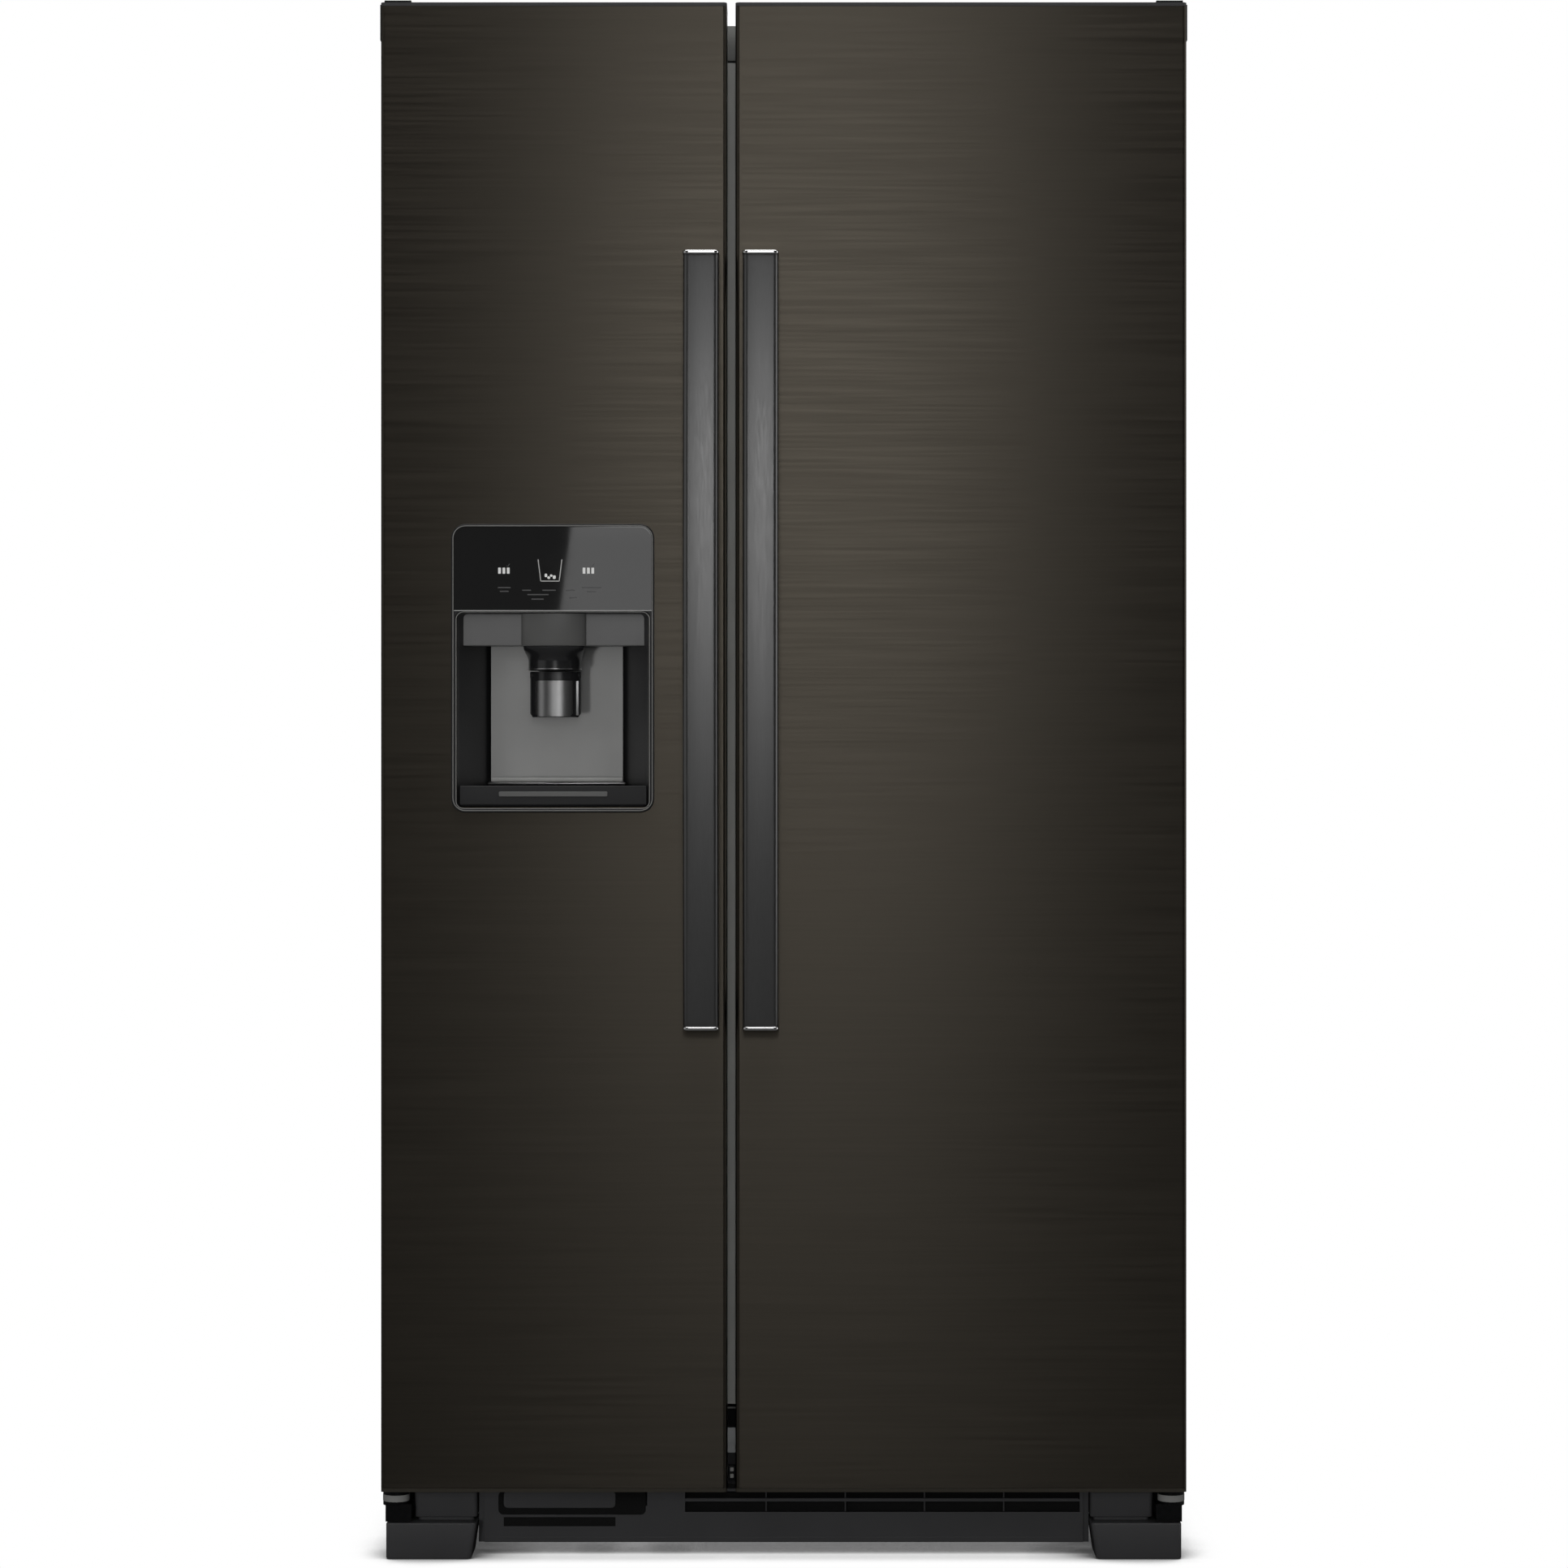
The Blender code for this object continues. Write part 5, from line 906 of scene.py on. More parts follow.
def make_panel():
    """Gloss panel with softened edges, and its printed signs."""
    panel = Room("control_panel")
    radius, edge = 0.0135, 0.5 * MM
    loops = []
    levels = [(0.0, panel.back)] + [(pull, panel.front + drop) for pull, drop in rolled(edge)]
    for pull, y in levels + [(2 * edge, panel.front)]:
        flat = outline(
            panel.left + pull, panel.right - pull, panel.low + pull, panel.high - pull, radius, 8
        )
        square = outline(
            panel.left + pull, panel.right - pull, panel.low + pull, panel.high - pull, 1 * MM, 8
        )
        upper = flat[:, 1] > panel.z
        loops.append(raised("Y", np.where(upper[:, None], flat, square), y))
    skin(
        "control_panel_face", loops, "gloss_acrylic", "freezer_door", smooth=50,
        node="control_panel",
    )
    proud = 0.12 * MM

    def sign(u, v, wide, tall, corner=0.4 * MM):
        low = (panel.x + u - wide / 2, panel.front - proud, panel.low + v - tall / 2)
        high = (panel.x + u + wide / 2, panel.front + proud, panel.low + v + tall / 2)
        return block(low, high, corner, 0.0, axis="Y", steps=3)

    # Three upright bars show each compartment's setting, with a small tick over the last.
    bars, ticks = [], []
    for u in (-0.0549, 0.0402):
        for k in (-1, 0, 1):
            bars.append(sign(u + k * 4.9 * MM, 45.5 * MM, 3.1 * MM, 6.8 * MM))
        ticks.append([(u + 3 * MM, 51.0 * MM), (u + 4.2 * MM, 50.2 * MM)])
        ticks.append([(u + 4.2 * MM, 50.2 * MM), (u + 6.6 * MM, 53.4 * MM)])

    def stroke(a, b, line):
        a, b = np.array(a), np.array(b)
        way = (b - a) / np.linalg.norm(b - a)
        side = np.array([-way[1], way[0]]) * line / 2
        flat = np.stack([a - side, b - side, b + side, a + side]) + (panel.x, panel.low)
        return [raised("Y", flat, y) for y in (panel.front - proud, panel.front + proud)]

    # A cup with cubes: three strokes for the cup and small rounded cubes in its foot.
    u, v, top, foot, tall = -3.0 * MM, 46.0 * MM, 13.4 * MM, 10.4 * MM, 12.2 * MM
    corners = [
        (u - top, v + tall), (u - foot, v - tall), (u + foot, v - tall), (u + top, v + tall)
    ]
    cup = [stroke(a, b, 1.1 * MM) for a, b in zip(corners, corners[1:])]
    for du, dv, wide, deep in (
        (-4.6, 6.4, 3, 4), (-1.4, 3.9, 3.2, 3), (1.4, 6.2, 3, 2.6), (4.8, 4.4, 3.4, 4)
    ):
        bars.append(sign(u + du * MM, v - tall + dv * MM, wide * MM, deep * MM, 1.2 * MM))
    for name, parts, ink in (("setting_signs", bars, "icon_ink"), ("cup_sign", cup, "line_ink")):
        joined("panel_" + name, parts, ink, "freezer_door")
    # Faint dashes stand in for the small captions.
    dashes = [stroke(a, b, 0.6 * MM) for a, b in ticks]
    for u, v, wide in (
        (-0.0545, 26.5, 14.5),
        (-0.0545, 22.3, 10),
        (-0.0293, 23.5, 10),
        (-0.0165, 18.6, 24),
        (-0.0170, 13.5, 14),
        (-0.0040, 23.5, 15),
        (0.0197, 23.5, 10.5),
        (0.0230, 15.0, 9),
        (0.0435, 26.5, 22),
        (0.0435, 22.0, 10.5),
    ):
        dashes.append(sign(u, v * MM, wide * MM, 1.3 * MM))
    joined("panel_caption_dashes", dashes, "faint_ink", "freezer_door")
    # Painted highlights: fine pale lines round the panel, along its foot and down the recess's
    # sides stand for the light their bevels catch.
    shell = Room("dispenser_housing")
    face = shell.front - 0.1 * MM

    def highlight_ring(edges, corner, wide, y):
        loops = []
        for pull, rise in ((0, 0.5 * MM), (0, 0), (wide, 0), (wide, 0.5 * MM)):
            flat = outline(
                *[e + d * pull for e, d in zip(edges, (1, -1, 1, -1))], corner - pull, 8
            )
            loops.append(raised("Y", flat, y + rise))
        return loops

    bezel = (
        shell.left + 1.7 * MM, shell.right - 1.7 * MM, shell.low + 1.7 * MM, shell.high - 1.7 * MM
    )
    skin(
        "bezel_edge_line", highlight_ring(bezel, 14.3 * MM, 0.8 * MM, face), "edge_line",
        "freezer_door", True,
    )
    inset = 5.0 * MM
    inner = (shell.left + inset, shell.right - inset, shell.low + 4 * MM, panel.low - 0.4 * MM)
    skin(
        "recess_edge_line", highlight_ring(inner, 9 * MM, 0.7 * MM, face + 2.2 * MM), "edge_line",
        "freezer_door", True,
    )
    # Painted highlight: a pale line along the panel's foot.
    low = (panel.left + 0.5 * MM, panel.front - 0.15 * MM, panel.low + 0.1 * MM)
    foot = block(
        low, (panel.right - 0.5 * MM, panel.front + 0.4 * MM, panel.low + 1.0 * MM), 0.3 * MM,
        0.1 * MM, "X", 2,
    )
    skin("panel_foot_line", foot, "line_ink", "freezer_door")


def make_chute():
    """The lintel with its round chute: a block and a barrel that narrows to a lipped spout."""
    chute = Room("ice_chute")
    tray = Room("drip_tray")
    door = Room("freezer_door_skin")
    x, y = chute.x, door.front + 0.043
    spout = chute.low
    lintel_low = spout + 0.0235
    panel = Room("control_panel")
    top = panel.low - 2 * MM
    front = door.front + 0.018
    half = (tray.wide + 13 * MM) / 2
    lintel = block(
        (x - half, front, lintel_low), (x + half, front + 0.030, top), 1.5 * MM, 1.2 * MM
    )
    narrow, wall = 0.0302, 0.003
    inside = narrow - wall
    skin("lintel_block", lintel, "lintel_side", "freezer_door", smooth=42)
    # In plan the barrel is an ellipse that bows out of the lintel. Below it each point slides
    # along a cosine to the round neck.
    turn = np.arange(96) * 2 * math.pi / 96
    bulge = np.where(np.sin(turn) < 0, 12.5 * MM, 30 * MM)
    oval = np.stack(
        [x + 36.8 * MM * np.cos(turn), door.front + 18.5 * MM + bulge * np.sin(turn)], 1
    )
    neck = ring(x, y, narrow, 96)
    core = ring(x, y, inside, 96)

    def pulled(by):
        return oval + (oval.mean(0) - oval) * by

    loops = [
        raised("Z", core, lintel_low + 0.5 * MM), raised("Z", pulled(0.03), lintel_low - 0.3 * MM)
    ]
    loops += [
        raised("Z", pulled(0.0), lintel_low + 0.8 * MM), raised("Z", oval, top),
        raised("Z", core, top),
    ]
    skin("chute_barrel", loops, "lintel_abs", "freezer_door", smooth=42, node="ice_chute")
    start = pulled(0.06)
    loops = [raised("Z", core, lintel_low - 0.6 * MM)]
    for e in np.linspace(0, 1, 13):
        draw = (1 - math.cos(math.pi * e)) / 2
        loops.append(
            raised("Z", start + (neck - start) * draw, lintel_low - 0.6 * MM - 17 * MM * e)
        )
    low = spout - 4 * MM
    loops += [raised("Z", neck, low), raised("Z", core, low)]
    skin("spout_shoulders", loops, "spout_abs", "freezer_door", smooth=42)
    edge = (narrow + 0.5 * MM, narrow - 1 * MM)
    section = [(edge[k], spout + z * MM) for k, z in ((0, -3.2), (0, -2.1), (1, -2.1), (1, -3.2))]
    skin("spout_lip", turned(section, (x, y), "Z", 96), "satin_plate", "freezer_door", closed=True)


def make_paddle():
    """A bowed plate, an arc of a circle in plan, over a dark carrier and its hinge bar."""
    paddle = Room("dispenser_paddle")
    axis = paddle.high - 4 * MM
    split = paddle.high - 10.5 * MM
    share = np.linspace(-1, 1, 33)

    def bowed(name, left, right, low, high, back, thick, corner, material, **more):
        """An arc from share left to share right with rounded corners at its foot."""
        arc = left + (right - left) * (share + 1) / 2
        loops = []
        levels = low + (high - low) * np.linspace(0, 1, 13)
        for z in levels:
            drop = max(corner - (z - low), 0.0) / corner
            pull = corner * (1 - math.sqrt(1 - drop**2)) / (paddle.wide / 2)
            reach = np.clip(arc, left + pull, right - pull)
            x = paddle.x + reach * paddle.wide / 2
            y = paddle.front + 0.0155 - 0.0145 * (1 - np.abs(reach) ** 2.8) + back
            front, rear = np.stack([x, y], 1), np.stack([x, y + thick], 1)[::-1]
            loops.append(raised("Z", np.concatenate([front, rear]), z))
        skin(name, loops, material, "dispenser_paddle", smooth=50, **more)

    bowed(
        "paddle_carrier", -1, 1, paddle.low, paddle.high - 0.6 * MM, 0.8 * MM, 3 * MM, 3 * MM,
        "spout_abs", node="dispenser_paddle",
    )
    bowed(
        "paddle_face", -0.78, 0.70, paddle.low + 0.9 * MM, split, 0.0, 1.2 * MM, 2.6 * MM,
        "satin_plate",
    )
    # A flat bright strip borders the face on the right.
    x0 = paddle.right - 5.2 * MM
    strip = slab(
        stretch(x0, 0, 3.4), stretch(paddle.front, 7, 10), (paddle.low + 2 * MM, split), 0.6 * MM,
        0.4 * MM,
    )
    skin("paddle_edge_strip", strip, "satin_plate", "dispenser_paddle")
    bar = mirrored(profile(paddle.left, (3.4, 0), (3.9, 0.8)), paddle.x)
    skin(
        "paddle_hinge_bar", turned(bar, (paddle.front + 0.016, axis), "X", 24), "dark_abs",
        "dispenser_paddle",
    )


def make_tray():
    """Drip tray: a tapered dish with a rounded rim, a grid of bars and a pale pull strip."""
    tray = Room("drip_tray")
    narrow = 0.020
    y0, y1 = tray.front, tray.back

    def edges(pull, z):
        flat = [
            (tray.left + pull, y0 + pull),
            (tray.right - pull, y0 + pull),
            (tray.right - narrow - pull, y1 - pull),
            (tray.left + narrow + pull, y1 - pull),
        ]
        return raised("Z", np.array(flat), z)

    rim, deep = 4.5 * MM, 14 * MM
    loops = [
        edges(2 * MM, tray.low),
        edges(0.0, tray.low + 2 * MM),
        edges(0.0, tray.high - 1.2 * MM),
        edges(0.4 * MM, tray.high - 0.4 * MM),
        edges(1.2 * MM, tray.high),
        edges(rim - 0.5 * MM, tray.high),
        edges(rim, tray.high - 0.8 * MM),
        edges(rim + 1 * MM, tray.high - deep),
    ]
    skin("drip_tray_dish", loops, "dark_abs", "drip_tray", node="drip_tray")
    bars = []
    count = 17
    for k in range(count):
        share = (k + 0.5) / count
        y = y0 + rim + (y1 - y0 - 2 * rim) * share
        reach = (tray.wide / 2 - rim - 1 * MM) - narrow * (y - y0) / (y1 - y0)
        low = (tray.x - reach, y - 0.8 * MM, tray.high - 3.4 * MM)
        bars.append(
            block(
                low, (tray.x + reach, y + 0.8 * MM, tray.high - 1.2 * MM), 0.3 * MM, 0.3 * MM,
                steps=2,
            )
        )
    for u in (-0.06, 0.0, 0.06):
        low = (tray.x + u - 1 * MM, y0 + rim - 1 * MM, tray.high - 4.4 * MM)
        bars.append(
            block(
                low, (tray.x + u + 1 * MM, y1 - rim + 1 * MM, tray.high - 2.2 * MM), 0.3 * MM,
                0.3 * MM, steps=2,
            )
        )
    joined("drip_tray_grid", bars, "black_abs", "drip_tray")
    low = (tray.x - 0.0613, y0 - 0.5 * MM, tray.low + 10.8 * MM)
    high = (tray.x + 0.0613, y0 + 1.5 * MM, tray.low + 16.4 * MM)
    skin("drip_tray_pull", block(low, high, 1.4 * MM, 0.4 * MM, "Y"), "lintel_abs", "drip_tray")


# Inside of the doors


class Chamber:
    """A compartment's inner faces, worked out from its liner, shelf and drawer."""

    def __init__(self, unit):
        liner = Room(unit + "_liner")
        shelf = Room("freezer_shelf" if unit == "freezer" else "crisper_cover")
        drawer = Room("freezer_basket" if unit == "freezer" else "crisper_drawer")
        margin, play = 16.2 * MM, 3 * MM
        self.flange = liner.face
        self.left, self.right = shelf.left - play, shelf.right + play
        self.floor, self.ceiling = liner.low + margin, liner.high - margin
        self.front = liner.front
        self.rear = shelf.back + play
        self.hump_front = drawer.back + 2 * MM
        self.hump_back = self.hump_front + 80 * MM
        self.hump_top = self.floor + 150 * MM
        self.x = (self.left + self.right) / 2


def edges_in(edges, by):
    """Left, right, low and high edges moved inwards."""
    return (edges[0] + by, edges[1] - by, edges[2] + by, edges[3] - by)


def make_door_liner(unit):
    """A formed panel: its raised ring is a rounded ridge carried round the door."""
    node = unit + "_door_liner"
    panel = Room(node)
    room = Chamber(unit)
    back = Room(unit + "_door_gasket").front - 0.3 * MM
    outer = edges_in((room.left, room.right, room.floor, room.ceiling), 13 * MM)
    width, tall, soft = 20 * MM, 45 * MM, 5 * MM
    ridge = [(-pull, drop) for pull, drop in rolled(soft)]
    ridge += [(pull, tall - drop) for pull, drop in rolled(soft)]
    down = [(width - u, v) for u, v in ridge[::-1]]
    rings = []
    for inset, rise in ridge + down:
        corner = 16 * MM - inset * 0.5
        flat = outline(*edges_in(outer, inset), corner, 6)
        rings.append(raised("Y", flat, back + rise))
    sheet = [raised("Y", outline(*panel.face, 2 * MM, 6), y) for y in (back - 1.6 * MM, back)]
    loops = [*sheet, *rings]
    if unit == "freezer":
        loops = [*bulge_inside(panel, back), *loops, *bulge_outside(panel, back)]
        make_ice_port(panel)
    skin(node + "_form", loops, "liner_hips", unit + "_door", smooth=45, node=node)
    # Cross ribs stiffen the panel between the bins.
    ribs = []
    inner = edges_in(outer, width)
    for z in np.linspace(inner[2] + 60 * MM, inner[3] - 60 * MM, 9):
        if unit == "freezer" and Room("dispenser_housing").low - 0.08 < z < 1.30:
            continue
        low = (inner[0] + 12 * MM, back - 1 * MM, z - 3 * MM)
        ribs.append(
            block(low, (inner[1] - 12 * MM, back + 1.6 * MM, z + 3 * MM), 1.4 * MM, 1.2 * MM, "X")
        )
    joined(node + "_ribs", ribs, "liner_hips", unit + "_door")


def bulge_edges():
    """Edges of the liner's bulge round the dispenser."""
    shell = Room("dispenser_housing")
    side = 11.6 * MM
    return (shell.left + side, shell.right - side, shell.low - 45 * MM, shell.high + 100 * MM)


def bulge_inside(panel, back):
    """The bulge's inner face, from its end to the sheet's front."""
    edges = edges_in(bulge_edges(), 1.8 * MM)
    ends = (panel.back - 1.8 * MM, back - 1.6 * MM)
    return [raised("Y", outline(*edges, 12 * MM, 6), y) for y in ends]


def bulge_outside(panel, back):
    """The bulge's outer face: straight sides with a soft foot and a rounded end."""
    edges = bulge_edges()
    loops = [raised("Y", outline(*edges_in(edges, -3 * MM), 17 * MM, 6), back)]
    loops.append(raised("Y", outline(*edges, 14 * MM, 6), back + 3 * MM))
    for pull, drop in rolled(8 * MM, 6):
        flat = outline(*edges_in(edges, pull), 14 * MM - pull * 0.5, 6)
        loops.append(raised("Y", flat, panel.back - drop))
    return loops


def make_ice_port(panel):
    """A soft frame and a dark flap in the bulge's end, where the ice comes in."""
    shell, chute = Room("dispenser_housing"), Room("ice_chute")
    port = chute.high - 36 * MM
    low = (shell.x - 33 * MM, panel.back - 3 * MM, port - 33 * MM)
    high = (shell.x + 33 * MM, panel.back + 2.4 * MM, port + 33 * MM)
    frame_ring = [
        raised(
            "Y", outline(low[0] + p, high[0] - p, low[2] + p, high[2] - p, 9 * MM - p / 2, 6), y
        )
        for p, y in (
            (0, low[1]), (0, high[1] - 1 * MM), (1 * MM, high[1]), (7 * MM, high[1]),
            (8 * MM, low[1]),
        )
    ]
    skin("ice_port_seal", frame_ring, "gasket_pvc", "freezer_door", closed=True)
    low = (low[0] + 7 * MM, panel.back - 4 * MM, low[2] + 7 * MM)
    flap = block(
        low, (high[0] - 7 * MM, panel.back + 0.6 * MM, high[2] - 7 * MM), 3 * MM, 0.8 * MM, "Y"
    )
    skin("ice_port_flap", flap, "lintel_abs", "freezer_door")


def make_gasket(unit):
    """A hollow-looking seal: its section has two soft lips, carried round the door."""
    node = unit + "_door_gasket"
    seal = Room(node)
    edges = seal.face
    wide = 12 * MM
    section = [(0.6, 0.0), (0.0, 0.25), (0.25, 0.42), (0.1, 0.6), (0.2, 0.9), (1.2, 1.0)]
    section += [(wide / MM - u, v) for u, v in section[::-1]]
    loops = [
        raised(
            "Y", outline(*edges_in(edges, u * MM), 7 * MM - u * 0.4 * MM, 5),
            seal.front + v * seal.deep,
        )
        for u, v in section
    ]
    skin(node + "_lips", loops, "gasket_pvc", unit + "_door", closed=True, smooth=60, node=node)


def tray_loops(plan, low, high, wall, corner, foot, lip, ribs=()):
    """A tray from under its floor up the outside, over a rolled rim and down the inside.
    Its outside draws in towards the foot and swells at each rib."""
    levels = [(foot + pull, low + rise) for pull, rise in rolled(4 * MM, 4, turns_in=True)]
    for share in ribs:
        z = low + (high - low) * share
        draw = foot * (1 - share)
        levels += [
            (draw, z - 3 * MM), (draw - 1.0 * MM, z - 1.2 * MM), (draw - 1.0 * MM, z + 1.2 * MM),
            (draw, z + 3 * MM),
        ]
    levels += [
        (0.04 * foot + lip, high - 6 * MM), (0.0, high - 5 * MM), (0.0, high - 0.8 * MM),
        (0.8 * MM, high),
    ]
    inside = wall + lip
    levels += [(inside, high), (inside + 0.6 * MM, high - 0.8 * MM), (foot + wall, low + 7 * MM)]
    levels += [(foot + wall + 3 * MM, low + wall + 0.4 * MM), (foot + wall + 6 * MM, low + wall)]
    loops = []
    for pull, z in levels:
        edges = edges_in(plan, max(pull, 0.0))
        loops.append(raised("Z", outline(*edges, max(corner - pull * 0.5, 2 * MM), 6), z))
    return loops


def make_door_bin(node, body):
    """A clear bin with a rolled rim, two ribs and a white front band."""
    room = Room(node)
    loops = tray_loops(*room.tray, 2.2 * MM, 14 * MM, 4 * MM, 1.2 * MM, (0.35, 0.55))
    skin(node + "_tray", loops, "clear_styrene", body, smooth=45, node=node)
    low = (room.left + 14 * MM, room.back - 1.6 * MM, room.high - 22 * MM)
    band = block(
        low, (room.right - 14 * MM, room.back + 0.5 * MM, room.high - 7 * MM), 2 * MM, 0.8 * MM,
        "Y",
    )
    skin(node + "_band", band, "white_abs", body)


def make_dairy():
    """The dairy shelf as a shallow tray, and its cover as a curved clear shell with end walls."""
    room = Room("dairy_shelf")
    loops = tray_loops(*room.tray, 2 * MM, 8 * MM, 1.5 * MM, 0.8 * MM)
    skin("dairy_shelf_tray", loops, "clear_styrene", "fridge_door", smooth=45, node="dairy_shelf")
    cover = Room("dairy_cover")
    count, wall = 19, 2.2 * MM
    turn = np.linspace(0, math.pi / 2, count)
    clear = 3 * MM
    reach, rise = cover.deep - clear, cover.tall
    axis_y = cover.front + clear
    power = 0.72
    arc_y, arc_z = np.sin(turn) ** power, np.cos(turn) ** power
    y = axis_y + reach * arc_y
    z = cover.low + rise * arc_z
    inner_y = axis_y + (reach - wall) * arc_y
    inner_z = cover.low + (rise - wall) * arc_z
    flat = np.concatenate([np.stack([y, z], 1), np.stack([inner_y, inner_z], 1)[::-1]])
    loops = [raised("X", flat, x) for x in (cover.left + 1 * MM, cover.right - 1 * MM)]
    skin("dairy_cover_shell", loops, "clear_styrene", "dairy_cover", smooth=45, node="dairy_cover")
    low = (cover.x - 60 * MM, cover.back - 2.5 * MM, cover.low - 0.5 * MM)
    lift = block(
        low, (cover.x + 60 * MM, cover.back + 5 * MM, cover.low + 5 * MM), 2 * MM, 1.5 * MM, "X"
    )
    skin("dairy_cover_lift", lift, "white_abs", "dairy_cover")


# Compartments


def make_liner(unit, sizes):
    """A formed box: rounded outlines carried from behind the flange, over it, and down the
    inside past the step over the machine space to the rear wall."""
    node = unit + "_liner"
    room = Chamber(unit)
    radius, steps = sizes.corner, 8
    wall = 1.8 * MM
    tall = (room.left, room.right, room.floor, room.ceiling)
    short = (room.left, room.right, room.hump_top, room.ceiling)
    sharp = 1 * MM

    def at(edges, corner, y):
        return raised("Y", outline(*edges, corner, steps), y)

    loops = [
        at(edges_in(short, -wall), radius, room.rear + wall),
        at(edges_in(short, -wall), radius, room.hump_back),
        at(edges_in(tall, -wall), radius, room.hump_front),
        at(edges_in(tall, -wall), radius, room.front + wall),
        at(room.flange, sharp, room.front + wall),
        at(room.flange, sharp, room.front),
    ]
    for pull, rise in rolled(4 * MM, turns_in=True):
        loops.append(at(edges_in(tall, -pull), radius + pull, room.front + rise))
    for share in np.linspace(0, 1, 9):
        ease = share * share * (3 - 2 * share)
        low = room.floor + (room.hump_top - room.floor) * ease
        y = room.hump_front + (room.hump_back - room.hump_front) * share
        loops.append(at((room.left, room.right, low, room.ceiling), radius, y))
    for pull, drop in rolled(12 * MM, 6):
        loops.append(at(edges_in(short, pull), radius - pull * 0.5, room.rear - drop))
    skin(node + "_form", loops, "liner_hips", "cabinet", smooth=40, node=node)


def make_supports(unit, sizes):
    """Ribs on both side walls that carry the shelves: soft-edged bars at even heights."""
    room = Chamber(unit)
    first = room.hump_top + 90 * MM
    count = int((room.ceiling - 90 * MM - first) / (2 * sizes.rib)) + 1
    bars = []
    for z in first + np.arange(count) * 2 * sizes.rib:
        for x, way in ((room.left, 1), (room.right, -1)):
            ends = sorted((x - way * 1 * MM, x + way * 2.4 * MM))
            low = (ends[0], room.front + 110 * MM, z - 5 * MM)
            bars.append(
                block(low, (ends[1], room.rear - 20 * MM, z + 5 * MM), 1.2 * MM, 1 * MM, "Y")
            )
    joined(unit + "_shelf_supports", bars, "liner_hips", "cabinet")


def make_air_covers():
    """Freezer evaporator cover with louvres, fridge air duct with dark pads as painted shade for
    its ports, and the inside lights.
    """
    room = Chamber("freezer")
    low = (room.left + 14 * MM, room.rear - 3 * MM, room.hump_top + 30 * MM)
    high = (room.right - 14 * MM, room.rear - 0.3 * MM, room.ceiling - 120 * MM)
    parts = [block(low, high, 8 * MM, 1.2 * MM, "Y")]
    for z in np.arange(low[2] + 60 * MM, high[2] - 60 * MM, 14 * MM)[:10]:
        louvre = (low[0] + 40 * MM, low[1] - 2 * MM, z)
        parts.append(
            block(louvre, (high[0] - 40 * MM, low[1] + 1 * MM, z + 6 * MM), 1.5 * MM, 1 * MM, "X")
        )
    joined("evaporator_cover", parts, "white_abs", "cabinet")
    room = Chamber("fridge")
    low = (room.x - 70 * MM, room.rear - 2.8 * MM, room.hump_top + 20 * MM)
    high = (room.x + 70 * MM, room.rear - 0.2 * MM, room.ceiling - 30 * MM)
    skin("fridge_air_duct", block(low, high, 12 * MM, 1.4 * MM, "Y"), "white_abs", "cabinet")
    # Painted shade: dark pads on the duct stand for its open ports.
    ports = []
    for z in np.linspace(low[2] + 120 * MM, high[2] - 60 * MM, 4):
        for x in (room.x - 35 * MM, room.x + 35 * MM):
            for k in range(4):
                port = (x - 18 * MM, low[1] - 0.5 * MM, z + k * 7 * MM)
                ports.append(
                    block(
                        port, (x + 18 * MM, low[1] + 1 * MM, z + k * 7 * MM + 3 * MM), 1.4 * MM,
                        0.3 * MM, "Y", 3,
                    )
                )
    joined("fridge_air_ports", ports, "dark_abs", "cabinet")
    for unit in DOORS:
        room = Chamber(unit)
        low = (room.x - 55 * MM, room.front + 60 * MM, room.ceiling - 9 * MM)
        high = (room.x + 55 * MM, room.front + 104 * MM, room.ceiling + 1 * MM)
        skin(unit + "_light_lens", block(low, high, 8 * MM, 4 * MM, "Z"), "light_lens", "cabinet")


def make_shelf(node):
    """A pane in a moulded frame: the frame's rounded section is carried round the pane."""
    room = Room(node)
    wide = 12 * MM
    low, high = room.low, room.high
    section = [
        (1.2 * MM, low),
        (0.0, low + 1.2 * MM),
        (0.0, high - 1.6 * MM),
        (0.5 * MM, high - 0.5 * MM),
        (1.6 * MM, high),
        (wide - 1.5 * MM, high),
        (wide, high - 1.2 * MM),
        (wide, low + 1 * MM),
        (wide - 1 * MM, low),
    ]
    loops = [raised("Z", outline(*edges_in(room.plan, u), 5 * MM, 5), z) for u, z in section]
    skin(node + "_frame", loops, "white_abs", "cabinet", closed=True, node=node)
    pane_low = (room.left + wide - 3 * MM, room.front + wide - 3 * MM, high - 6.5 * MM)
    pane_high = (room.right - wide + 3 * MM, room.back - wide + 3 * MM, high - 3 * MM)
    skin(node + "_pane", block(pane_low, pane_high, 3 * MM, 0.5 * MM), "shelf_glass", "cabinet")
    bar = slab(
        (room.left + 4 * MM, room.right - 4 * MM), stretch(room.front, -1.5, 2),
        (low + 1 * MM, high - 2 * MM), 1.5 * MM, 1.2 * MM, "X",
    )
    skin(node + "_front_trim", bar, "silver_paint", "cabinet")


def make_drawer(node):
    """A ribbed clear drawer with a thick front lip to pull."""
    room = Room(node)
    loops = tray_loops(*room.tray, 2.5 * MM, 12 * MM, 5 * MM, 1.5 * MM, (0.3, 0.45, 0.6))
    skin(node + "_tray", loops, "clear_styrene", node, smooth=45, node=node)
    low = (room.left + 2 * MM, room.front - 0.3 * MM, room.high - 26 * MM)
    pull = block(
        low, (room.right - 2 * MM, room.front + 5.5 * MM, room.high - 1 * MM), 2.5 * MM, 2 * MM,
        "X",
    )
    skin(node + "_pull", pull, "white_abs", node)


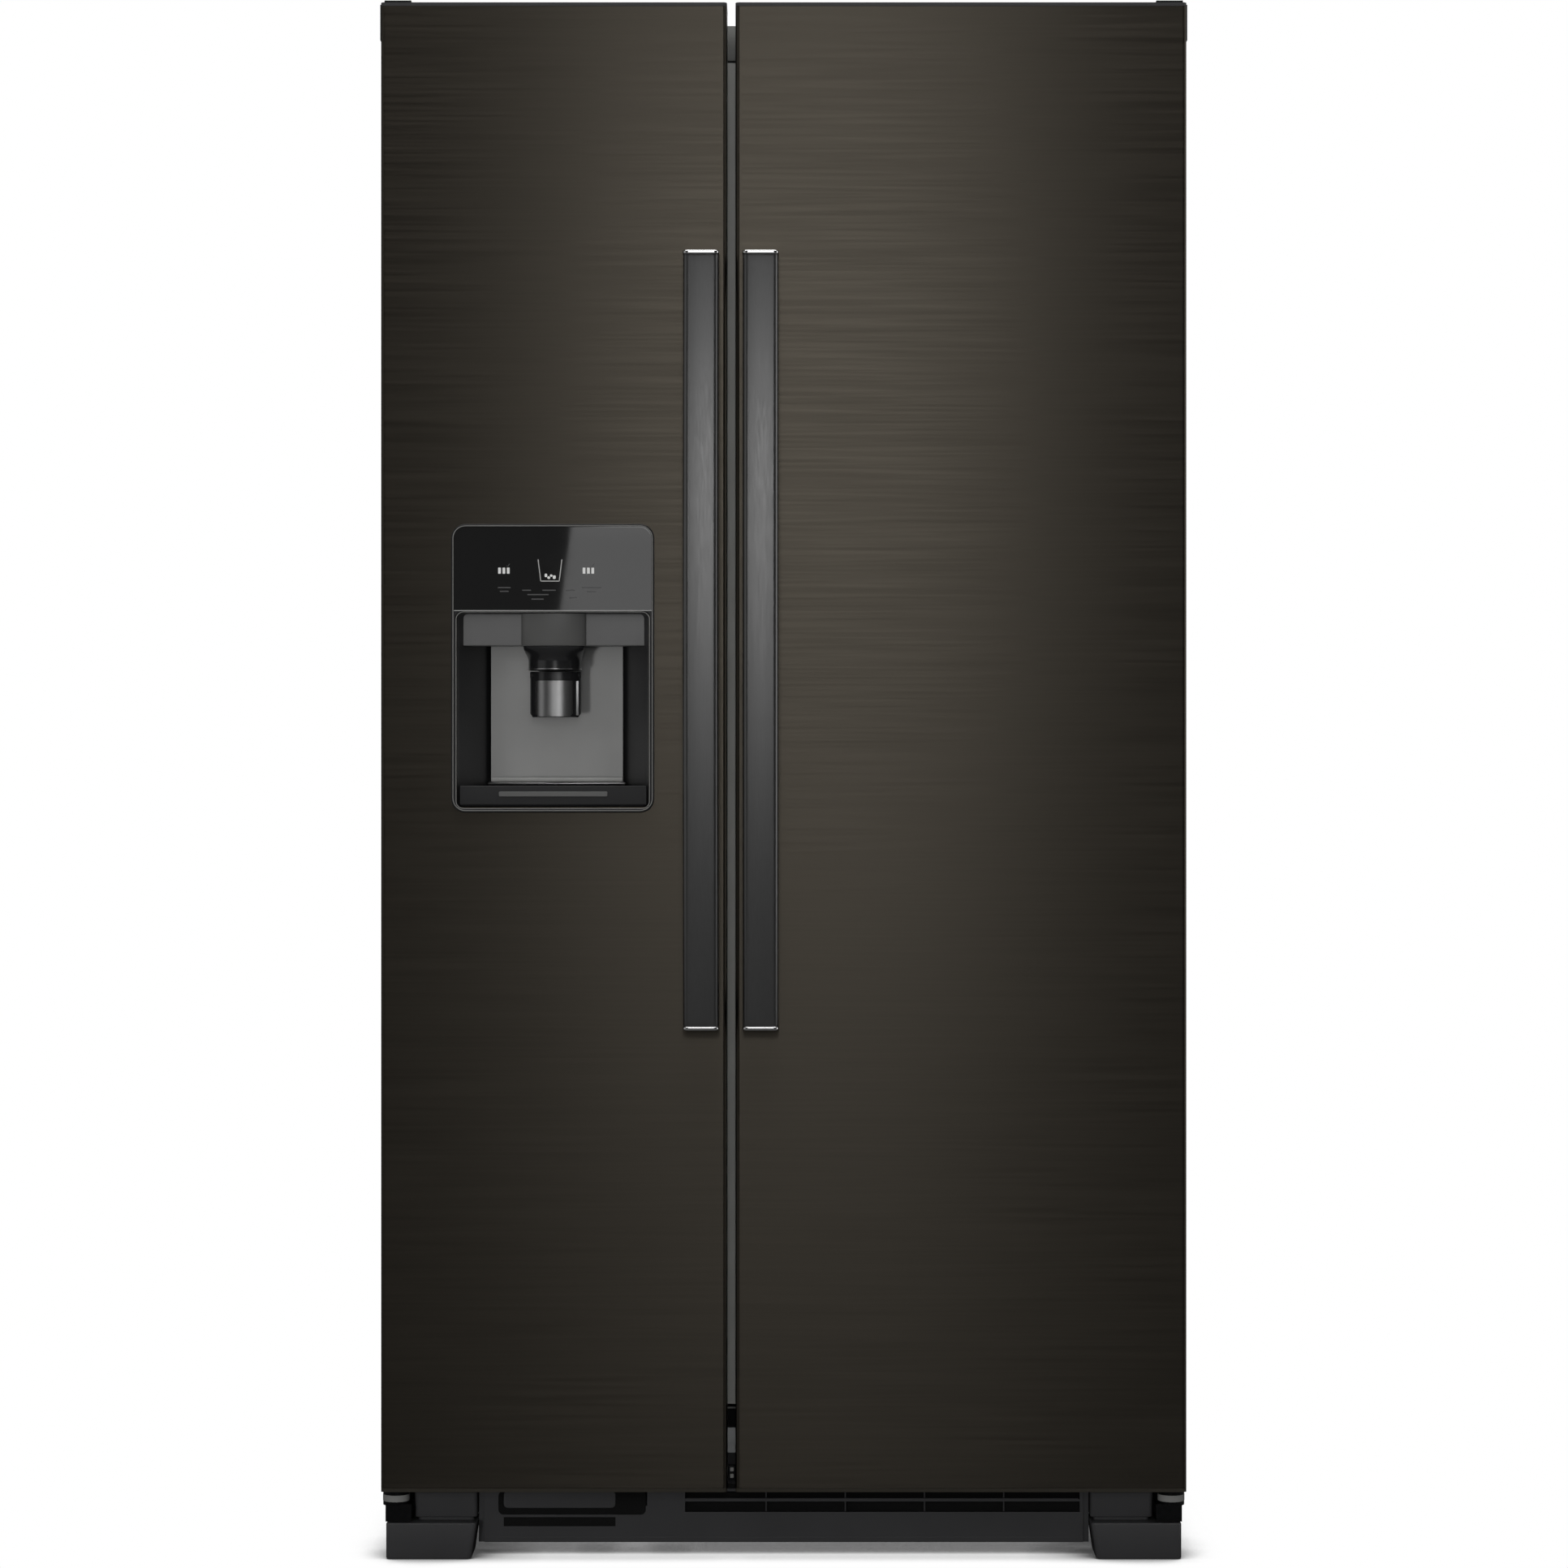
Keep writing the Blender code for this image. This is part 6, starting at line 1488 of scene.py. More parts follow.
def make_ice_parts():
    """Ice bucket with its auger, and the ice maker with its mould, motor box and arm."""
    bucket = Room("ice_bucket")
    loops = tray_loops(*bucket.tray, 3 * MM, 14 * MM, 5 * MM, 1.5 * MM, (0.4, 0.6))
    skin("ice_bucket_bin", loops, "white_abs", "cabinet", smooth=45, node="ice_bucket")
    t = np.linspace(0, 1, 220)
    turns, reach = 9, 30 * MM
    y = bucket.front + 14 * MM + (bucket.deep - 60 * MM) * t
    path = np.stack(
        [
            bucket.x + reach * np.cos(2 * math.pi * turns * t), y,
            bucket.low + 42 * MM + reach * np.sin(2 * math.pi * turns * t),
        ], 1
    )
    skin("ice_auger", tube(path, 2.6 * MM, 8), "zinc_plate", "cabinet", smooth=60)
    maker = Room("ice_maker")
    wall = 10 * MM
    mould = [
        (maker.left + 2 * MM, maker.right - 2 * MM, maker.front + 28 * MM, maker.back - 4 * MM)
    ]
    sides = mould[0]
    deep = maker.low + 38 * MM
    section = [
        (0, maker.low + 30 * MM), (-2 * MM, maker.high - 6 * MM), (0, maker.high),
        (wall, maker.high), (wall, deep + 8 * MM), (wall + 12 * MM, deep),
    ]
    loops = [raised("Z", outline(*edges_in(sides, u), 8 * MM, 5), z) for u, z in section]
    parts = [loops]
    for y in np.linspace(sides[2] + 34 * MM, sides[3] - 34 * MM, 6):
        low = (sides[0] + wall - 1 * MM, y - 1.2 * MM, deep + 2 * MM)
        parts.append(
            block(
                low, (sides[1] - wall + 1 * MM, y + 1.2 * MM, maker.high - 6 * MM), 0.8 * MM,
                0.8 * MM, "X",
            )
        )
    joined("ice_maker_mould", parts, "fin_aluminium", "cabinet", node="ice_maker")
    low = (maker.left, maker.front, maker.low + 6 * MM)
    box = block(low, (maker.right, maker.front + 34 * MM, maker.high), 5 * MM, 4 * MM, "Y")
    skin("ice_maker_motor_box", box, "white_abs", "cabinet")
    x = maker.right - 4 * MM
    arm = rounded(
        [
            (x, maker.front + 30 * MM, maker.low + 30 * MM),
            (x + 3 * MM, maker.front + 34 * MM, maker.low + 4 * MM),
            (x + 3 * MM, maker.back - 20 * MM, maker.low + 4 * MM),
            (x, maker.back - 12 * MM, maker.low + 34 * MM),
        ]
    )
    skin("ice_maker_arm", tube(arm, 1.5 * MM, 10), "zinc_plate", "cabinet", smooth=60)


# Cabinet


def make_front_rails():
    """Painted trims over the cabinet's front edges and the strip between the compartments."""
    shell = Room("cabinet_shell")
    strip = Room("mullion_cover")
    liner = Room("freezer_liner")
    face, deep = shell.front - 0.2 * MM, shell.front + 1 * MM
    side = 24.6 * MM
    left, right = shell.left + 0.5 * MM, shell.right - 0.5 * MM
    low, high = liner.low - 0.4 * MM, liner.high + 0.4 * MM
    bars = [
        (left, right, high, shell.high - 0.5 * MM),
        (left, right, liner.low - 27 * MM, low),
        (left, shell.left + side, low, high),
        (shell.right - side, right, low, high),
    ]
    loops = [block((a, face, c), (b, deep, d), 0.8 * MM, 0.15 * MM, "Y", 2) for a, b, c, d in bars]
    # The middle of the top rail reaches lower, down to a dark joint over the strip.
    joint = liner.high - 14.7 * MM
    mid = (strip.left + 1 * MM, face - 0.3 * MM, joint + 1.2 * MM)
    loops.append(
        block(
            mid, (strip.right - 1 * MM, deep, shell.high - 0.6 * MM), 0.8 * MM, 0.15 * MM, "Y", 2
        )
    )
    joined("cabinet_front_trims", loops, "rail_paint", "cabinet")
    low = (strip.left, face, strip.low - 4 * MM)
    high = (strip.right, deep, joint - 1.2 * MM)
    skin(
        "mullion_strip", block(low, high, 0.8 * MM, 0.15 * MM, "Y", 2), "strip_paint", "cabinet",
        node="mullion_cover",
    )
    # Dark joints cross the strip at its head and over the lower rail.
    joints = []
    for low, high in (
        (joint - 1.2 * MM, joint + 1.2 * MM), (liner.low - 27 * MM, liner.low - 6 * MM)
    ):
        at = (strip.left + 1 * MM, face - 0.4 * MM, low)
        joints.append(block(at, (strip.right - 1 * MM, deep, high), 0.3 * MM, 0.1 * MM, "Y", 2))
    joined("mullion_joints", joints, "backing_black", "cabinet")
    # A dark clip with two pale catches stands between the doors' lower corners.
    door = Room("fridge_door_skin")
    x = door.left - 4.8 * MM
    clip = (x - 4.2 * MM, shell.front - 12 * MM, door.low - 2 * MM)
    clip = block(clip, (x + 4.2 * MM, shell.front, door.low + 15 * MM), 1 * MM, 0.6 * MM)
    skin("gap_clip", clip, "dark_abs", "cabinet")
    catches = []
    for z in (door.low + 1 * MM, door.low + 8.5 * MM):
        catches.append(
            slab(
                stretch(x, -2, 2), stretch(shell.front, -12.4, -11), stretch(z, 0, 4.5), 0.6 * MM,
                0.2 * MM, "Y", 2,
            )
        )
    joined("gap_catches", catches, "strip_paint", "cabinet", slot="white_plastic")


def make_back():
    """The rear sheet: a flat grid pressed outwards over two long fields with sloping borders."""
    sheet = Room("back_panel")
    slope, margin, deep = 14 * MM, 60 * MM, 2.2 * MM
    half = (sheet.wide - 3 * margin) / 2
    fields = [
        (
            sheet.left + margin + k * (half + margin),
            sheet.left + margin + k * (half + margin) + half,
        )
        for k in (0, 1)
    ]
    tall = (sheet.low + margin, sheet.high - margin)
    marks = [sheet.left, sheet.right] + [
        f + d for f in sum(fields, ()) for d in (-slope, -slope / 2, 0, slope / 2, slope)
    ]
    x = np.unique(np.concatenate([marks, np.linspace(sheet.left, sheet.right, 25)]))
    marks = [sheet.low, sheet.high] + [
        f + d for f in tall for d in (-slope, -slope / 2, 0, slope / 2, slope)
    ]
    z = np.unique(np.concatenate([marks, np.linspace(sheet.low, sheet.high, 35)]))
    gx, gz = np.meshgrid(x, z)
    press = np.zeros_like(gx)
    for a, b in fields:
        across = smoothstep(a, a + slope, gx) * (1 - smoothstep(b - slope, b, gx))
        press += across * smoothstep(tall[0], tall[0] + slope, gz) * (
            1 - smoothstep(tall[1] - slope, tall[1], gz)
        )
    gy = sheet.back - 0.05 * MM + deep * press
    front = np.stack([gx, gy, gz], -1)
    rows, columns = gx.shape
    points = np.concatenate([front.reshape(-1, 3), (front - [0, 0.8 * MM, 0]).reshape(-1, 3)])
    near = quads(rows, columns, around=False)
    far = near[:, ::-1] + rows * columns
    number = np.arange(rows * columns).reshape(rows, columns)
    rim = np.concatenate([number[0, :-1], number[:-1, -1], number[-1, :0:-1], number[:0:-1, 0]])
    after = np.roll(rim, -1)
    edge = np.stack([rim, rim + rows * columns, after + rows * columns, after], 1)
    faces = np.concatenate([near[:, ::-1], far[:, ::-1], edge[:, ::-1]])
    finished(
        "rear_sheet", points, faces.tolist(), "galvanised_sheet", "cabinet", 30, node="back_panel"
    )
    heads = []
    for z in np.linspace(sheet.low + 12 * MM, sheet.high - 20 * MM, 8):
        for x in (sheet.left + 12 * MM, sheet.right - 12 * MM):
            heads.append(screw(x, sheet.back - 0.1 * MM, z, "Y", 1, 4.5 * MM))
    for x in np.linspace(sheet.left + 120 * MM, sheet.right - 120 * MM, 5):
        heads.append(screw(x, sheet.back - 0.1 * MM, sheet.high - 12 * MM, "Y", 1, 4.5 * MM))
    cover = Room("machine_cover")
    face = cover.back - 4 * MM
    for x in np.linspace(cover.left + 20 * MM, cover.right - 20 * MM, 7):
        heads.append(screw(x, face, cover.high - 12 * MM, "Y", 1, 4.5 * MM))
        heads.append(screw(x, face, cover.low + 12 * MM, "Y", 1, 4.5 * MM))
    joined("rear_screws", heads, "zinc_plate", "cabinet")
    # Blades across the cover's air slots.
    blades = []
    for k in range(9):
        x = cover.left + 90 * MM + k * 40 * MM
        for z in np.linspace(cover.low + 62 * MM, cover.high - 62 * MM, 6):
            blades.append(
                slab(
                    stretch(x, -9, 9), stretch(face, -2.4, -1.2), stretch(z, -1.5, 1.5), 0.5 * MM,
                    0.4 * MM, "X", 2,
                )
            )
    joined("machine_cover_louvres", blades, "pebbled_paint", "cabinet")


def make_hinge_covers():
    """Smooth hoods over the upper hinges, each with a screw."""
    for hand, _ in HANDS:
        node = "hinge_cover_" + hand
        room = Room(node)
        loops = [raised("Z", outline(*room.plan, 5 * MM, 6), room.low)]
        for pull, drop in rolled(6 * MM, 7):
            edges = np.array(room.plan) + pull * np.array([1, -1, 0.6, -2.4])
            loops.append(raised("Z", outline(*edges, 5 * MM, 6), room.high - drop))
        skin(node + "_hood", loops, "black_abs", "cabinet", smooth=45, node=node)
        joined(
            node + "_screw",
            [screw(room.x, room.back - 30 * MM, room.high - 0.2 * MM, "Z", 1, 4 * MM)],
            "zinc_plate", "cabinet",
        )


def make_hinges():
    """Grey closing cams under the doors: turned collars with a wider foot."""
    out = 438.5 * MM
    rows = (
        (9, -13), (14.4, -13), (15.2, -12), (15.2, -5), (13.6, -4.4), (13.6, -0.6), (13, 0), (5, 0)
    )
    for (hand, side), unit in zip(HANDS, DOORS):
        top = Room(unit + "_door_bottom_cap").low - 0.6 * MM
        centre = (side * out, Room("lower_hinge_" + hand).front + 15 * MM)
        cam = turned(profile(top, *rows), centre, "Z", 48)
        skin("closing_cam_" + hand, cam, "cam_acetal", "cabinet")


# Base


def make_base_front():
    """A near-black backing as painted shade behind the grille's louvre bars, the bars, the filter's
    flap with a near-black rim of painted shade, and its cap.
    """
    grille = Room("base_grille")
    flap = Room("filter_cover")
    cap = Room("water_filter")
    # Painted shade: a near-black backing behind the louvres darkens what shows between them.
    low = (grille.left + 1 * MM, grille.front + 9 * MM, grille.low + 6 * MM)
    high = (grille.right - 1 * MM, grille.front + 12 * MM, grille.low + 52 * MM)
    skin("grille_backing", block(low, high, 1 * MM, 0.4 * MM, "Y", 2), "backing_black", "cabinet")
    bar_start, rib_start = -0.112, -0.02
    z = grille.low + 44.5 * MM
    bars = [
        slab(
            (bar_start, grille.right - 5 * MM), stretch(grille.front, 0.4, 4),
            stretch(z, -1.2, 1.2), 0.8 * MM, 0.6 * MM, "X", 3,
        )
    ]
    for x in np.linspace(rib_start, grille.right - 90 * MM, 4):
        bars.append(
            slab(
                stretch(x, -0.8, 0.8), stretch(grille.front, 3.4, 7), stretch(grille.low, 30, 54),
                0.4 * MM, 0.3 * MM, "Z", 2,
            )
        )
    joined("grille_louvre_bars", bars, "black_abs", "cabinet")
    # A near-black strip over the slot under the flap is painted shade.
    low = (flap.left, grille.front - 0.1 * MM, grille.low + 14 * MM)
    slot = block(
        low, (flap.right, grille.front + 0.6 * MM, grille.low + 27.2 * MM), 0.6 * MM, 0.1 * MM,
        "Y", 2,
    )
    skin("band_slot_shade", slot, "backing_black", "cabinet")
    # A lip hems the grille's lower edge, a sill parts the slot from the flap, and end flanges
    # close the grille against the corner covers.
    hem = 4 * MM
    low = (grille.left, grille.front - 0.15 * MM, grille.low - hem)
    ends = [
        block(
            low, (grille.right, grille.front + 3 * MM, grille.low + 2 * MM), 0.6 * MM, 0.4 * MM,
            "Y", 2,
        )
    ]
    low = (flap.left - 2 * MM, grille.front - 0.5 * MM, grille.low + 24.4 * MM)
    ends.append(
        block(
            low, (flap.right + 2 * MM, grille.front + 0.5 * MM, grille.low + 27.2 * MM), 0.4 * MM,
            0.2 * MM, "Y", 2,
        )
    )
    for side in (-1, 1):
        x = sorted((side * (grille.right - 1 * MM), side * (grille.right + 6.4 * MM)))
        ends.append(
            slab(
                (x[0], x[1]), stretch(grille.front, 2, 5), (grille.low - hem, grille.high),
                0.6 * MM, 0.4 * MM,
            )
        )
    joined("grille_end_flanges", ends, "black_abs", "cabinet")
    # A near-black rim round the flap and the cap beside it is painted shade, the shadow gap they
    # sit in.
    foot = flap.low - 3.3 * MM
    around = slab(
        (flap.left - 6 * MM, cap.right + 2.4 * MM), stretch(flap.front, -0.1, 1.6),
        (grille.low + 27 * MM, flap.high), 6 * MM, 0.2 * MM, "Y", 6,
    )
    skin("filter_surround", around, "backing_black", "cabinet")
    face = slab(
        (flap.left, flap.right), stretch(flap.front, -0.6, 2.2), (foot, flap.high), 5 * MM,
        0.9 * MM, "Y", 6,
    )
    skin("filter_flap", face, "black_abs", "filter_cover", node="filter_cover")
    # The cap's grip is a circle whose radius waves with the turn.
    sides, teeth = 144, 18
    turn = np.arange(sides) * 2 * math.pi / sides
    loops = []
    for pull, y in (
        (1.5 * MM, 0.0), (0.4 * MM, 0.4 * MM), (0.0, 1.4 * MM), (0.0, 9 * MM), (1.6 * MM, 9.4 * MM)
    ):
        radius = cap.wide / 2 - pull - 0.5 * MM * (0.5 - 0.5 * np.cos(teeth * turn))
        flat = np.stack([cap.x + radius * np.cos(turn), cap.z + radius * np.sin(turn)], 1)
        loops.append(raised("Y", flat, cap.front + y))
    body = profile(cap.front, (11, 9.2), (11, 27), (12, 31)) + profile(cap.back, (12, -4), (8, 0))
    parts = [loops, turned(body, (cap.x, cap.z), "Y", 40)]
    parts.append(
        slab(
            stretch(cap.x, -2.2, 2.2), stretch(cap.front, -0.4, 1.5), stretch(cap.z, -9, 9),
            1.4 * MM, 0.5 * MM, "Y",
        )
    )
    joined("filter_cartridge", parts, "dark_abs", "water_filter", node="water_filter")


def make_foot_covers():
    """Corner covers: a lower box, its inner side leaning in towards the floor, and a block."""
    for hand, side in HANDS:
        node = "foot_cover_" + hand
        room = Room(node)
        lean, step, split = 5.5 * MM, 18 * MM, room.low + 40.4 * MM

        def plan(inner, outer, front, back, z, corner=5 * MM):
            ends = sorted((side * inner, side * outer))
            return raised("Z", outline(*ends, front, back, corner, 6), z)

        near = min(abs(room.left), abs(room.right))
        far = max(abs(room.left), abs(room.right))
        edge = rolled(1.6 * MM, 4, turns_in=True)
        levels = [(near + lean, pull, room.low + rise) for pull, rise in edge]
        levels += [(near, pull, split - rise) for pull, rise in edge[::-1]]
        loops = [
            plan(inner + pull, far - pull, room.front + pull, room.back - pull, z)
            for inner, pull, z in levels
        ]
        upper = (near + 0.4 * MM, far - 31 * MM)
        parts = [loops]
        x0, x1 = sorted((side * upper[0], side * upper[1]))
        low = (x0, room.front + step, split + 3.4 * MM)
        parts.append(block(low, (x1, room.back, room.high), 4 * MM, 1.4 * MM))
        waist = (x0 + 4 * MM, room.front + step + 3 * MM, split - 1 * MM)
        parts.append(block(waist, (x1 - 4 * MM, room.back - 3 * MM, split + 5 * MM), 4 * MM, 0.0))
        joined(node + "_moulding", parts, "black_abs", "cabinet", node=node)


def make_feet():
    """Levelling feet with hexagon flats, and the rear rollers with treads."""
    for hand, _ in HANDS:
        node = "levelling_foot_" + hand
        foot = Room(node)
        r = foot.wide / 2
        disc = [
            (r - 1.5 * MM, 0.0), (r, 1.2 * MM), (r, 4.6 * MM), (r - 1.4 * MM, 6 * MM),
            (11 * MM, 7.2 * MM), (9 * MM, 9 * MM),
        ]
        hexagon = [raised("Z", ring(foot.x, foot.y, 9.2 * MM, 6), z) for z in (7 * MM, 15 * MM)]
        stud = [(5 * MM, 12 * MM)]
        thread = np.arange(16 * MM, foot.high - 1 * MM, 1.0 * MM)
        for k, z in enumerate(thread):
            stud.append((5 * MM - (0.55 * MM if k % 2 else 0.0), z))
        stud.append((4 * MM, foot.high))
        parts = [
            turned([(a, foot.low + b) for a, b in disc], (foot.x, foot.y), "Z", 48), hexagon,
            turned(stud, (foot.x, foot.y), "Z", 24),
        ]
        joined(node + "_screw", parts, "zinc_plate", node, node=node, slot="hinge_steel")
        node = "rear_roller_" + hand
        wheel = Room(node)
        r = wheel.tall / 2
        x0, x1 = wheel.x - 11 * MM, wheel.x + 11 * MM
        tread = profile(x0, (8, 1), (8.5, 0))
        tread = profile(wheel.left, (4, 0)) + profile(x0, (4, 2)) + tread
        tread += [(r - 4 * MM, x0), (r - 1.4 * MM, x0 + 1 * MM), (r, x0 + 3 * MM)]
        tread += [(r, wheel.x - 2 * MM), (r - 1 * MM, wheel.x - 1 * MM)]
        tread = mirrored(tread, wheel.x)
        parts = [turned(tread, (wheel.y, wheel.z), "X", 56)]
        for k in range(6):
            a = k * math.pi / 3
            y, z = wheel.y + 12 * MM * math.cos(a), wheel.z + 12 * MM * math.sin(a)
            parts.append(
                turned([(1.8 * MM, x0 - 0.5 * MM), (1.8 * MM, x1 + 0.5 * MM)], (y, z), "X", 10)
            )
        joined(node + "_wheel", parts, "roller_nylon", node, node=node)


# Machine space


def make_machine():
    """Compressor with its seam, feet, terminal box and pipes; finned coil; fan and motor."""
    shell = Room("compressor")
    r, floor = shell.wide / 2, shell.low
    x, y = shell.x, shell.y
    # Shares of the radius and the height: a lower bowl, the welded seam and an upper bowl.
    bowl = [(0.60, 0.03), (0.72, 0.05), (0.90, 0.12), (0.965, 0.22), (0.98, 0.45), (0.98, 0.50)]
    bowl += [(1.0, 0.51), (1.0, 0.54), (0.975, 0.55), (0.96, 0.68), (0.90, 0.80), (0.74, 0.91)]
    bowl += [(0.48, 0.97), (0.2, 0.995), (0.05, 1.0)]
    parts = [turned([(r * a, floor + shell.tall * b) for a, b in bowl], (x, y), "Z", 72)]
    for k in range(3):
        a = math.radians(30 + 120 * k)
        fx, fy = x + 0.78 * r * math.cos(a), y + 0.78 * r * math.sin(a)
        foot = profile(floor, (9, 0), (10, 2), (10, 10), (6, 12))
        parts.append(turned(foot, (fx, fy), "Z", 24))
    joined("compressor_can", parts, "compressor_enamel", "cabinet", 50, node="compressor")
    box = slab(
        stretch(x - r, -4, 20), stretch(y, -22, 22), stretch(floor, 55, 105), 3 * MM, 3 * MM, "X"
    )
    skin("compressor_terminal_box", box, "black_abs", "cabinet")
    coil = Room("condenser")
    z = floor + 0.70 * shell.tall
    pipes = []
    for k, (rise, away) in enumerate(((0.0, 0.0), (22 * MM, -26 * MM))):
        path = rounded([
            (x - 0.80 * r, y - 0.35 * r + away, z + rise - 30 * MM),
            (x - 1.25 * r, y - 0.45 * r + away, z + rise - 26 * MM),
            (0.11, y - 0.55 * r + away, z + rise - 6 * MM),
            (0.02, coil.front - 12 * MM + away * 0.4, z + rise),
            (coil.right - 10 * MM, coil.front - 12 * MM + away * 0.4, coil.high - 20 * MM - rise),
        ], 8)
        pipes.append(tube(path, 3.2 * MM, 14))
    joined("refrigerant_pipes", pipes, "copper", "cabinet", 60)
    fins = []
    for fx in np.linspace(coil.left, coil.right - 0.6 * MM, 34):
        fins.append(
            block(
                (fx, coil.front, coil.low), (fx + 0.6 * MM, coil.back, coil.high), 0.0, 0.0, "X", 1
            )
        )
    joined("condenser_fins", fins, "fin_aluminium", "cabinet", node="condenser")
    rows = []
    for k in range(4):
        z = coil.low + 22 * MM + k * 34 * MM
        for yy in (coil.front + 28 * MM, coil.back - 28 * MM):
            rows.append(
                turned(
                    [(4 * MM, coil.left - 6 * MM), (4 * MM, coil.right + 6 * MM)], (yy, z), "X", 16
                )
            )
        bend = np.linspace(-math.pi / 2, math.pi / 2, 13)
        radius = (coil.deep - 56 * MM) / 2
        for end, way in ((coil.right + 6 * MM, 1), (coil.left - 6 * MM, -1)):
            path = np.stack(
                [
                    end + way * 12 * MM * np.cos(bend), coil.y + radius * np.sin(bend),
                    np.full(13, z),
                ],
                1,
            )
            rows.append(tube(path, 4 * MM, 12))
    joined("condenser_coil", rows, "copper", "cabinet", 60, slot="aluminium_fins")
    fan = Room("condenser_fan")
    motor = Room("fan_motor")
    hub = profile(fan.left, (5, -2), (11, -1), (13, 1.5)) + profile(fan.right, (13, -1), (11, 0))
    blades = [turned(hub, (fan.y, fan.z), "X", 40)]
    span = np.linspace(0, 1, 10)
    chord = np.linspace(-1, 1, 11)
    for k in range(4):
        a = k * math.pi / 2
        out = np.array([0, math.cos(a), math.sin(a)])
        across = np.array([0, -math.sin(a), math.cos(a)])
        loops = []
        for s in span:
            reach = 8 * MM + (fan.tall / 2 - 8 * MM) * s
            half = (8 + 14 * smoothstep(0, 0.8, s)) * MM
            pitch = math.radians(32 - 14 * s)
            thick = 0.7 * MM * (1 - chord**2) + 0.25 * MM
            camber = 2.2 * MM * (1 - chord**2)
            for_side = []
            for sign in (1, -1):
                c = chord if sign > 0 else chord[::-1]
                t = thick if sign > 0 else thick[::-1]
                flat = half * c[:, None] * (
                    across * math.cos(pitch) + np.array([1, 0, 0]) * math.sin(pitch) * 0.8
                )
                for_side.append(flat + (camber + sign * t)[:, None] * np.array([1, 0, 0]))
            loops.append(np.array([fan.x, fan.y, fan.z]) + out * reach + np.concatenate(for_side))
        blades.append(loops)
    joined("condenser_fan_blades", blades, "black_abs", "condenser_fan", 50, node="condenser_fan")
    x0 = motor.left
    case = profile(x0, (5, -0.5), (17, 0), (20, 3), (20, 12), (22, 12), (22, 22), (20, 22))
    case += profile(motor.right, (19, -2), (15, 0))
    bracket = slab(
        stretch(x0, 11, 14), stretch(motor.y, -30, 30), (motor.low, motor.high - 12 * MM), 1 * MM,
        0.8 * MM, "X", 3,
    )
    foot = slab(
        stretch(x0, 2, 28), stretch(motor.y, -30, 30), stretch(motor.low, 0, 2), 2 * MM, 0.8 * MM
    )
    joined(
        "fan_motor_case", [turned(case, (motor.y, fan.z), "X", 48), bracket, foot], "zinc_plate",
        "cabinet", node="fan_motor",
    )
    pan = Room("base_pan")
    tray = Room("condenser")
    plan = (0.10, 0.168, pan.back - 0.30, pan.back - 0.16)
    skin(
        "defrost_pan",
        tray_loops(plan, tray.low, tray.low + 34 * MM, 2 * MM, 8 * MM, 2 * MM, 1 * MM), "dark_abs",
        "cabinet", smooth=45,
    )
    vx, vy, vz = 0.385, pan.back - 26 * MM, pan.low + 90 * MM
    valve = [slab(stretch(vx, -14, 14), stretch(vy, -14, 14), stretch(vz, 0, 26), 4 * MM, 3 * MM)]
    valve.append(turned(profile(vz, (9, 26), (11, 28), (11, 50), (7, 54)), (vx, vy), "Z", 32))
    valve.append(
        slab(
            stretch(vx, -2, 2), stretch(vy, -2, 2), (pan.low + 2 * MM, vz + 4 * MM), 1 * MM,
            0.5 * MM,
        )
    )
    joined("water_valve", valve, "white_abs", "cabinet")


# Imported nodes


def dress_nodes():
    """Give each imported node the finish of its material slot. The doors' lower caps are painted to
    match the doors."""
    slots = {part["node"]: part["material_slot"] for part in frame["record"]["subparts"]}
    for node, body in frame["nodes"].items():
        body.data.materials.clear()
        painted = node.endswith("_door_bottom_cap")
        finish = "cap_paint" if painted else SLOT_FINISHES[slots[node]].split()[0]
        body.data.materials.append(MATERIALS[finish])


# Operators


class REFRIGERATOR_OT_stage(bpy.types.Operator):
    """Place the camera, the lights and the floor"""

    bl_idname = "refrigerator.stage"
    bl_label = "Stage"

    def execute(self, context):
        make_stage()
        return {"FINISHED"}


class REFRIGERATOR_OT_finishes(bpy.types.Operator):
    """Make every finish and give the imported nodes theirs"""

    bl_idname = "refrigerator.finishes"
    bl_label = "Finishes"

    def execute(self, context):
        make_finishes(context.scene.refrigerator_colours, context.scene.refrigerator_sizes)
        dress_nodes()
        return {"FINISHED"}


class REFRIGERATOR_OT_doors(bpy.types.Operator):
    """Make the two doors' steel skins"""

    bl_idname = "refrigerator.doors"
    bl_label = "Door skins"

    def execute(self, context):
        for unit in DOORS:
            make_door_skin(unit, context.scene.refrigerator_sizes)
        return {"FINISHED"}


class REFRIGERATOR_OT_handles(bpy.types.Operator):
    """Make the bowed handles and their plated trims"""

    bl_idname = "refrigerator.handles"
    bl_label = "Handles"

    def execute(self, context):
        for unit in DOORS:
            make_handle(unit, context.scene.refrigerator_sizes)
        return {"FINISHED"}


class REFRIGERATOR_OT_dispenser(bpy.types.Operator):
    """Make the ice and water dispenser"""

    bl_idname = "refrigerator.dispenser"
    bl_label = "Dispenser"

    def execute(self, context):
        make_housing()
        make_panel()
        make_chute()
        make_paddle()
        make_tray()
        return {"FINISHED"}


class REFRIGERATOR_OT_door_insides(bpy.types.Operator):
    """Make the doors' liners, seals, bins and dairy box"""

    bl_idname = "refrigerator.door_insides"
    bl_label = "Door insides"

    def execute(self, context):
        for unit in DOORS:
            make_door_liner(unit)
            make_gasket(unit)
            for level in ("upper", "lower"):
                make_door_bin(f"{unit}_bin_{level}", unit + "_door")
        make_dairy()
        return {"FINISHED"}


class REFRIGERATOR_OT_compartments(bpy.types.Operator):
    """Make the compartments' liners, supports, air covers and lights"""

    bl_idname = "refrigerator.compartments"
    bl_label = "Compartments"

    def execute(self, context):
        for unit in DOORS:
            make_liner(unit, context.scene.refrigerator_sizes)
            make_supports(unit, context.scene.refrigerator_sizes)
        make_air_covers()
        return {"FINISHED"}


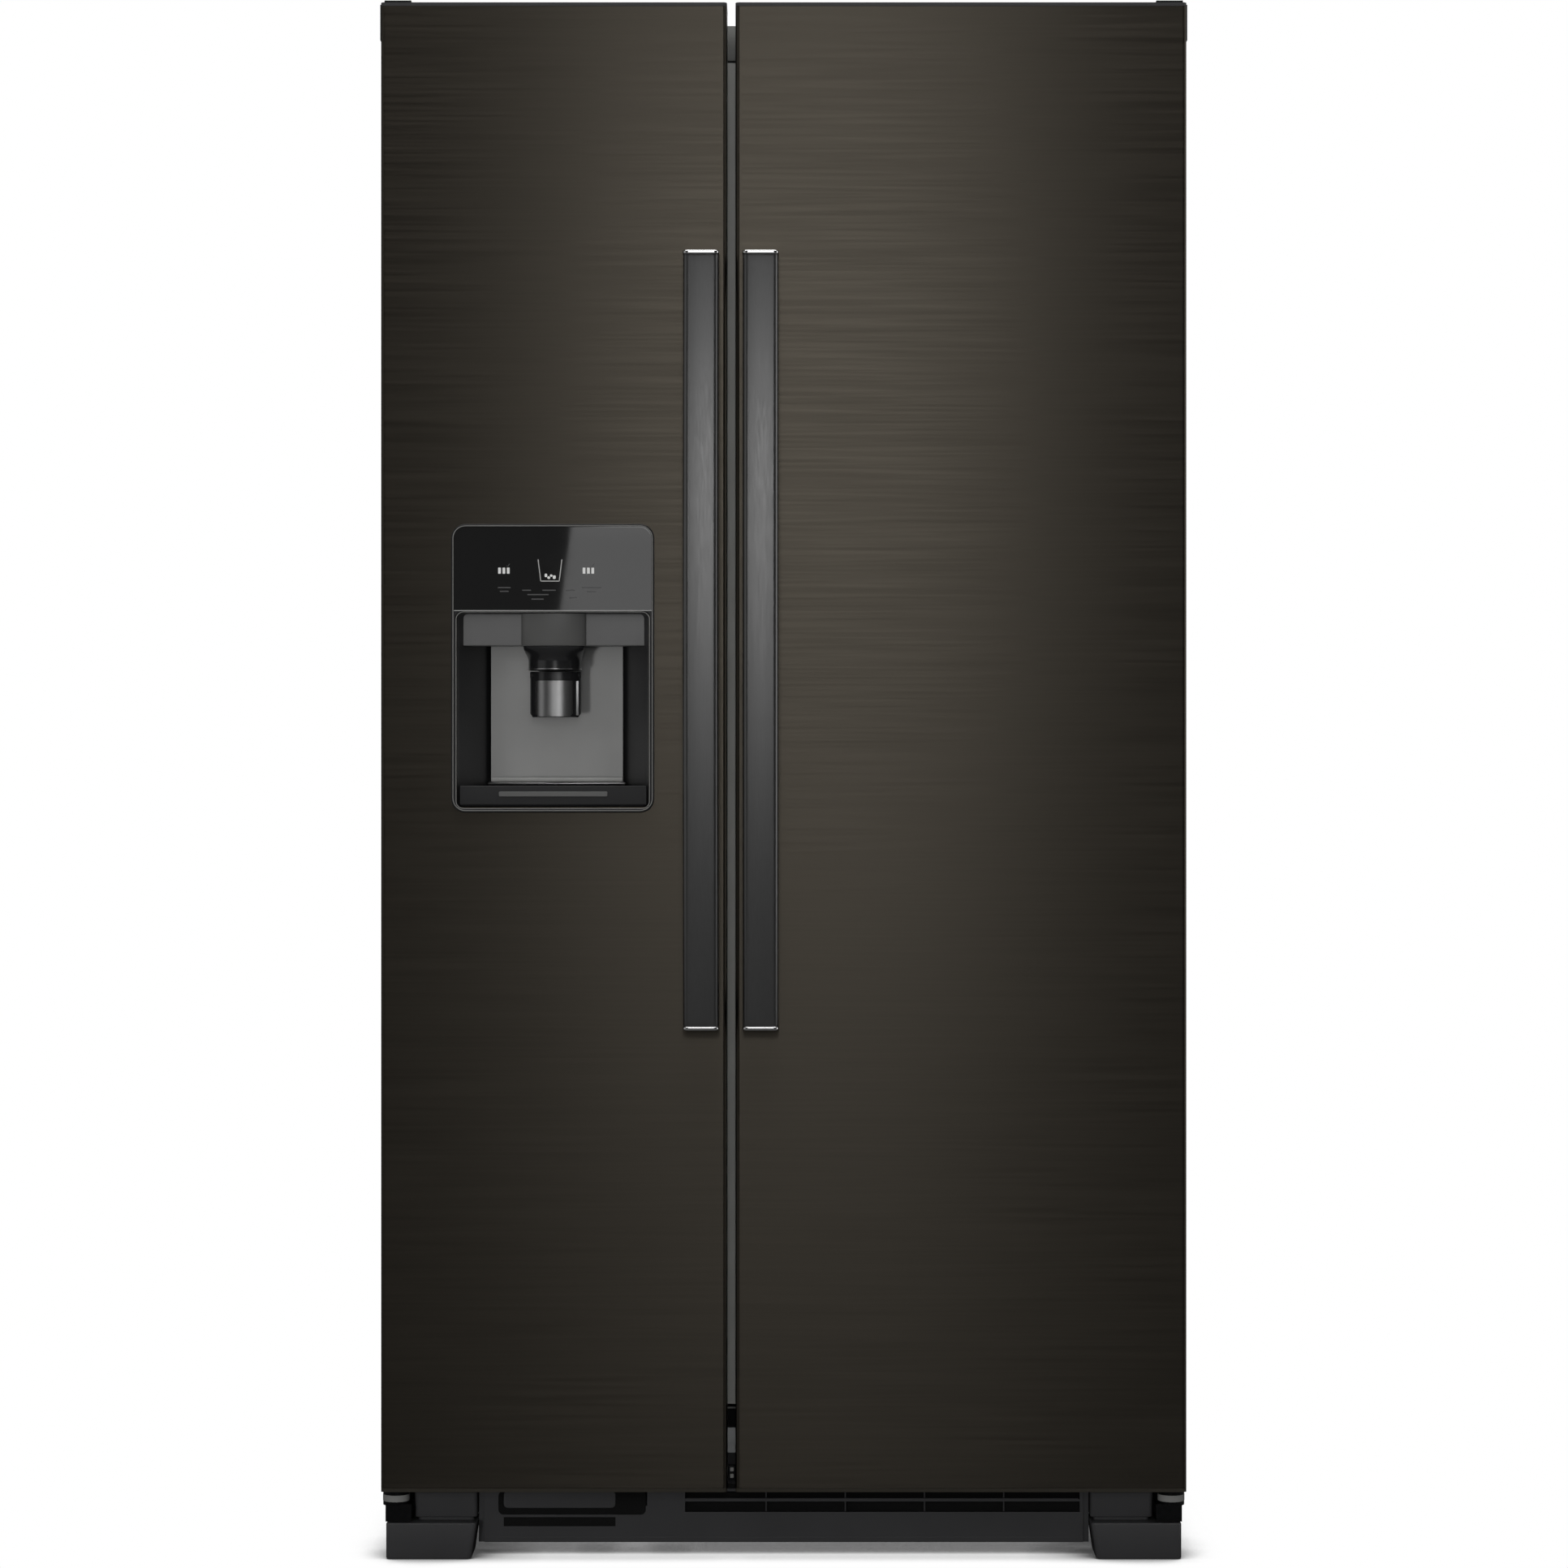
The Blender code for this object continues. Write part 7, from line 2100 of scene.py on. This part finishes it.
class REFRIGERATOR_OT_shelves(bpy.types.Operator):
    """Make the shelves, drawers and ice parts"""

    bl_idname = "refrigerator.shelves"
    bl_label = "Shelves and drawers"

    def execute(self, context):
        for node in ("crisper_cover", "fridge_shelf_lower", "fridge_shelf_upper", "freezer_shelf"):
            make_shelf(node)
        for node in ("crisper_drawer", "freezer_basket"):
            make_drawer(node)
        make_ice_parts()
        return {"FINISHED"}


class REFRIGERATOR_OT_cabinet(bpy.types.Operator):
    """Make the cabinet's front trims, back, hinge covers and cams"""

    bl_idname = "refrigerator.cabinet"
    bl_label = "Cabinet"

    def execute(self, context):
        make_front_rails()
        make_back()
        make_hinge_covers()
        make_hinges()
        return {"FINISHED"}


class REFRIGERATOR_OT_base(bpy.types.Operator):
    """Make the grille's details, foot covers, feet and rollers"""

    bl_idname = "refrigerator.base"
    bl_label = "Base"

    def execute(self, context):
        make_base_front()
        make_foot_covers()
        make_feet()
        return {"FINISHED"}


class REFRIGERATOR_OT_machine(bpy.types.Operator):
    """Make the machine space's parts"""

    bl_idname = "refrigerator.machine"
    bl_label = "Machine space"

    def execute(self, context):
        make_machine()
        return {"FINISHED"}


OPERATORS = (
    REFRIGERATOR_OT_stage,
    REFRIGERATOR_OT_finishes,
    REFRIGERATOR_OT_doors,
    REFRIGERATOR_OT_handles,
    REFRIGERATOR_OT_dispenser,
    REFRIGERATOR_OT_door_insides,
    REFRIGERATOR_OT_compartments,
    REFRIGERATOR_OT_shelves,
    REFRIGERATOR_OT_cabinet,
    REFRIGERATOR_OT_base,
    REFRIGERATOR_OT_machine,
)


class REFRIGERATOR_PT_panel(bpy.types.Panel):
    """The refrigerator's pieces, one button each"""

    bl_idname = "REFRIGERATOR_PT_panel"
    bl_label = "Refrigerator"
    bl_space_type = "VIEW_3D"
    bl_region_type = "UI"
    bl_category = "Refrigerator"

    def draw(self, context):
        for group in (context.scene.refrigerator_sizes, context.scene.refrigerator_colours):
            for name in group.__annotations__:
                self.layout.prop(group, name)
        for operator in OPERATORS:
            self.layout.operator(operator.bl_idname)


CLASSES = (RefrigeratorColours, RefrigeratorSizes, *OPERATORS, REFRIGERATOR_PT_panel)


def register():
    for made in CLASSES:
        bpy.utils.register_class(made)
    bpy.types.Scene.refrigerator_colours = bpy.props.PointerProperty(type=RefrigeratorColours)
    bpy.types.Scene.refrigerator_sizes = bpy.props.PointerProperty(type=RefrigeratorSizes)


def unregister():
    del bpy.types.Scene.refrigerator_sizes
    del bpy.types.Scene.refrigerator_colours
    for made in reversed(CLASSES):
        bpy.utils.unregister_class(made)


def main():
    register()
    bpy.ops.refrigerator.finishes()
    bpy.ops.refrigerator.stage()
    for operator in OPERATORS[2:]:
        group, name = operator.bl_idname.split(".")
        getattr(getattr(bpy.ops, group), name)()
    bpy.context.view_layer.update()


if __name__ == "__main__":
    main()
